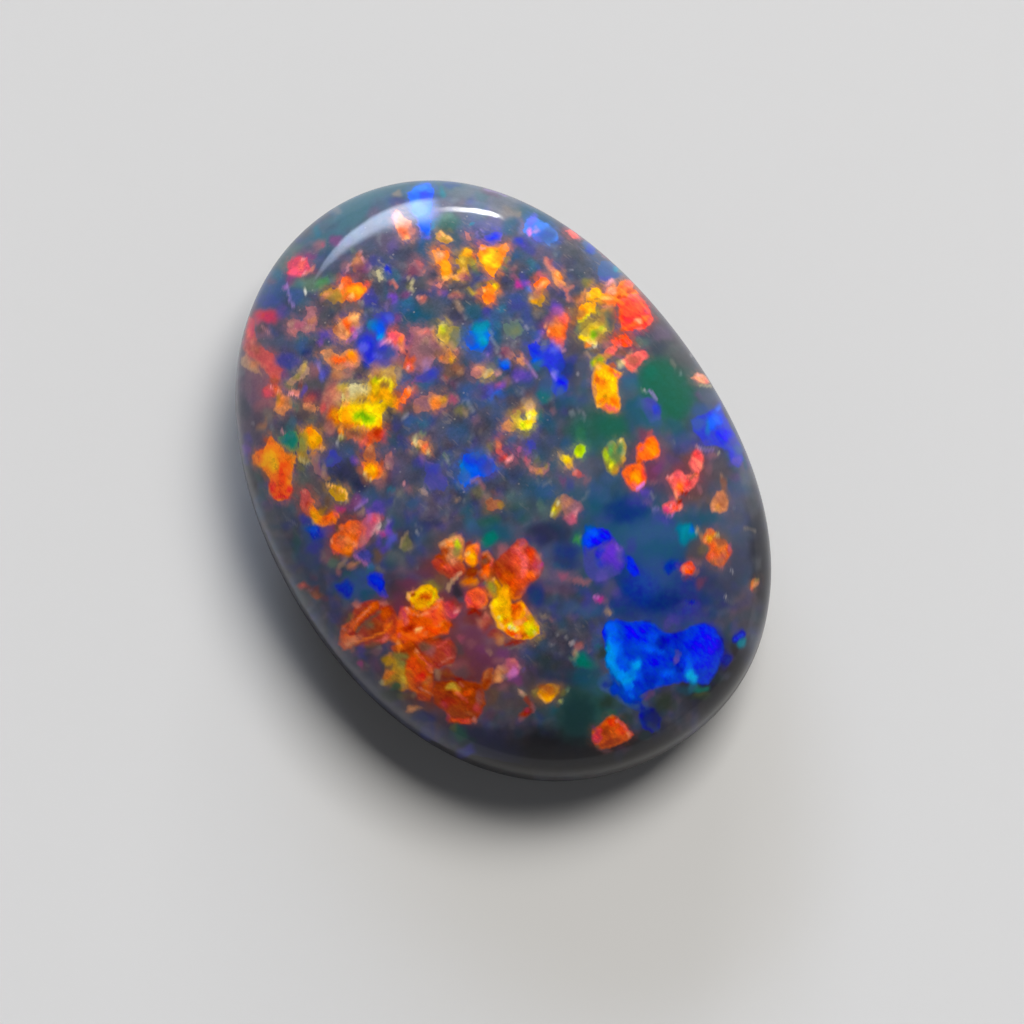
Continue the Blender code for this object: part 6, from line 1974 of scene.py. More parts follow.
LOWER_CENTRE = [
    # Teal ground with a vivid green spot
    soft("denim", 472, 530, 12, 9, strength=0.5),
    soft("deep_teal", 497, 534, 22, 12, strength=0.8),
    soft("sea", 490, 538, 10, 9, strength=0.95, foil=0.3),
    soft("slate", 518, 532, 12, 9, strength=0.5),
    soft("haze", 524, 524, 7, 5, strength=0.2),
    soft("night_blue", 548, 534, 24, 16, strength=0.6),
    soft("denim", 552, 552, 14, 12, strength=0.35),
    soft("ink", 567, 556, 14, 18, strength=0.6),
    soft("forest", 577, 538, 9, 9, strength=0.5),
    soft("green", 578, 539, 5, 5, strength=0.8),
    soft("sage", 580, 537, 3, 2.4, turn=-30, strength=0.7),
    soft("rose", 571, 521, 5, 3, strength=0.7),
    # Amber flake beside the orange hoop
    soft("blood", 468, 546, 5, 4, strength=0.6),
    patch("orange", (464, 553), (467, 547), (473, 543), (479, 544), (480, 550), (478, 557),
          (479, 563), (474, 567), (468, 565), (464, 561), edge=1.5),
    soft("coral", 478, 548, 3, 6, strength=0.8, foil=1),
    soft("saffron", 471, 556, 5, 6, foil=1),
    soft("amber", 473, 563, 4, 3, strength=0.8, foil=1),
    soft("apricot", 466, 554, 2.4, 4, strength=0.7, foil=1),
    soft("straw", 468, 553, 2, 3, strength=0.5, foil=1),
    patch("sienna", (480, 560), (482, 553), (487, 551), (491, 554), (494, 560), (495, 568),
          (493, 577), (487, 582), (482, 578), (480, 573), (482, 567), edge=1.6),
    line("peach", 2.6, (483, 555), (487, 553), (490, 556), (492, 561), strength=0.6, foil=1),
    soft("brown", 484, 561, 4, 5, turn=-20, strength=0.8, foil=1),
    soft("flame", 488, 568, 4, 6, turn=20, strength=0.85, foil=1),
    soft("coral", 492, 565, 2.4, 8, strength=0.8, foil=1),
    soft("tangerine", 487, 575, 5, 5, foil=1),
    soft("peach", 482, 573, 3, 2.4, strength=0.7, foil=1),
    soft("peach", 486, 579, 3, 2.4, strength=0.6, foil=1),
    soft("sienna", 472, 571, 9, 5, strength=0.8, foil=0.7),
    soft("copper", 472, 583, 10, 6, strength=0.9, foil=0.8),
    soft("orange", 476, 581, 5, 4, strength=0.4, foil=0.8),
    soft("sienna", 494, 572, 4, 6, strength=0.4, foil=0.7),
    # Olive bead with its gold rim
    patch("olive", (485, 586), (487, 581), (491, 579), (495, 582), (498, 587), (499, 592),
          (496, 596), (491, 595), (488, 591), edge=1.6),
    soft("sage", 487, 585, 3, 3, strength=0.7),
    soft("citron", 492, 587, 4, 6, turn=-30, strength=0.35, foil=0.8),
    line("saffron", 2.6, (493, 580), (497, 583), (499, 588), (500, 593), strength=0.85, foil=1),
    soft("apricot", 493, 579, 3, 2, turn=25, strength=0.9, foil=1),
    line("peach", 2.2, (488, 594), (493, 597), strength=0.6),
    # Coral flake on the left
    soft("plum", 483, 587, 4, 3, strength=0.6),
    patch("vermilion", (465, 600), (467, 592), (473, 589), (480, 587), (485, 590), (488, 596),
          (487, 604), (482, 609), (474, 608), (467, 608), edge=1.6),
    soft("rose_red", 467, 600, 4, 8, strength=0.7, foil=1),
    soft("coral", 481, 600, 7, 6, strength=0.8, foil=1),
    soft("tangerine", 483, 601, 4, 4, strength=0.4, foil=1),
    soft("salmon", 484, 606, 4, 2.4, turn=-30, strength=0.7, foil=1),
    soft("garnet", 478, 618, 16, 10, strength=0.7),
    soft("blood", 474, 611, 9, 3, strength=0.6),
    soft("russet", 486, 622, 6, 9, strength=0.6, foil=0.5),
    soft("salmon", 488, 614, 3, 4, strength=0.8),
    soft("haze_warm", 479, 619, 4, 5, strength=0.3),
    soft("wine", 474, 634, 16, 10, strength=0.6),
    soft("rosewood", 482, 626, 6, 4, strength=0.4),
    soft("russet", 496, 634, 8, 6, turn=25, strength=0.6, foil=0.5),
    # Large scarlet flake
    soft("rosewood", 503, 552, 9, 8, strength=0.8),
    soft("umber", 495, 552, 4, 7, strength=0.5),
    patch("russet", (495, 562), (500, 555), (508, 549), (514, 545), (518, 539), (524, 539),
          (529, 545), (535, 550), (539, 556), (542, 563), (543, 570), (539, 578), (531, 583),
          (526, 590), (522, 598), (514, 601), (506, 592), (500, 582), (495, 574), edge=2.2),
    soft("sienna", 502, 568, 10, 11, strength=0.6, foil=1),
    soft("vermilion", 518, 562, 9, 15, strength=0.7, foil=1),
    soft("sienna", 512, 570, 7, 7, strength=0.4, foil=1),
    soft("coral", 518, 549, 6, 6, turn=-30, strength=0.7, foil=1),
    soft("rose", 521, 541, 5, 4, strength=0.9, foil=0.6),
    soft("salmon", 524, 546, 3, 2.4, strength=0.6),
    line("coral", 3.4, (514, 549), (518, 554), (523, 559), strength=0.8, foil=1),
    line("coral", 6, (524, 557), (525, 565), (524, 575), strength=0.9, foil=1),
    soft("flame", 531, 556, 6, 6, turn=35, strength=0.6, foil=1),
    soft("crimson", 535, 564, 6, 8, strength=0.75, foil=1),
    soft("tangerine", 531, 576, 8, 5, foil=1),
    soft("coral", 538, 573, 4, 4, turn=-30, strength=0.7, foil=1),
    soft("salmon", 538, 557, 3, 6, turn=-35, strength=0.6),
    soft("rose", 542, 566, 4, 5, turn=-20, foil=0.4),
    soft("magenta", 543, 566, 2.4, 2.4, strength=0.7),
    soft("wine", 544, 571, 3, 4, strength=0.6),
    soft("burnt", 507, 577, 9, 6, turn=20, strength=0.8, foil=1),
    soft("burnt", 514, 590, 7, 9, turn=15, strength=0.85, foil=1),
    soft("flame", 516, 582, 5, 5, strength=0.4, foil=1),
    soft("sienna", 510, 597, 4, 6, strength=0.6, foil=1),
    line("salmon", 2, (525, 587), (522, 594), strength=0.5),
    # Golden flake
    patch("saffron", (490, 607), (492, 600), (496, 597), (500, 592), (501, 587), (504, 584),
          (508, 587), (510, 594), (511, 602), (513, 609), (513, 617), (510, 624), (502, 627),
          (496, 623), (493, 617), edge=1.5),
    soft("amber", 504, 591, 4, 6, foil=1),
    soft("orange", 508, 588, 2.4, 5, strength=0.4, foil=1),
    soft("yellow", 496, 603, 5, 6, turn=20, strength=0.8, foil=1),
    soft("lemon", 494, 601, 2.4, 4, turn=20, strength=0.5, foil=1),
    soft("mustard", 505, 602, 4, 3, strength=0.6, foil=1),
    soft("amber", 506, 611, 6, 5, strength=0.5, foil=1),
    soft("mustard", 503, 617, 6, 3, turn=-10, strength=0.5, foil=1),
    line("apricot", 2.6, (491, 606), (493, 613), (496, 619), strength=0.6, foil=1),
    soft("lemon", 497, 619, 3.4, 3, foil=1),
    soft("straw", 496, 620, 2, 2, strength=0.6, foil=1),
    patch("orange", (511, 602), (514, 605), (519, 601), (523, 602), (526, 608), (531, 614),
          (535, 620), (539, 627), (540, 633), (536, 638), (528, 640), (518, 640), (511, 637),
          (503, 631), (496, 624), (504, 623), (511, 618), edge=1.5),
    soft("burnt", 515, 612, 4, 7, foil=1),
    soft("flame", 516, 607, 4, 3, foil=1),
    soft("brown", 514, 604, 2.4, 2, strength=0.9, foil=1),
    soft("burnt", 521, 606, 4, 4, strength=0.8, foil=1),
    line("amber", 3, (522, 604), (525, 610), (522, 616), (519, 618), strength=0.9, foil=1),
    soft("copper", 525, 618, 5, 3, turn=35, strength=0.7, foil=1),
    line("peach", 2.4, (526, 609), (532, 616), (537, 624), strength=0.7, foil=1),
    soft("orange", 508, 620, 6, 4, turn=-10, foil=1),
    soft("apricot", 517, 622, 5, 4, strength=0.6, foil=1),
    soft("mustard", 529, 620, 6, 4, turn=30, strength=0.8, foil=1),
    patch("citron", (523, 623), (530, 621), (535, 624), (539, 629), (537, 635), (529, 637),
          (524, 632), edge=2),
    soft("yellow", 527, 627, 4, 5, strength=0.7, foil=1),
    soft("straw", 536, 634, 3, 3, strength=0.6, foil=1),
    soft("sienna", 524, 636, 4, 3, strength=0.7, foil=1),
    soft("amber", 521, 628, 3, 5, strength=0.7, foil=1),
    patch("lemon", (505, 625), (510, 623), (515, 626), (519, 630), (520, 634), (514, 631),
          (508, 628), edge=1.3),
    soft("pearl", 511, 627, 5, 2.4, turn=38, strength=0.7, foil=1),
    soft("pearl", 516, 631, 3, 2, turn=45, strength=0.5, foil=1),
    soft("apricot", 501, 625, 6, 2.6, turn=38, strength=0.8, foil=1),
    soft("flame", 511, 634, 7, 3, turn=25, foil=1),
    soft("coral", 516, 638, 4, 2, strength=0.8, foil=1),
    # Dusk on the right with its dusty pink band
    soft("ink", 535, 594, 11, 12, strength=0.7),
    soft("deep_teal", 534, 597, 7, 7, strength=0.3),
    soft("dusk", 560, 560, 16, 6, strength=0.4),
    soft("plum", 563, 588, 24, 7, strength=0.25),
    soft("mauve_slate", 563, 577, 26, 7, turn=4, strength=0.9),
    soft("rose", 563, 577, 8, 3, turn=12, strength=0.55),
    soft("haze_warm", 545, 574, 7, 4, strength=0.2),
    soft("rosewood", 580, 581, 12, 4, strength=0.8),
    soft("rosewood", 586, 578, 7, 3, turn=10, strength=0.5),
    soft("haze_warm", 544, 616, 7, 3, turn=18, strength=0.6),
    soft("tan", 546, 617, 4, 2, turn=18, strength=0.35),
    soft("rosewood", 553, 622, 5, 3, turn=30, strength=0.5),
    soft("haze_warm", 561, 631, 6, 3, turn=10, strength=0.4),
    soft("ash", 557, 634, 2.4, 2, strength=0.5),
    soft("ash", 567, 637, 2.4, 2, strength=0.5),
    soft("sienna", 579, 643, 5, 3, strength=0.4),
    soft("rosewood", 572, 643, 4, 2, strength=0.5),
]

BLUE_SIDE = [
    # Denim ground
    soft("denim", 652, 540, 40, 26, strength=0.7),
    soft("deep_teal", 660, 550, 26, 12, strength=0.5),
    soft("denim", 655, 575, 30, 22, strength=0.7),
    soft("royal", 640, 588, 22, 20, strength=0.4),
    soft("ink", 664, 604, 20, 14, strength=0.6),
    soft("indigo", 690, 588, 16, 16, strength=0.35),
    # Vivid blue turning to violet
    patch("indigo", (583, 560), (583, 542), (590, 532), (608, 530), (616, 540), (624, 548),
          (626, 562), (620, 574), (606, 580), (594, 582), (586, 574), edge=6, strength=0.85,
          foil=0.25),
    patch("blue_flash", (583, 546), (583, 537), (587, 531), (594, 528), (603, 528), (608, 532),
          (612, 539), (608, 543), (598, 545), (590, 548), edge=3, foil=0.3),
    soft("azure", 592, 532, 8, 5, strength=0.7, foil=0.3),
    soft("azure", 587, 540, 5, 6, strength=0.5, foil=0.3),
    soft("indigo", 606, 542, 6, 5, strength=0.5, foil=0.3),
    soft("violet", 611, 551, 14, 9, foil=0.4),
    soft("purple", 616, 548, 8, 5, strength=0.85, foil=0.5),
    soft("purple", 608, 556, 7, 5, strength=0.4, foil=0.4),
    soft("violet", 616, 560, 8, 6, strength=0.8, foil=0.3),
    soft("blue_flash", 598, 554, 6, 7, strength=0.45, foil=0.3),
    soft("royal", 602, 564, 7, 5, strength=0.7),
    soft("indigo", 592, 567, 6, 9, strength=0.6),
    patch("blue_flash", (624, 557), (630, 556), (635, 562), (638, 568), (640, 575), (634, 577),
          (627, 569), edge=3.4, strength=0.8, foil=0.2),
    soft("indigo", 632, 546, 8, 9, strength=0.6),
    soft("plum", 612, 542, 6, 3, strength=0.3),
    soft("violet", 602, 577, 8, 9, strength=0.6),
    soft("mauve_slate", 610, 588, 9, 12, strength=0.6),
    soft("violet", 616, 592, 7, 8, strength=0.4),
    soft("indigo", 586, 600, 7, 12, strength=0.6),
    soft("indigo", 622, 600, 8, 6, strength=0.3),
    # Magenta spark and tan speck
    soft("mauve_slate", 606, 603, 6, 6, strength=0.8),
    soft("plum", 600, 600, 8, 9, strength=0.5),
    soft("magenta", 600, 601, 5, 5, strength=0.95, foil=0.5),
    soft("orchid", 597, 597, 4, 3, strength=0.9, foil=0.5),
    soft("salmon", 608, 613, 5, 4, strength=0.5),
    soft("haze_warm", 608, 613, 6, 5, strength=0.7),
    soft("tan", 610, 614, 3, 3, strength=0.7),
    soft("denim", 590, 612, 12, 6, strength=0.45),
    # Cyan pool beside the rim
    soft("peacock", 686, 535, 11, 10, strength=0.9, foil=0.3),
    soft("teal", 686, 538, 6, 6, strength=0.5, foil=0.3),
    soft("azure", 691, 531, 4, 4, strength=0.6),
    soft("peacock", 680, 528, 7, 5, strength=0.5),
    soft("haze_warm", 697, 530, 5, 5, strength=0.85),
    soft("tan", 698, 529, 3, 3, strength=0.6),
    soft("pearl", 696, 533, 2.4, 2, strength=0.8),
    soft("deep_teal", 691, 545, 6, 6, strength=0.4),
    soft("blue_flash", 672, 566, 9, 8, strength=0.45, foil=0.2),
    soft("indigo", 675, 566, 8, 7, strength=0.4),
    # Umber rim with an orange spark
    soft("umber", 698, 552, 12, 16, turn=15, strength=0.8),
    soft("rosewood", 695, 562, 10, 6, strength=0.4),
    patch("flame", (681, 571), (682, 566), (686, 563), (691, 562), (695, 566), (696, 571),
          (692, 575), (685, 575), edge=2),
    soft("coral", 688, 567, 5, 4, strength=0.8, foil=1),
    soft("salmon", 683, 571, 3, 4, strength=0.8),
    soft("rosewood", 694, 572, 4, 4, strength=0.8),
    soft("wine", 687, 576, 4, 2, strength=0.9),
    soft("haze_warm", 698, 565, 4, 3, strength=0.25),
    soft("wine", 703, 583, 8, 7, strength=0.55),
    soft("indigo", 690, 607, 11, 7, strength=0.8),
    soft("blue_flash", 690, 605, 5, 4, strength=0.35),
    soft("royal", 685, 612, 7, 3, strength=0.5),
]

RIGHT_RIM = [
    # Slate rim with an amber and orange flake
    soft("dusk", 742, 560, 18, 26, strength=0.6),
    soft("dusk", 722, 588, 22, 16, strength=0.5),
    soft("umber", 700, 575, 14, 6, strength=0.3),
    soft("copper", 702, 538, 4, 7, strength=0.6),
    soft("olive", 704, 548, 6, 5, strength=0.3),
    patch("ember", (704, 543), (703, 537), (707, 530), (711, 528), (716, 533), (721, 539),
          (727, 543), (732, 550), (730, 556), (726, 561), (722, 567), (716, 566), (708, 561),
          (706, 557), (710, 550), (709, 545), edge=2),
    soft("copper", 710, 530, 4, 3, strength=0.7, foil=0.8),
    soft("gold", 709, 539, 5, 5, strength=0.8, foil=1),
    soft("amber", 710, 539, 3, 3, strength=0.7, foil=1),
    soft("mustard", 714, 536, 2.6, 4, strength=0.7, foil=1),
    soft("peach", 706, 541, 2.4, 4, strength=0.5, foil=1),
    soft("straw", 717, 536, 3, 2, turn=40, strength=0.8),
    soft("orange", 720, 547, 8, 5, turn=20, strength=0.55, foil=1),
    soft("rust", 722, 551, 6, 4, strength=0.5, foil=1),
    soft("rose", 731, 549, 3, 6, turn=-10, strength=0.8, foil=0.7),
    soft("brick", 720, 558, 5, 7, strength=0.85, foil=1),
    soft("brick", 711, 556, 4, 5, strength=0.5, foil=1),
    soft("brown", 712, 563, 5, 2.4, strength=0.7),
    soft("rosewood", 722, 566, 4, 3, strength=0.7),
    soft("wine", 702, 583, 6, 6, strength=0.5),
    # Sparks and specks near the rim
    line("haze_warm", 2.6, (745, 528), (750, 529), (755, 531), strength=0.7),
    soft("ash", 732, 571, 2.4, 3, turn=-30, strength=0.6),
    soft("ash", 724, 598, 4, 2, turn=25, strength=0.8),
    line("haze", 2, (726, 600), (733, 604), strength=0.35),
    soft("brown", 754, 586, 6, 7, turn=25, strength=0.6),
    patch("copper", (751, 590), (752, 584), (754, 579), (758, 579), (759, 583), (756, 586),
          edge=1.6),
    soft("orange", 755, 583, 2.4, 4, turn=25, strength=0.5, foil=1),
    soft("coral", 752, 587, 2, 2, strength=0.6),
    soft("olive", 759, 581, 2.4, 3, strength=0.6),
    soft("smoke", 757, 564, 5, 9, strength=0.5),
    soft("umber", 745, 612, 14, 22, turn=8, strength=0.5),
    soft("blue_flash", 738, 636, 6, 7, strength=0.9, foil=0.3),
    soft("indigo", 736, 632, 6, 5, strength=0.5),
    soft("peacock", 742, 645, 5, 6, strength=0.8),
]

BLUE_FLAKE = [
    # The great blue flake
    soft("denim", 664, 622, 50, 14, strength=0.35),
    soft("violet", 675, 619, 8, 7, strength=0.7),
    soft("violet", 668, 626, 7, 6, strength=0.5),
    patch("cobalt", (602, 634), (604, 627), (609, 622), (616, 619), (626, 622), (640, 621),
          (654, 623), (662, 632), (674, 634), (684, 630), (692, 625), (704, 623), (713, 628),
          (720, 637), (724, 648), (722, 660), (716, 672), (708, 684), (696, 684), (684, 682),
          (672, 684), (662, 686), (654, 688), (648, 692), (642, 702), (630, 704), (620, 692),
          (612, 678), (608, 664), (606, 650), edge=3, foil=0.35),
    soft("azure", 611, 629, 7, 8, foil=0.4),
    soft("blue_flash", 605, 632, 3, 5, strength=0.9, foil=0.4),
    soft("electric", 612, 642, 5, 10, strength=0.85, foil=0.4),
    soft("cobalt", 622, 624, 6, 4, strength=0.5, foil=0.3),
    soft("blue_flash", 634, 632, 10, 8, foil=0.5),
    soft("blue_flash", 644, 627, 8, 6, strength=0.7, foil=0.4),
    soft("azure", 644, 640, 10, 6, strength=0.7, foil=0.5),
    soft("azure", 654, 636, 6, 5, strength=0.5, foil=0.4),
    soft("lapis", 664, 644, 7, 12, strength=0.7, foil=0.4),
    soft("lapis", 680, 640, 6, 9, strength=0.5, foil=0.4),
    soft("blue_flash", 676, 644, 12, 10, strength=0.4, foil=0.4),
    soft("blue_flash", 702, 642, 18, 16, foil=0.3),
    soft("blue_flash", 697, 662, 16, 10, foil=0.5),
    soft("azure", 692, 658, 9, 7, strength=0.4, foil=0.5),
    soft("lapis", 720, 646, 5, 9, strength=0.5),
    soft("cobalt", 712, 668, 8, 10, strength=0.6, foil=0.3),
    soft("violet", 674, 662, 6, 5, strength=0.85, foil=0.4),
    soft("purple", 675, 661, 4, 3, strength=0.4, foil=0.4),
    soft("lapis", 679, 668, 6, 4, strength=0.6, foil=0.3),
    soft("blue_flash", 654, 662, 12, 8, strength=0.8, foil=0.4),
    soft("lapis", 650, 680, 9, 9, strength=0.4, foil=0.3),
    soft("azure", 668, 675, 9, 7, strength=0.9, foil=0.5),
    soft("cobalt", 668, 681, 8, 4, strength=0.7, foil=0.3),
    # Cyan edge and spots
    line("electric", 10, (611, 650), (611, 662), (616, 671), (623, 677), (628, 685), strength=0.9,
         foil=0.5),
    line("cyan", 4, (610, 660), (614, 668), strength=0.35, foil=0.5),
    soft("cyan", 628, 682, 5, 5, strength=0.55, foil=0.5),
    soft("azure", 624, 663, 6, 6, strength=0.8, foil=0.4),
    soft("electric", 636, 666, 7, 6, foil=0.5),
    soft("cyan", 637, 666, 4, 4, strength=0.5, foil=0.5),
    soft("azure", 638, 677, 7, 8, strength=0.8, foil=0.4),
    soft("azure", 630, 692, 7, 9, strength=0.8, foil=0.4),
    soft("electric", 632, 697, 5, 4, turn=35, strength=0.35),
    soft("cobalt", 642, 688, 6, 8, strength=0.7),
    soft("electric", 691, 669, 6, 8, strength=0.6, foil=0.5),
    soft("cyan", 691, 677, 6, 7, foil=0.5),
    soft("teal", 692, 686, 7, 5, strength=0.8),
    soft("sea", 701, 688, 8, 5, strength=0.8),
    soft("cobalt", 702, 677, 6, 6, strength=0.6, foil=0.3),
    soft("azure", 658, 683, 5, 3, turn=-25, strength=0.35),
    soft("periwinkle", 656, 685, 5, 4, turn=-30, strength=0.4),
    soft("deep_teal", 685, 690, 12, 4, strength=0.5),
    # Navy lobe and the tail
    patch("denim", (596, 684), (600, 677), (607, 673), (613, 675), (620, 682), (622, 690),
          (626, 700), (640, 702), (648, 708), (640, 712), (626, 706), (614, 698), (604, 692),
          edge=3.4, foil=0.1),
    soft("cobalt", 616, 690, 7, 8, turn=-30, strength=0.9),
    soft("cobalt", 626, 699, 8, 5, turn=30, strength=0.9),
    soft("lapis", 606, 683, 6, 5, strength=0.4),
    soft("ink", 612, 684, 4, 3, strength=0.5),
    soft("plum", 648, 694, 6, 7, strength=0.5),
    soft("mauve_slate", 643, 695, 4, 4, strength=0.6),
    patch("lapis", (640, 704), (648, 706), (656, 710), (661, 718), (660, 728), (652, 733),
          (643, 728), (639, 716), edge=4, foil=0.2),
    soft("cobalt", 648, 720, 8, 9, strength=0.5),
    soft("denim", 655, 727, 6, 6, strength=0.6),
    soft("denim", 646, 704, 6, 3, turn=40, strength=0.5),
    soft("abyss", 644, 734, 9, 4, strength=0.5),
    # Rim beside the blue, darker towards the lower right edge with painted shade where the dome
    # turns away from the light
    soft("moss", 665, 704, 12, 12, strength=0.8),
    soft("moss", 700, 696, 12, 5, strength=0.9),
    soft("olive", 700, 694, 8, 3, strength=0.25),
    soft("violet", 727, 660, 6, 9, strength=0.7),
    soft("dusk", 724, 675, 7, 7, strength=0.7),
    soft("abyss", 718, 680, 8, 6, strength=0.4),
]

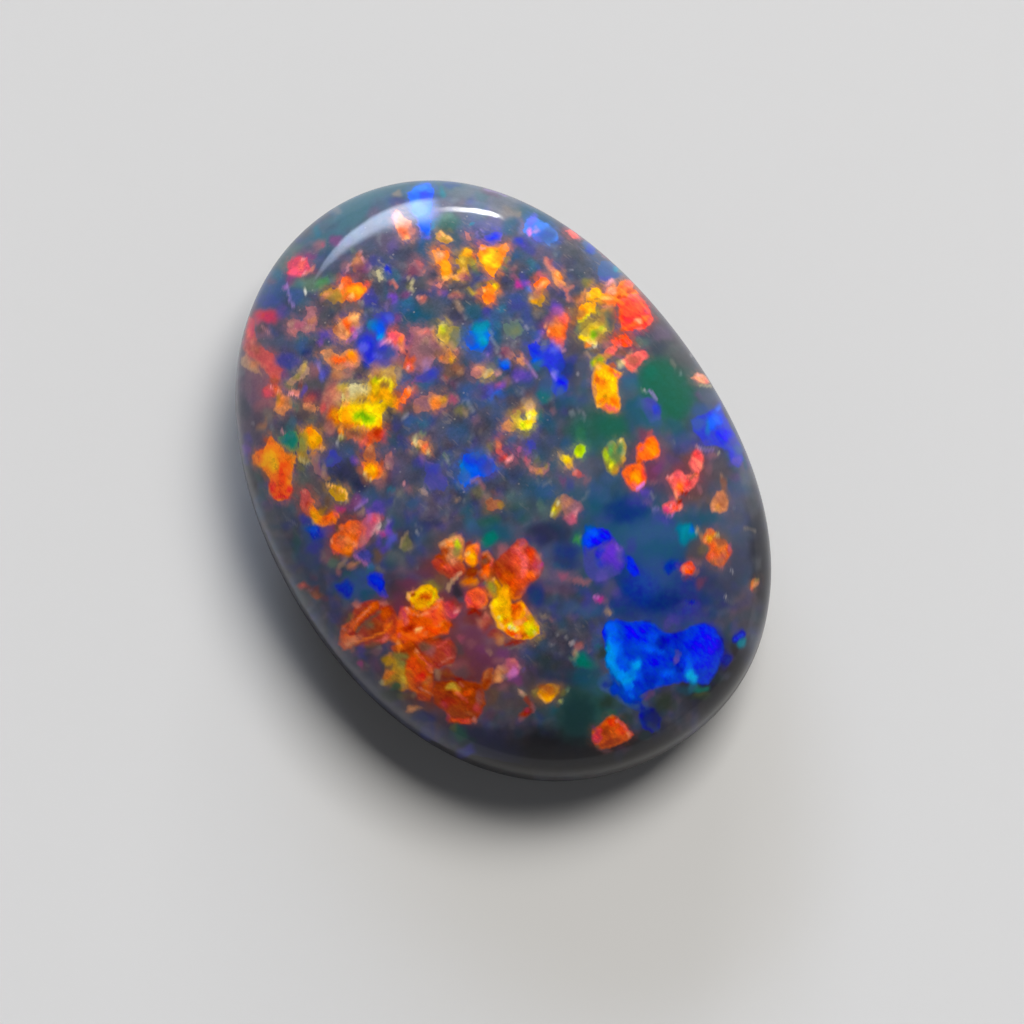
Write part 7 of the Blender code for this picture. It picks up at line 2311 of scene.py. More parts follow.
BOTTOM = [
    # Magenta speck, plum dusk
    soft("night_blue", 356, 660, 14, 10, strength=0.5),
    soft("plum", 374, 664, 9, 9, strength=0.4),
    soft("wine", 378, 672, 7, 9, strength=0.3),
    soft("wine", 361, 664, 6, 9, turn=10, strength=0.7),
    soft("magenta", 360, 664, 3.4, 6, turn=10, strength=0.75),
    soft("haze_warm", 367, 663, 3, 2.4, strength=0.35),
    soft("night_blue", 362, 676, 10, 6, strength=0.3),
    # Amber and orange flake
    patch("mustard", (382, 685), (383, 678), (386, 672), (385, 664), (390, 656), (402, 654),
          (410, 657), (409, 670), (408, 688), (402, 692), (394, 688), edge=2),
    soft("olive", 402, 662, 8, 6, strength=0.9, foil=0.9),
    soft("mustard", 390, 661, 6, 4, strength=0.7, foil=0.8),
    soft("brown", 389, 667, 5, 3, turn=-30, strength=0.8),
    soft("gold", 400, 667, 6, 2.4, turn=-20, strength=0.4, foil=0.9),
    soft("orange", 389, 674, 6, 6, turn=-30, strength=0.9, foil=1),
    soft("straw", 384, 680, 2.6, 4, turn=15, strength=0.6, foil=0.8),
    soft("peach", 387, 671, 4, 2, turn=-40, strength=0.4, foil=1),
    soft("gold", 403, 681, 7, 5, strength=0.7, foil=1),
    soft("tan", 402, 686, 6, 2.6, turn=20, strength=0.4, foil=0.8),
    soft("brown", 391, 684, 5, 3, strength=0.6),
    soft("forest", 394, 687, 5, 3, turn=15, strength=0.7),
    soft("moss", 392, 695, 12, 10, strength=0.7),
    soft("olive", 401, 697, 7, 6, strength=0.35),
    patch("burnt", (406, 660), (412, 655), (422, 658), (430, 662), (433, 669), (433, 680),
          (434, 690), (430, 700), (420, 700), (414, 692), (408, 688), (406, 676), edge=2),
    soft("flame", 413, 664, 7, 8, strength=0.95, foil=1),
    soft("orange", 411, 664, 4, 7, strength=0.4, foil=1),
    soft("burnt", 411, 677, 6, 6, strength=0.9, foil=1),
    soft("coral", 427, 666, 6, 5, turn=35, strength=0.6, foil=1),
    soft("peach", 430, 671, 3, 2.4, strength=0.7, foil=1),
    soft("scarlet", 421, 676, 6, 7, strength=0.7, foil=1),
    soft("russet", 421, 685, 6, 7, strength=0.7, foil=1),
    soft("copper", 428, 681, 4, 6, strength=0.6, foil=1),
    soft("coral", 432, 686, 3, 4, strength=0.5, foil=1),
    line("salmon", 2.6, (420, 688), (427, 692), (433, 695), strength=0.6, foil=1),
    soft("russet", 423, 698, 8, 5, strength=0.7, foil=0.8),
    soft("brown", 409, 696, 7, 6, strength=0.7),
    soft("tan", 413, 694, 4, 4, strength=0.35),
    # Broad ember mass
    soft("rosewood", 452, 668, 22, 12, strength=0.6),
    soft("russet", 440, 662, 8, 4, turn=-20, strength=0.7, foil=0.6),
    soft("copper", 450, 664, 6, 4, strength=0.4),
    soft("tan", 437, 674, 5, 7, strength=0.7),
    soft("umber", 462, 672, 9, 6, strength=0.5),
    soft("blood", 461, 680, 10, 4, turn=15, strength=0.5),
    soft("sienna", 447, 676, 9, 7, strength=0.5, foil=0.6),
    patch("sienna", (432, 690), (436, 682), (446, 680), (456, 681), (464, 680), (474, 682),
          (483, 684), (484, 694), (486, 704), (480, 714), (476, 722), (466, 724), (454, 724),
          (449, 716), (442, 709), (434, 703), edge=2.6),
    soft("burnt", 442, 692, 9, 6, strength=0.5, foil=1),
    soft("salmon", 462, 684, 4, 3, strength=0.5, foil=0.8),
    soft("gold", 453, 688, 8, 4, turn=5, strength=0.9, foil=1),
    soft("orange", 458, 692, 5, 3, turn=30, strength=0.6, foil=1),
    line("coral", 3.4, (457, 693), (462, 697), (467, 702), strength=0.5, foil=1),
    soft("flame", 466, 694, 4, 4, strength=0.8, foil=1),
    soft("burnt", 469, 693, 5, 4, strength=0.6, foil=1),
    soft("blood", 449, 703, 12, 7, strength=0.85, foil=1),
    soft("crimson", 443, 706, 7, 5, turn=30, strength=0.55, foil=1),
    soft("sienna", 461, 709, 9, 7, strength=0.9, foil=1),
    soft("burnt", 466, 707, 6, 6, strength=0.35, foil=1),
    soft("crimson", 478, 707, 6, 7, strength=0.6, foil=0.8),
    soft("rosewood", 480, 697, 5, 7, strength=0.6, foil=0.6),
    soft("copper", 468, 714, 7, 3, strength=0.35, foil=1),
    soft("crimson", 450, 717, 3, 5, turn=-25, strength=0.7, foil=0.8),
    soft("flame", 460, 721, 11, 3.4, foil=1),
    soft("coral", 466, 721, 8, 2.6, strength=0.5, foil=1),
    soft("salmon", 474, 719, 3, 4, strength=0.9, foil=0.8),
    # Dash, green and blue patches below
    patch("copper", (406, 712), (408, 706), (413, 705), (419, 706), (422, 708), (416, 711),
          (410, 713), edge=1.6),
    soft("apricot", 411, 708, 3, 2, strength=0.6, foil=1),
    soft("haze_warm", 420, 708, 3, 2, strength=0.5),
    soft("ink", 424, 718, 14, 8, strength=0.6),
    soft("indigo", 427, 734, 7, 10, strength=0.45),
    soft("forest", 459, 733, 9, 9, strength=0.75),
    soft("olive", 454, 728, 4, 4, strength=0.45),
    soft("abyss", 466, 742, 9, 5, strength=0.6),
    soft("indigo", 467, 752, 10, 8, strength=0.9, foil=0.2),
    soft("royal", 468, 753, 5, 4, strength=0.25),
    # Copper and orchid streak
    soft("wine", 488, 662, 16, 7, strength=0.6),
    patch("sienna", (482, 690), (482, 678), (484, 671), (492, 668), (494, 676), (492, 684),
          (487, 690), edge=2.4, strength=0.85, foil=0.7),
    soft("copper", 487, 676, 4, 7, strength=0.5, foil=0.8),
    patch("copper", (492, 682), (494, 672), (498, 665), (504, 666), (508, 672), (504, 679),
          (499, 683), edge=2.2, foil=0.8),
    soft("apricot", 499, 677, 4, 5, turn=30, strength=0.35, foil=0.8),
    soft("tan", 502, 667, 5, 3, turn=-20, strength=0.5),
    soft("haze_warm", 506, 675, 5, 4, turn=-35, strength=0.7),
    patch("rose", (503, 666), (506, 659), (515, 658), (519, 662), (519, 670), (516, 677),
          (509, 681), (507, 673), edge=2, foil=0.5),
    soft("orchid", 513, 672, 6, 6, turn=30, strength=0.75, foil=0.5),
    soft("salmon", 515, 662, 4, 3, strength=0.6, foil=0.6),
    soft("blush", 520, 666, 2, 3, turn=-25, strength=0.5),
    soft("purple", 513, 679, 6, 4, strength=0.35),
    soft("plum", 516, 682, 6, 5, strength=0.7),
    soft("mauve_slate", 523, 670, 4, 4, strength=0.8),
    soft("purple", 524, 670, 3, 3, strength=0.3),
    soft("rosewood", 502, 687, 6, 6, strength=0.5),
    soft("brown", 494, 696, 9, 9, strength=0.6),
    soft("umber", 508, 704, 14, 12, strength=0.35),
    soft("wine", 490, 714, 8, 6, strength=0.35),
    # Dim red hook
    patch("tan", (518, 689), (522, 690), (527, 695), (523, 697), (519, 695), edge=1.4,
          strength=0.9),
    soft("blush", 520, 692, 2, 2.4, turn=-40, strength=0.4),
    line("russet", 5, (526, 698), (531, 704), (531, 711), (525, 715), strength=0.6),
    soft("russet", 524, 713, 6, 5, turn=-35, strength=0.85, foil=0.7),
    soft("crimson", 526, 710, 4, 3, strength=0.5),
    soft("rosewood", 534, 707, 3, 7, turn=-15, strength=0.7),
    soft("rosewood", 522, 719, 4, 3, strength=0.7),
    # Golden pool with its beads
    soft("brown", 548, 692, 22, 13, strength=0.8),
    soft("olive", 535, 691, 5, 4, strength=0.7, foil=0.6),
    soft("tan", 534, 690, 3, 2.4, strength=0.3),
    patch("amber", (537, 694), (540, 688), (547, 685), (554, 684), (559, 687), (559, 692),
          (555, 698), (551, 702), (546, 703), (541, 699), edge=2.4),
    soft("gold", 543, 692, 4, 4, strength=0.5, foil=1),
    soft("copper", 554, 688, 5, 4, strength=0.5, foil=1),
    soft("orange", 549, 696, 4, 4, strength=0.7, foil=1),
    line("apricot", 2.4, (538, 695), (542, 699), (545, 702), strength=0.5),
    soft("olive", 562, 694, 5, 4, strength=0.6),
    soft("brown", 557, 698, 4, 4, strength=0.7),
    soft("straw", 561, 702, 4, 3, turn=-15, strength=0.9, foil=0.7),
    soft("lemon", 560, 702, 2.4, 2, strength=0.3, foil=0.7),
    soft("sage", 568, 691, 3, 3, strength=0.9),
    soft("straw", 568, 691, 2, 2, strength=0.4),
    soft("brown", 557, 706, 4, 3, strength=0.5),
    # Deep teal side
    soft("abyss", 578, 715, 22, 30, strength=0.9),
    soft("deep_teal", 586, 676, 18, 12, strength=0.7),
    soft("sea", 582, 663, 12, 6, strength=0.7, foil=0.3),
    soft("sea", 592, 664, 8, 8, strength=0.35),
    soft("haze", 574, 659, 5, 3, strength=0.5),
    soft("dusk", 568, 674, 6, 7, strength=0.4),
    soft("sage", 590, 677, 3, 2.4, strength=0.3),
    soft("moss", 607, 702, 12, 9, strength=0.7),
    soft("forest", 613, 712, 7, 4, strength=0.6),
    soft("moss", 628, 722, 8, 9, strength=0.5),
    # Fiery pentagon
    patch("burnt", (592, 737), (593, 729), (599, 726), (604, 721), (608, 717), (613, 715),
          (618, 718), (624, 725), (630, 732), (633, 735), (628, 740), (621, 743), (612, 747),
          (602, 749), (596, 746), (593, 741), edge=1.8),
    soft("flame", 612, 722, 8, 5, foil=1),
    soft("scarlet", 608, 722, 4, 5, turn=30, strength=0.4, foil=1),
    soft("flame", 622, 730, 7, 6, turn=40, strength=0.9, foil=1),
    soft("sienna", 605, 733, 6, 7, strength=0.8, foil=1),
    line("coral", 3, (617, 720), (624, 726), (631, 735), strength=0.9, foil=1),
    soft("peach", 629, 734, 3, 3, strength=0.6, foil=1),
    soft("peach", 617, 719, 2.4, 2, strength=0.5, foil=1),
    soft("sienna", 612, 742, 12, 4, turn=-10, strength=0.9, foil=0.8),
    soft("crimson", 597, 736, 4.4, 9, foil=0.9),
    soft("scarlet", 598, 734, 3, 6, strength=0.5, foil=0.9),
    soft("plum", 593, 729, 3, 3, strength=0.6),
    soft("brown", 598, 746, 4, 3, strength=0.7),
    soft("rosewood", 605, 750, 9, 3, strength=0.5),
    soft("copper", 611, 716, 4, 2, strength=0.5),
    soft("plum", 623, 750, 9, 6, strength=0.3),
    soft("night_blue", 620, 757, 8, 6, strength=0.4),
]

SEAM = [
    # Below the hollow wedge
    soft("mauve_slate", 350, 655, 8, 6, strength=0.5),
    soft("violet", 363, 650, 7, 7, strength=0.6),
    soft("indigo", 366, 656, 6, 4, strength=0.5),
    soft("plum", 357, 652, 5, 4, strength=0.4),
    soft("salmon", 353, 648, 3, 2.4, strength=0.5),
    soft("brown", 373, 645, 9, 4, strength=0.7),
    soft("salmon", 383, 638, 6, 2.4, turn=-10, strength=0.5, foil=1),
    soft("rosewood", 378, 652, 6, 6, strength=0.5),
    soft("haze_warm", 378, 649, 3, 3, strength=0.6),
    soft("wine", 391, 646, 5, 5, strength=0.6),
    # Orange bridge between the broad fire and the amber flake
    patch("russet", (392, 646), (400, 640), (412, 644), (424, 640), (438, 640), (452, 640),
          (458, 650), (454, 662), (440, 668), (430, 668), (416, 662), (404, 660), (394, 656),
          edge=3, foil=0.9),
    soft("sienna", 408, 650, 12, 8, strength=0.9, foil=0.9),
    patch("orange", (395, 643), (398, 639), (402, 641), (403, 650), (400, 654), (397, 649),
          edge=1.4),
    soft("peach", 399, 643, 2.4, 3, strength=0.6, foil=1),
    soft("burnt", 408, 645, 5, 5, strength=0.6, foil=1),
    soft("olive", 401, 657, 9, 5, strength=0.9, foil=0.9),
    soft("mustard", 389, 660, 5, 5, strength=0.7, foil=0.9),
    soft("copper", 391, 656, 4, 3, strength=0.8, foil=0.9),
    soft("burnt", 418, 659, 12, 6, turn=30, strength=0.9, foil=1),
    soft("flame", 412, 662, 6, 5, strength=0.9, foil=1),
    soft("peach", 415, 653, 3, 3, strength=0.8, foil=1),
    line("coral", 2.6, (419, 656), (425, 661), (431, 666), strength=0.6, foil=1),
    soft("brown", 424, 647, 7, 5, strength=0.8, foil=0.7),
    soft("rosewood", 430, 652, 6, 6, strength=0.6),
    soft("russet", 444, 650, 9, 10, turn=20, strength=0.85, foil=0.8),
    soft("crimson", 448, 652, 5, 7, strength=0.35, foil=0.8),
    line("coral", 2.6, (438, 647), (443, 644), (448, 639), strength=0.45, foil=0.8),
    line("salmon", 2.4, (440, 664), (447, 660), (454, 656), strength=0.5),
    soft("umber", 459, 650, 7, 9, strength=0.7),
    soft("rose", 462, 639, 5, 4, strength=0.5),
    # Rose dusk below the golden flake
    soft("wine", 478, 650, 16, 11, strength=0.7),
    soft("rosewood", 472, 645, 6, 5, strength=0.4),
    soft("plum", 483, 648, 7, 7, strength=0.4),
    soft("tan", 489, 651, 3, 5, strength=0.45),
    soft("copper", 499, 640, 7, 7, strength=0.8, foil=0.6),
    soft("tan", 500, 640, 4, 4, strength=0.3),
    soft("blood", 515, 643, 12, 3, strength=0.6),
    line("haze_warm", 2.4, (509, 649), (516, 647), (524, 648), strength=0.5),
    soft("mauve_slate", 524, 648, 3, 2.4, strength=0.7),
    soft("plum", 503, 653, 9, 5, strength=0.6),
    soft("rosewood", 500, 660, 9, 5, strength=0.5),
    soft("moss", 548, 662, 16, 8, strength=0.4),
    soft("ash", 551, 643, 3.4, 2, turn=15, strength=0.4),
    soft("haze", 561, 652, 4, 4, strength=0.25),
    soft("slate", 545, 646, 12, 6, strength=0.4),
    # Tan sliver over the sea-green pool
    soft("ash", 573, 643, 2.4, 3, strength=0.8),
    soft("salmon", 579, 646, 4, 5, strength=0.6),
    soft("rosewood", 579, 646, 5, 6, strength=0.5),
    soft("tan", 577, 654, 4, 6, turn=15, strength=0.8),
    soft("straw", 579, 655, 1.8, 3, strength=0.7),
    soft("sage", 571, 659, 6, 4, strength=0.7),
    soft("sea", 584, 660, 9, 9, strength=0.95, foil=0.3),
    soft("teal", 573, 664, 6, 3, strength=0.5),
    soft("rosewood", 590, 650, 3, 3, strength=0.3),
    soft("denim", 596, 643, 6, 9, strength=0.7),
    soft("sea", 598, 648, 5, 4, strength=0.3),
    soft("moss", 601, 655, 4, 7, strength=0.7),
    # Middle of the great blue flake
    soft("peacock", 606, 647, 3, 6, strength=0.7),
    soft("electric", 611, 650, 3.4, 9, strength=0.9, foil=0.5),
    soft("azure", 616, 643, 6, 12, foil=0.5),
    soft("azure", 618, 655, 7, 8, strength=0.8, foil=0.5),
    soft("cobalt", 630, 651, 7, 7, strength=0.8, foil=0.4),
    soft("blue_flash", 642, 641, 9, 6, strength=0.9, foil=0.5),
    soft("azure", 651, 649, 12, 5, strength=0.9, foil=0.5),
    soft("azure", 661, 652, 5, 4, strength=0.6, foil=0.5),
    soft("lapis", 673, 644, 5, 7, strength=0.35, foil=0.4),
    soft("violet", 676, 655, 5, 6, strength=0.7, foil=0.4),
    soft("blue_flash", 710, 646, 10, 10, foil=0.5),
    soft("azure", 692, 659, 8, 6, strength=0.5, foil=0.5),
    soft("lapis", 721, 646, 4, 8, strength=0.8),
    soft("dusk", 728, 648, 4, 9, strength=0.8),
    soft("cobalt", 714, 665, 6, 5, strength=0.6, foil=0.3),
    soft("lapis", 726, 660, 5, 7, strength=0.7),
]

TOUCHES = [
    # Quieter yellows and oranges in the upper right
    soft("mustard", 588, 326, 9, 8, strength=0.55, foil=0.8),
    soft("mustard", 602, 338, 7, 9, strength=0.45, foil=0.8),
    soft("olive", 600, 317, 8, 7, strength=0.5, foil=0.6),
    soft("rust", 577, 314, 8, 7, strength=0.65, foil=0.6),
    soft("plum", 556, 314, 8, 6, turn=-30, strength=0.6, foil=0.5),
    soft("rosewood", 551, 322, 6, 6, strength=0.5, foil=0.6),
    soft("rosewood", 537, 292, 7, 9, strength=0.6, foil=0.6),
    soft("tan", 436, 256, 9, 9, strength=0.5, foil=0.7),
    soft("olive", 619, 454, 7, 10, strength=0.6, foil=0.6),
    soft("sea", 621, 449, 4, 6, strength=0.5, foil=0.5),
    soft("rust", 722, 499, 8, 10, strength=0.7, foil=0.6),
    soft("rust", 720, 559, 8, 6, strength=0.7, foil=0.6),
    soft("olive", 587, 327, 10, 9, strength=0.5, foil=0.6),
    soft("rosewood", 553, 323, 9, 8, strength=0.6, foil=0.6),
    soft("olive", 601, 333, 8, 9, strength=0.4, foil=0.6),
    soft("rust", 582, 297, 8, 7, strength=0.45, foil=0.6),
    soft("rust", 632, 359, 9, 7, strength=0.55, foil=0.6),
    soft("olive", 615, 458, 7, 8, strength=0.5, foil=0.5),
    soft("rust", 600, 316, 7, 7, strength=0.4, foil=0.6),
    soft("rust", 601, 339, 6, 6, strength=0.4, foil=0.6),
    soft("forest", 618, 457, 7, 9, strength=0.4, foil=0.5),
    soft("plum", 551, 317, 7, 6, strength=0.5, foil=0.5),
    soft("brown", 573, 313, 7, 6, strength=0.5, foil=0.6),
    soft("brown", 720, 540, 7, 7, strength=0.6, foil=0.6),
    # Quieter blues in the middle
    soft("smoke", 433, 324, 7, 7, strength=0.7, foil=0.3),
    soft("deep_teal", 479, 325, 8, 6, strength=0.5, foil=0.4),
    soft("violet", 385, 363, 16, 6, turn=-15, strength=0.6, foil=0.4),
    soft("teal", 480, 326, 9, 7, strength=0.6, foil=0.4),
    soft("tan", 528, 404, 8, 7, strength=0.5, foil=0.6),
    soft("haze_warm", 530, 402, 8, 7, strength=0.4, foil=0.4),
    soft("slate", 492, 366, 9, 8, strength=0.6, foil=0.3),
    soft("rosewood", 396, 362, 8, 7, strength=0.6, foil=0.6),
    soft("peacock", 481, 330, 9, 10, strength=0.7, foil=0.4),
    soft("denim", 469, 339, 9, 8, strength=0.6, foil=0.4),
    soft("royal", 474, 459, 12, 10, strength=0.5, foil=0.4),
    soft("denim", 480, 453, 9, 8, strength=0.7, foil=0.4),
    soft("denim", 463, 476, 9, 8, strength=0.6, foil=0.4),
    soft("denim", 548, 237, 10, 9, turn=30, strength=0.7, foil=0.4),
    # Left side
    soft("rosewood", 376, 370, 9, 8, strength=0.6, foil=0.7),
    soft("tan", 391, 373, 8, 7, strength=0.6, foil=0.7),
    soft("haze_warm", 268, 417, 9, 9, strength=0.7),
    soft("copper", 262, 424, 6, 4, turn=-30, strength=0.5),
    soft("saffron", 272, 461, 7, 6, strength=0.8, foil=1),
    soft("orange", 346, 551, 8, 7, strength=0.9, foil=1),
    soft("tangerine", 338, 547, 6, 5, strength=0.6, foil=1),
    soft("salmon", 353, 566, 7, 6, strength=0.6, foil=0.5),
    soft("saffron", 272, 467, 6, 6, strength=0.7, foil=1),
    soft("amber", 265, 463, 6, 5, strength=0.9, foil=0.4),
    soft("gold", 343, 388, 7, 7, strength=0.7, foil=0.9),
    soft("rust", 368, 477, 6, 7, strength=0.5, foil=0.8),
    soft("haze_warm", 400, 493, 9, 8, strength=0.5, foil=0.3),
    soft("salmon", 355, 528, 9, 8, strength=0.4, foil=0.8),
    soft("peach", 344, 543, 7, 6, strength=0.4, foil=0.9),
    soft("amber", 318, 515, 7, 6, strength=0.6, foil=1),
    # The fire at the lower left
    soft("peach", 352, 641, 9, 6, turn=-20, strength=0.7, foil=0.9),
    soft("orange", 469, 581, 9, 7, strength=0.6, foil=1),
    soft("salmon", 483, 620, 8, 7, strength=0.6, foil=0.8),
    soft("tangerine", 522, 582, 9, 10, strength=0.55, foil=1),
    soft("brown", 552, 690, 8, 9, strength=0.5, foil=0.6),
    soft("burnt", 545, 691, 6, 6, strength=0.5, foil=0.8),
    soft("rust", 543, 690, 7, 6, strength=0.6, foil=0.6),
    soft("ember", 476, 596, 10, 9, strength=0.5, foil=1),
    soft("russet", 453, 607, 9, 7, strength=0.5, foil=0.8),
    soft("violet", 640, 500, 14, 12, strength=0.4),
    # The great blue flake
    soft("amethyst", 610, 554, 9, 14, strength=0.6, foil=0.3),
    soft("amethyst", 617, 566, 7, 8, strength=0.4, foil=0.2),
    soft("electric", 630, 674, 7, 8, strength=0.75, foil=0.4),
    soft("cyan", 633, 680, 4, 4, strength=0.5, foil=0.4),
    soft("cyan", 693, 677, 6, 7, strength=0.8, foil=0.5),
    soft("blue_flash", 706, 645, 20, 20, strength=0.7, foil=0.2),
    soft("blue_flash", 634, 632, 12, 9, turn=15, strength=0.6, foil=0.2),
    soft("azure", 645, 648, 14, 8, strength=0.4, foil=0.4),
    soft("electric", 613, 648, 5, 12, turn=-8, strength=0.5, foil=0.4),
    soft("indigo", 688, 614, 28, 9, strength=0.5),
    soft("night_blue", 653, 718, 11, 14, strength=0.65),
]

STROKES = (BODY_AND_PAINTED_LIGHT + UPPER_LEFT + TOP + MIDDLE + RIGHT + LEFT + CENTRE + CENTRE_RIGHT + LOWER_LEFT
           + LOWER_RIM_LEFT + LOWER_CENTRE + BLUE_SIDE + RIGHT_RIM + BLUE_FLAKE + BOTTOM + SEAM
           + TOUCHES)

# Real sizes of the stone, in metres, as in the CAD model
LENGTH = 0.0140
WIDTH = 0.0100
HEIGHT = 0.0038
GIRDLE_HEIGHT = 0.00145
SIDE_WALL = 0.00030
DOME_FULLNESS = 2.25
BACK_FULLNESS = 1.65
SPOT_SHARE = 0.42
THREE_LOBES = -0.0125
THREE_LOBES_TURN = math.radians(19)
FOUR_LOBES = -0.0122
FOUR_LOBES_TURN = math.radians(4)

# Fineness of the surface
CELLS_ACROSS = 246
CELLS_ALONG = 336
WALL_RINGS = 3
BACK_RINGS = 8

# Where the dome and the back lie in the texture square
DOME_UV = 0.84
BACK_UV = (0.92, 0.5)
BACK_UV_SIZE = (0.07, 0.10)
BACK_UV_SHRINK = 0.6                    # how much smaller the resting spot is there than the rim

# The photo's view of the stone
CAMERA_TURN = math.radians(29.56)
CAMERA_HEIGHT = math.radians(71)
CAMERA_TARGET = (-0.034e-3, -0.763e-3, 1.366e-3)
CAMERA_DISTANCE = 0.120
CAMERA_CLIP = (0.002, 20)
IMAGE_SIZE = 1024
FOCAL_PIXELS = 5646
SENSOR = 36

# How squarely a face has to look at the photo's view for the marks to show on it, and how high
# it has to lie as a share of the girdle's height: from none to full
FACING_FADE = (0.02, 0.16)
GIRDLE_FADE = (0.9, 1.05)

# The sides that the photo doesn't show: angular chips of dim colour, in the photo's pixels,
# unrolled round the rim
HIDDEN_KINDS = ("denim", "teal", "ember", "indigo", "sage", "rosewood", "copper", "violet",
                "royal", "russet")
FAR_SIDE = math.pi / 2 - CAMERA_TURN    # the direction away from the camera
RIM_RADIUS = 6.0                        # in millimetres
PIXELS_PER_MM = 47
HIDDEN_DIM = 0.8                        # how bright the body is there
CHIP_LAYERS = ((26, 31), (15, 36))      # size and seed
CHIP_BENDS = (((14, 9, 71),), ((14, 9, 72),))
CHIP_KIND_STEP = 997                    # mixes a chip's number before it picks a kind
CHIPS_LEFT_OUT = 0.66
CHIP_EDGE = (0.0, 5.0)
CHIP_GLOW = 0.45
CHIP_GLOW_WAVES = ((8, 0.25, 73),)
VEIN_WAVES = ((34, 1, 74), (12, 0.5, 75))
VEIN_FADE = (0.1, 0.9)
POTCH_WAVES = ((40, 0.12, 76), (13, 0.05, 77))
POTCH_FADE = (1.85, 1.45)               # heights in millimetres where the body turns to potch


def view_axes():
    """The camera's right, up and forward directions."""
    sin_turn, cos_turn = math.sin(CAMERA_TURN), math.cos(CAMERA_TURN)
    sin_height, cos_height = math.sin(CAMERA_HEIGHT), math.cos(CAMERA_HEIGHT)
    right = np.array((cos_turn, -sin_turn, 0))
    forward = np.array((sin_turn * cos_height, cos_turn * cos_height, -sin_height))
    return right, np.cross(right, forward), forward


def camera_place():
    return np.array(CAMERA_TARGET) - view_axes()[2] * CAMERA_DISTANCE


def photo_places(points):
    """Where each point of the stone shows in the photo, in pixels from its top left."""
    right, up, forward = view_axes()
    seen = points - camera_place()
    size = FOCAL_PIXELS / (seen @ forward)
    middle = IMAGE_SIZE / 2
    return middle + size * (seen @ right), middle - size * (seen @ up)


def cut_oval(x, y):
    """Draws round sections out into the hand-cut oval, as the CAD model does."""
    share = np.hypot(x, y) / (WIDTH / 2)
    angle = np.arctan2(y, x)
    lobes = THREE_LOBES * np.cos(3 * (angle - THREE_LOBES_TURN))
    lobes += FOUR_LOBES * np.cos(4 * (angle - FOUR_LOBES_TURN))
    swell = 1 + share ** 2 * lobes
    return x * swell, y * swell * LENGTH / WIDTH


def dome_grid():
    """Grid corners of the dome on a round plan of radius 1, and their places in a square."""
    u, v = np.meshgrid(np.linspace(-1, 1, CELLS_ACROSS + 1), np.linspace(-1, 1, CELLS_ALONG + 1))
    return u * np.sqrt(1 - v * v / 2), v * np.sqrt(1 - u * u / 2), (u + 1) / 2, (v + 1) / 2


def rim_loop():
    """Numbers of the grid corners round the edge of the dome, counter-clockwise from above."""
    wide, long = CELLS_ACROSS + 1, CELLS_ALONG + 1
    bottom = [i for i in range(wide - 1)]
    right = [wide - 1 + j * wide for j in range(long - 1)]
    top = [(long - 1) * wide + i for i in range(wide - 1, 0, -1)]
    left = [j * wide for j in range(long - 1, 0, -1)]
    return np.array(bottom + right + top + left)


def back_place(angle, inward=1):
    """Places on the back's oval in the texture square, where inward is 1 at the rim."""
    return np.stack((BACK_UV[0] + BACK_UV_SIZE[0] * inward * np.cos(angle),
                     BACK_UV[1] + BACK_UV_SIZE[1] * inward * np.sin(angle)), 1)


def below_ring(ring):
    """Distance from the middle and height of a ring of corners on the wall or the back."""
    radius = WIDTH / 2
    if ring <= WALL_RINGS:
        return radius, GIRDLE_HEIGHT + SIDE_WALL - SIDE_WALL * ring / WALL_RINGS
    turn = (1 - (ring - WALL_RINGS) / BACK_RINGS) * math.pi / 2
    bulge = math.sin(turn) ** (2 / BACK_FULLNESS)
    drop = max(math.cos(turn), 0) ** (2 / BACK_FULLNESS)
    spot = radius * SPOT_SHARE
    return spot + (radius - spot) * bulge, GIRDLE_HEIGHT * (1 - drop)


def stone_points():
    """All corners of the stone with their texture places, and the number of dome corners."""
    dome_base = GIRDLE_HEIGHT + SIDE_WALL
    dx, dy, u, v = (item.ravel() for item in dome_grid())
    share = np.minimum(np.hypot(dx, dy), 1)
    angle = np.arctan2(dy, dx)
    turn = share * math.pi / 2
    across = np.sin(turn) ** (2 / DOME_FULLNESS)
    up = np.maximum(np.cos(turn), 0) ** (2 / DOME_FULLNESS)
    up[share > 1 - TINY] = 0
    rows = [(WIDTH / 2 * across, angle, dome_base + (HEIGHT - dome_base) * up)]
    places = [np.stack((u * DOME_UV, v), 1)]
    rim_angle = angle[rim_loop()]
    rings = WALL_RINGS + BACK_RINGS
    for ring in range(1, rings + 1):
        out, height = below_ring(ring)
        rows.append((np.full(len(rim_angle), out), rim_angle, np.full(len(rim_angle), height)))
        places.append(back_place(rim_angle, 1 - ring / rings * BACK_UV_SHRINK))
    out, angle, height = (np.concatenate(part) for part in zip(*rows))
    x, y = cut_oval(out * np.cos(angle), out * np.sin(angle))
    x = (x - (x.max() + x.min()) / 2) * WIDTH / (x.max() - x.min())
    y = (y - (y.max() + y.min()) / 2) * LENGTH / (y.max() - y.min())
    return np.stack((x, y, height), 1), np.concatenate(places), len(share)


def stone_faces(dome_count):
    """Corner numbers of every face: the dome's grid, the wall and back, then the resting spot."""
    wide = CELLS_ACROSS + 1
    faces = []
    for j in range(CELLS_ALONG):
        for i in range(CELLS_ACROSS):
            start = j * wide + i
            faces.append((start, start + 1, start + 1 + wide, start + wide))
    above = list(rim_loop())
    count = len(above)
    for ring in range(WALL_RINGS + BACK_RINGS):
        below = [dome_count + ring * count + k for k in range(count)]
        for k in range(count):
            after = (k + 1) % count
            faces.append((above[after], above[k], below[k], below[after]))
        above = below
    faces.append(tuple(reversed(above)))
    return faces


def screen_to_linear(colour):
    """The standard curve from screen values to light."""
    return np.where(colour <= 0.04045, colour / 12.92, ((colour + 0.055) / 1.055) ** 2.4)


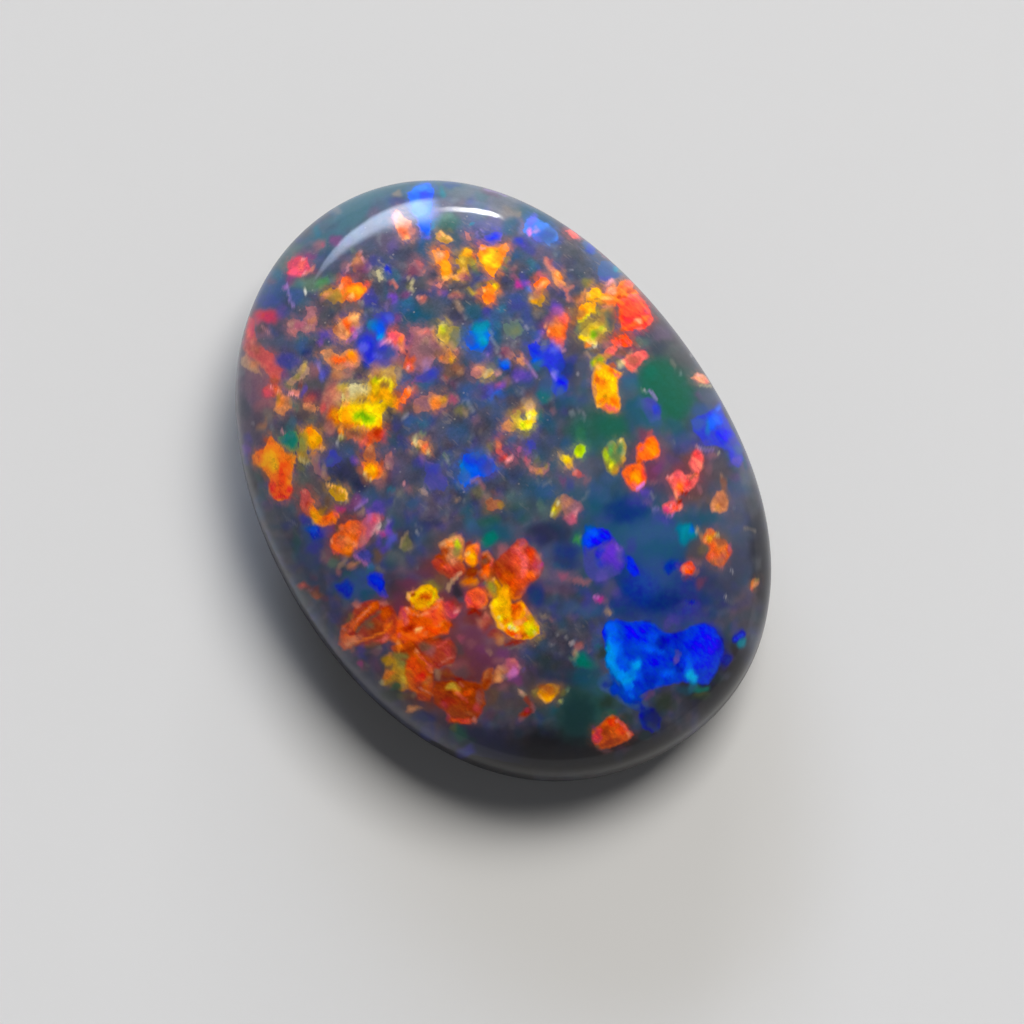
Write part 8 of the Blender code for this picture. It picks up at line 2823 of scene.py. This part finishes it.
def hidden_colours(points):
    """Colours for the far rim, the wall and the back, which the photo doesn't show: the
    same mottled body with dim flakes of the same kinds, fading out to dark potch below."""
    mm = points * 1000
    angle = np.arctan2(mm[:, 1], mm[:, 0]) - FAR_SIDE
    x = np.arctan2(np.sin(angle), np.cos(angle)) * RIM_RADIUS * PIXELS_PER_MM
    y = mm[:, 2] * PIXELS_PER_MM
    body = mottle(x, y, "ground") / TONE_TOP * HIDDEN_DIM
    bend = [waves(x, y, layers) for layers in CHIP_BENDS]
    kinds = np.array([PALETTE[name] for name in HIDDEN_KINDS]) / TONE_TOP
    for size, seed in CHIP_LAYERS:
        number, edge = chips(x + bend[0], y + bend[1], size, seed)
        kind = (number * CHIP_KIND_STEP % 1 * len(kinds)).astype(int)
        picked = kinds[np.minimum(kind, len(kinds) - 1)]
        shown = (number > CHIPS_LEFT_OUT) * smooth_step(*CHIP_EDGE, edge)
        shown = shown * (CHIP_GLOW + waves(x, y, CHIP_GLOW_WAVES))
        body += (picked - body) * shown[:, None]
    potch = np.array(PALETTE["potch_and_shade"]) / TONE_TOP
    vein = np.array(PALETTE["umber"]) / TONE_TOP * HIDDEN_DIM
    potch = potch + (vein - potch) * smooth_step(*VEIN_FADE, waves(x, y, VEIN_WAVES))[:, None]
    low = smooth_step(*POTCH_FADE, mm[:, 2] + waves(x, y, POTCH_WAVES))[:, None]
    return body + (potch - body) * low


def dustiness(x, y):
    """How dusty the body is at each point, from 0 to 1."""
    dusty = np.zeros(len(x))
    for area in DUSTY_AREAS:
        dusty = np.maximum(dusty, cover(area, x, y, (0, 0), (0, 0)))
    return dusty


def unfold(mesh, points, places):
    """Lays every face out in the texture square. The rim has two places in it: one as the edge
    of the dome, and one as the edge of the wall and back."""
    uv = mesh.uv_layers.new(name="OFBake")
    corners = np.empty(len(mesh.loops), int)
    mesh.loops.foreach_get("vertex_index", corners)
    spread = places[corners]
    loop = rim_loop()
    rim_angle = np.arctan2(points[loop, 1] / LENGTH, points[loop, 0] / WIDTH)
    rim_place = dict(zip(loop.tolist(), back_place(rim_angle)))
    for k in range(CELLS_ACROSS * CELLS_ALONG * 4, len(corners)):
        if int(corners[k]) in rim_place:
            spread[k] = rim_place[int(corners[k])]
    uv.data.foreach_set("uv", spread.ravel())


def facing(mesh, points):
    """How squarely each corner looks at the photo's view: 1 straight at it, 0 edge on."""
    normals = np.empty(len(points) * 3)
    mesh.vertices.foreach_get("normal", normals)
    toward = camera_place() - points
    toward /= np.linalg.norm(toward, axis=1)[:, None]
    return np.einsum("ij,ij->i", normals.reshape(-1, 3), toward)


def lay_marks(mesh, points):
    """Writes the look of each corner into the layers that the material reads."""
    x, y = photo_places(points)
    dusty = dustiness(x, y)
    body, flake, inside, halo, foil = paint(x, y, STROKES, "ground", dusty)
    hidden = hidden_colours(points)
    shown = smooth_step(*FACING_FADE, facing(mesh, points))
    shown = shown * smooth_step(*GIRDLE_FADE, points[:, 2] / GIRDLE_HEIGHT)
    body = hidden + (body - hidden) * shown[:, None]
    for name, colour in (("body", body), ("flake", flake)):
        layer = mesh.color_attributes.new(name, "FLOAT_COLOR", "POINT")
        colour = screen_to_linear(np.clip(colour, 0, 1))
        layer.data.foreach_set("color", np.column_stack((colour, np.ones(len(points)))).ravel())
    for name, values in (("inside", inside), ("halo", halo), ("foil", foil), ("dusty", dusty)):
        layer = mesh.attributes.new(name, "FLOAT", "POINT")
        layer.data.foreach_set("value", values * shown)


def make_stone():
    points, places, dome_count = stone_points()
    mesh = bpy.data.meshes.new("opal_stone")
    mesh.from_pydata(points.tolist(), [], stone_faces(dome_count))
    mesh.update()
    mesh.shade_smooth()
    stone = bpy.data.objects.new("opal_stone", mesh)
    bpy.context.scene.collection.objects.link(stone)
    unfold(mesh, points, places)
    lay_marks(mesh, points)
    return stone


# Noise in the stone's material: scale per millimetre, detail and, where given, roughness
GRIT = (22.0, 2.0)
CRINKLE = (6.0, 4.0, 0.65)
STREAKS = (9.0, 3.0, 0.6)
SPARKLE = (15.0, 3.0, 0.6)
FIBRES = (11.0, 1.0)
FIBRE_PATCHES = (0.9, 2.0)
TONES = (7.0, 3.0, 0.6)
FRAY = (12.0, 3.0, 0.6)
WISPS = (8.0, 4.0, 0.7)
POLISH = (2.2, 2.0)

# Cells in the stone's material: scale per millimetre
FACETS = 6.0
DUST = 6.5

# The grain runs along one direction, turned about the vertical
GRAIN_TURN = math.radians(-16)
GRAIN_SCALE = (1000.0, 330.0, 1000.0)   # per metre

# How far each of them swings the brightness in all, and how far the hue
GRIT_SWING = 0.5
CRINKLE_SWING = 0.8
STREAK_SWING = 1.1
STREAK_HUE = 0.03
FACET_SWING = 0.24
TONE_SWING = 0.9
TONE_HUE = 0.05
MIDDLE_HUE = 0.5                        # leaves a colour's hue as it is

# Flakes: from no foil to full foil, where two numbers stand
FLAKE_GRAIN = (0.25, 0.85)              # how much of the grain shows
FLAKE_GAIN = 1.12
FLAKE_SATURATION = 1.03
SPARKLE_FADE = (0.60, 0.72)
SPARKLE_GAIN = 0.3

# Body: from calm to dusty, where two numbers stand for a share
BODY_GRAIN = (0.3, 1.05)
BODY_GAIN = 1.02
BODY_SATURATION = 1.08
PATCH_FADE = (0.42, 0.62)
FIBRE_FADE = (0.62, 0.72)
FIBRE_SHARE = 0.35
FIBRE_COLOUR = (0.30, 0.24, 0.19, 1)
SPECK_FADE = (0.22, 0.08)               # distance from a cell's middle
SPECKS_SHOWN = (0.80, 0.86)             # numbers of the cells that hold a speck
DUST_SHARE = 0.4
DUST_COLOUR = (0.46, 0.40, 0.35, 1)

# Edges of the flakes: from calm to dusty, where two numbers stand for a share
FRAY_SWING = 0.9
FRAY_SHARE = (0.25, 1.0)
EDGE_SHARPNESS = (0.5, 0.95)
OUTLINE_DEPTH = 0.5                     # the value of the layer "inside" on a flake's outline
EDGE_FADE = (-0.12, 0.12)
WISP_FADE = (0.40, 0.62)
GLOW_SHARE = (0.16, 0.52)               # between the wisps, and on them
GLOW_BY_DUST = (0.15, 1.0)

# Surface
BODY_ROUGHNESS = 0.4
BODY_SPECULAR = 0.1
POLISH_BUMP = 0.12
POLISH_BUMP_HEIGHT = 0.00002
COAT_HEIGHTS = (0.0014, 0.0022)         # the lapped back takes less polish than the dome
COAT_WEIGHT = (0.15, 0.75)
COAT_ROUGHNESS = 0.03
COAT_IOR = 1.45

FLOOR_HALF = 4.0
FLOOR_COLOUR = (0.66, 0.65, 0.63, 1)
FLOOR_ROUGHNESS = 0.8
FLOOR_SPECULAR = 0.1

# The studio's tone, from the floor's level at 0 to straight up at 1
STUDIO_LOW = (0.0, (0.36, 0.36, 0.36, 1))
STUDIO_MIDDLE = (0.35, (0.28, 0.29, 0.31, 1))
STUDIO_HIGH = (0.75, (0.02, 0.02, 0.025, 1))

# The window and the glint are soft bands of light on the studio's wall. Turns are in degrees
# clockwise from the top of the image, and heights in degrees above the floor. A band's edges
# are in shares of its half height: below and above its middle line, from none to full.
WINDOW_SLOPE = -0.33
WINDOW_MIDDLE = 16.5
WINDOW_HALF = (0.3, 12.2)               # growth a degree of turn, and size at turn 0
WINDOW_LEAST_HALF = 1.0
WINDOW_EDGES = ((-1.05, -0.35), (1.3, 0.4))
WINDOW_ENDS = ((-42.0, -20.0), (0.5, -5.0))
WINDOW_TAIL_ENDS = ((-5.0, 0.0), (20.0, 8.0))
WINDOW_TAIL = 0.2
WINDOW_COLOUR = (11.5, 13.2, 17.0, 1)
GLINT_SLOPE = -0.52
GLINT_MIDDLE = 18.8
GLINT_HALF = 2.8
GLINT_EDGES = ((-1.1, -0.2), (1.1, 0.2))
GLINT_ENDS = ((-3.0, 2.0), (13.5, 10.0))
GLINT_RISE = (1.0, 9.0)
GLINT_BRIGHTNESS = (0.26, 1.0)
GLINT_COLOUR = (50.0, 50.0, 52.0, 1)

KEY_TURN = 40
KEY_HEIGHT = 62
KEY_DISTANCE = 0.6
KEY_SIZE = 0.34
KEY_POWER = 3.4
KEY_COLOUR = (1.0, 0.985, 0.96)


class Nodes:
    """Short hand for building a node tree."""

    def __init__(self, owner):
        owner.use_nodes = True
        self.tree = owner.node_tree
        self.shader = self.tree.nodes.get("Principled BSDF")

    def add(self, kind, **settings):
        node = self.tree.nodes.new(kind)
        for name, value in settings.items():
            setattr(node, name, value)
        return node

    def put(self, socket, value):
        if isinstance(value, bpy.types.NodeSocket):
            self.tree.links.new(value, socket)
        else:
            socket.default_value = value

    def math(self, operation, first, second=0.0, third=0.0):
        node = self.add("ShaderNodeMath", operation=operation)
        for socket, value in zip(node.inputs, (first, second, third)):
            self.put(socket, value)
        return node.outputs[0]

    def times(self, first, *others):
        for other in others:
            first = self.math("MULTIPLY", first, other)
        return first

    def plus(self, first, *others):
        for other in others:
            first = self.math("ADD", first, other)
        return first

    def between(self, share, low, high):
        """Goes from low to high as share goes from 0 to 1."""
        return self.math("MULTIPLY_ADD", share, high - low, low)

    def swing(self, value, amount, middle=0.0):
        """Swings evenly about middle, by amount in all, as value goes from 0 to 1."""
        return self.between(value, middle - amount / 2, middle + amount / 2)

    def ramp(self, value, low, high):
        """Rises smoothly from 0 at low to 1 at high."""
        node = self.add("ShaderNodeMapRange", interpolation_type="SMOOTHSTEP")
        self.put(node.inputs["Value"], value)
        node.inputs["From Min"].default_value = low
        node.inputs["From Max"].default_value = high
        return node.outputs["Result"]

    def hump(self, value, rise, fall):
        """Rises over the first pair of values and falls over the second, from its far side."""
        return self.times(self.ramp(value, *rise), self.ramp(value, *fall))

    def mix(self, share, first, second):
        node = self.add("ShaderNodeMixRGB")
        for socket, value in zip(node.inputs, (share, first, second)):
            self.put(socket, value)
        return node.outputs[0]

    def tinted(self, colour, value, hue, saturation):
        node = self.add("ShaderNodeHueSaturation")
        self.put(node.inputs["Color"], colour)
        self.put(node.inputs["Value"], value)
        self.put(node.inputs["Hue"], hue)
        self.put(node.inputs["Saturation"], saturation)
        return node.outputs[0]

    def attribute(self, name, output="Fac"):
        return self.add("ShaderNodeAttribute", attribute_name=name).outputs[output]

    def parts(self, vector):
        """The x, y and z of a vector."""
        split = self.add("ShaderNodeSeparateXYZ")
        self.put(split.inputs[0], vector)
        return split.outputs

    def place(self, scale, turn=0.0):
        """The place on the stone, turned about the vertical, then scaled."""
        place = self.add("ShaderNodeTexCoord").outputs["Object"]
        if turn:
            spin = self.add("ShaderNodeVectorRotate", rotation_type="Z_AXIS")
            self.put(spin.inputs["Vector"], place)
            spin.inputs["Angle"].default_value = turn
            place = spin.outputs[0]
        node = self.add("ShaderNodeMapping")
        self.put(node.inputs["Vector"], place)
        node.inputs["Scale"].default_value = scale
        return node.outputs[0]

    def noise(self, place, scale, detail, roughness=0.5):
        node = self.add("ShaderNodeTexNoise")
        self.put(node.inputs["Vector"], place)
        self.put(node.inputs["Scale"], scale)
        self.put(node.inputs["Detail"], detail)
        self.put(node.inputs["Roughness"], roughness)
        return node.outputs["Fac"]

    def cells(self, place, scale):
        """How far each point is from the middle of its cell, and the cell's number."""
        node = self.add("ShaderNodeTexVoronoi")
        self.put(node.inputs["Vector"], place)
        self.put(node.inputs["Scale"], scale)
        split = self.add("ShaderNodeSeparateColor")
        self.put(split.inputs[0], node.outputs["Color"])
        return node.outputs["Distance"], split.outputs[0]


def flake_colour(nodes, mm, along_grain, grit):
    """The flakes' own colour, crinkled like foil."""
    foil = nodes.attribute("foil")
    streaks = nodes.noise(along_grain, *STREAKS)
    swing = nodes.plus(nodes.swing(nodes.noise(mm, *CRINKLE), CRINKLE_SWING),
                       nodes.swing(streaks, STREAK_SWING),
                       nodes.swing(nodes.cells(mm, FACETS)[1], FACET_SWING), grit)
    gain = nodes.math("MULTIPLY_ADD", swing, nodes.between(foil, *FLAKE_GRAIN), FLAKE_GAIN)
    sparkle = nodes.ramp(nodes.noise(along_grain, *SPARKLE), *SPARKLE_FADE)
    gain = nodes.plus(gain, nodes.times(sparkle, foil, SPARKLE_GAIN))
    hue = nodes.swing(streaks, STREAK_HUE, MIDDLE_HUE)
    return nodes.tinted(nodes.attribute("flake", "Color"), gain, hue, FLAKE_SATURATION)


def body_colour(nodes, mm, along_grain, grit, dusty):
    """The body's colour, with the painted shade and reflection at its rim, and fine pale fibres
    and dust.
    """
    tones = nodes.noise(mm, *TONES)
    swing = nodes.plus(nodes.swing(tones, TONE_SWING), grit)
    gain = nodes.plus(nodes.times(swing, nodes.between(dusty, *BODY_GRAIN)), BODY_GAIN)
    hue = nodes.swing(tones, TONE_HUE, MIDDLE_HUE)
    body = nodes.tinted(nodes.attribute("body", "Color"), gain, hue, BODY_SATURATION)
    patches = nodes.ramp(nodes.noise(mm, *FIBRE_PATCHES), *PATCH_FADE)
    fibres = nodes.ramp(nodes.noise(along_grain, *FIBRES), *FIBRE_FADE)
    body = nodes.mix(nodes.times(fibres, patches, dusty, FIBRE_SHARE), body, FIBRE_COLOUR)
    distance, number = nodes.cells(mm, DUST)
    specks = nodes.times(nodes.ramp(distance, *SPECK_FADE), nodes.ramp(number, *SPECKS_SHOWN))
    return nodes.mix(nodes.times(specks, dusty, DUST_SHARE), body, DUST_COLOUR)


def flake_share(nodes, along_grain, dusty):
    """How much of the flakes shows over the body: ragged shapes, with a wispy glow round them."""
    fray = nodes.swing(nodes.noise(along_grain, *FRAY), FRAY_SWING)
    fray = nodes.times(fray, nodes.between(dusty, *FRAY_SHARE))
    depth = nodes.math("SUBTRACT", nodes.plus(nodes.attribute("inside"), fray), OUTLINE_DEPTH)
    sharp = nodes.between(dusty, *EDGE_SHARPNESS)
    crisp = nodes.ramp(nodes.times(depth, sharp), *EDGE_FADE)
    wisps = nodes.ramp(nodes.noise(along_grain, *WISPS), *WISP_FADE)
    glow = nodes.times(nodes.ramp(nodes.attribute("halo"), 0.0, 1.0),
                       nodes.between(wisps, *GLOW_SHARE), nodes.between(dusty, *GLOW_BY_DUST))
    return nodes.math("MAXIMUM", crisp, glow)


def make_opal_material():
    material = bpy.data.materials.new("polished_opal")
    nodes = Nodes(material)
    shader = nodes.shader
    mm = nodes.place((1000.0,) * 3)
    along_grain = nodes.place(GRAIN_SCALE, GRAIN_TURN)
    grit = nodes.swing(nodes.noise(mm, *GRIT), GRIT_SWING)
    dusty = nodes.attribute("dusty")
    body = body_colour(nodes, mm, along_grain, grit, dusty)
    flake = flake_colour(nodes, mm, along_grain, grit)
    nodes.put(shader.inputs["Base Color"],
              nodes.mix(flake_share(nodes, along_grain, dusty), body, flake))
    shader.inputs["Roughness"].default_value = BODY_ROUGHNESS
    shader.inputs["Specular IOR Level"].default_value = BODY_SPECULAR

    # The polish is a coat with faint waves in it
    bump = nodes.add("ShaderNodeBump")
    nodes.put(bump.inputs["Height"], nodes.noise(mm, *POLISH))
    bump.inputs["Strength"].default_value = POLISH_BUMP
    bump.inputs["Distance"].default_value = POLISH_BUMP_HEIGHT
    nodes.put(shader.inputs["Coat Normal"], bump.outputs[0])
    height = nodes.parts(nodes.add("ShaderNodeTexCoord").outputs["Object"])["Z"]
    nodes.put(shader.inputs["Coat Weight"],
              nodes.between(nodes.ramp(height, *COAT_HEIGHTS), *COAT_WEIGHT))
    shader.inputs["Coat Roughness"].default_value = COAT_ROUGHNESS
    shader.inputs["Coat IOR"].default_value = COAT_IOR
    return material


def make_floor():
    mesh = bpy.data.meshes.new("floor")
    half = FLOOR_HALF
    mesh.from_pydata([(-half, -half, 0), (half, -half, 0), (half, half, 0), (-half, half, 0)], [],
                     [(0, 1, 2, 3)])
    floor = bpy.data.objects.new("floor", mesh)
    bpy.context.scene.collection.objects.link(floor)
    material = bpy.data.materials.new("floor")
    shader = Nodes(material).shader
    shader.inputs["Base Color"].default_value = FLOOR_COLOUR
    shader.inputs["Roughness"].default_value = FLOOR_ROUGHNESS
    shader.inputs["Specular IOR Level"].default_value = FLOOR_SPECULAR
    mesh.materials.append(material)


def direction(turn, height):
    """A direction as seen from the stone: turn clockwise from the top of the image, and height
    above the floor, both in degrees."""
    heading = CAMERA_TURN + math.radians(turn)
    rise = math.radians(height)
    level = math.cos(rise)
    return Vector((math.sin(heading) * level, math.cos(heading) * level, math.sin(rise)))


def make_key_light():
    """The soft lamp that casts the stone's shadow. The polish doesn't mirror it."""
    lamp = bpy.data.lights.new("key", "AREA")
    lamp.shape = "RECTANGLE"
    lamp.size = KEY_SIZE
    lamp.size_y = KEY_SIZE
    lamp.energy = KEY_POWER
    lamp.color = KEY_COLOUR
    key = bpy.data.objects.new("key", lamp)
    away = direction(KEY_TURN, KEY_HEIGHT)
    key.location = away * KEY_DISTANCE
    key.rotation_euler = away.to_track_quat("Z", "Y").to_euler()
    key.visible_glossy = False
    bpy.context.scene.collection.objects.link(key)


def band(nodes, turn, height, slope, middle, half, edges):
    """A soft band of light round the studio, which slopes as it goes."""
    line = nodes.math("MULTIPLY_ADD", turn, slope, middle)
    across = nodes.math("DIVIDE", nodes.math("SUBTRACT", height, line), half)
    return nodes.hump(across, *edges)


def make_world():
    """A studio that darkens upwards, with a window and a small bright glint low on its wall."""
    world = bpy.data.worlds.new("studio")
    bpy.context.scene.world = world
    nodes = Nodes(world)
    toward = nodes.parts(nodes.add("ShaderNodeTexCoord").outputs["Generated"])
    ramp = nodes.add("ShaderNodeValToRGB")
    nodes.put(ramp.inputs[0], toward["Z"])
    low, high = ramp.color_ramp.elements
    low.position, low.color = STUDIO_LOW
    high.position, high.color = STUDIO_HIGH
    ramp.color_ramp.elements.new(STUDIO_MIDDLE[0]).color = STUDIO_MIDDLE[1]

    heading = nodes.math("ARCTAN2", toward["X"], toward["Y"])
    turn = nodes.math("MULTIPLY_ADD", heading, 180 / math.pi, -math.degrees(CAMERA_TURN))
    height = nodes.math("MULTIPLY", nodes.math("ARCSINE", toward["Z"]), 180 / math.pi)

    half = nodes.math("MAXIMUM", nodes.math("MULTIPLY_ADD", turn, *WINDOW_HALF), WINDOW_LEAST_HALF)
    window = band(nodes, turn, height, WINDOW_SLOPE, WINDOW_MIDDLE, half, WINDOW_EDGES)
    tail = nodes.hump(turn, *WINDOW_TAIL_ENDS)
    ends = nodes.math("MULTIPLY_ADD", tail, WINDOW_TAIL, nodes.hump(turn, *WINDOW_ENDS))
    window = nodes.times(window, ends)

    glint = band(nodes, turn, height, GLINT_SLOPE, GLINT_MIDDLE, GLINT_HALF, GLINT_EDGES)
    bright = nodes.between(nodes.ramp(turn, *GLINT_RISE), *GLINT_BRIGHTNESS)
    glint = nodes.times(glint, nodes.hump(turn, *GLINT_ENDS), bright)

    back = world.node_tree.nodes["Background"]
    tone = nodes.mix(window, ramp.outputs[0], WINDOW_COLOUR)
    nodes.put(back.inputs["Color"], nodes.mix(glint, tone, GLINT_COLOUR))
    back.inputs["Strength"].default_value = 1.0


def make_camera():
    data = bpy.data.cameras.new("camera")
    data.sensor_width = SENSOR
    data.lens = FOCAL_PIXELS * SENSOR / IMAGE_SIZE
    data.clip_start, data.clip_end = CAMERA_CLIP
    data.dof.use_dof = False
    camera = bpy.data.objects.new("camera", data)
    bpy.context.scene.collection.objects.link(camera)
    right, up, forward = view_axes()
    turn = Matrix((right, up, -forward)).transposed().to_4x4()
    camera.matrix_world = Matrix.Translation(camera_place()) @ turn
    bpy.context.scene.camera = camera


stone = make_stone()
stone.data.materials.append(make_opal_material())
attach(stone, "root")
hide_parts("opal")

make_floor()
make_world()
make_key_light()
make_camera()
bpy.context.scene.view_settings.view_transform = "Standard"
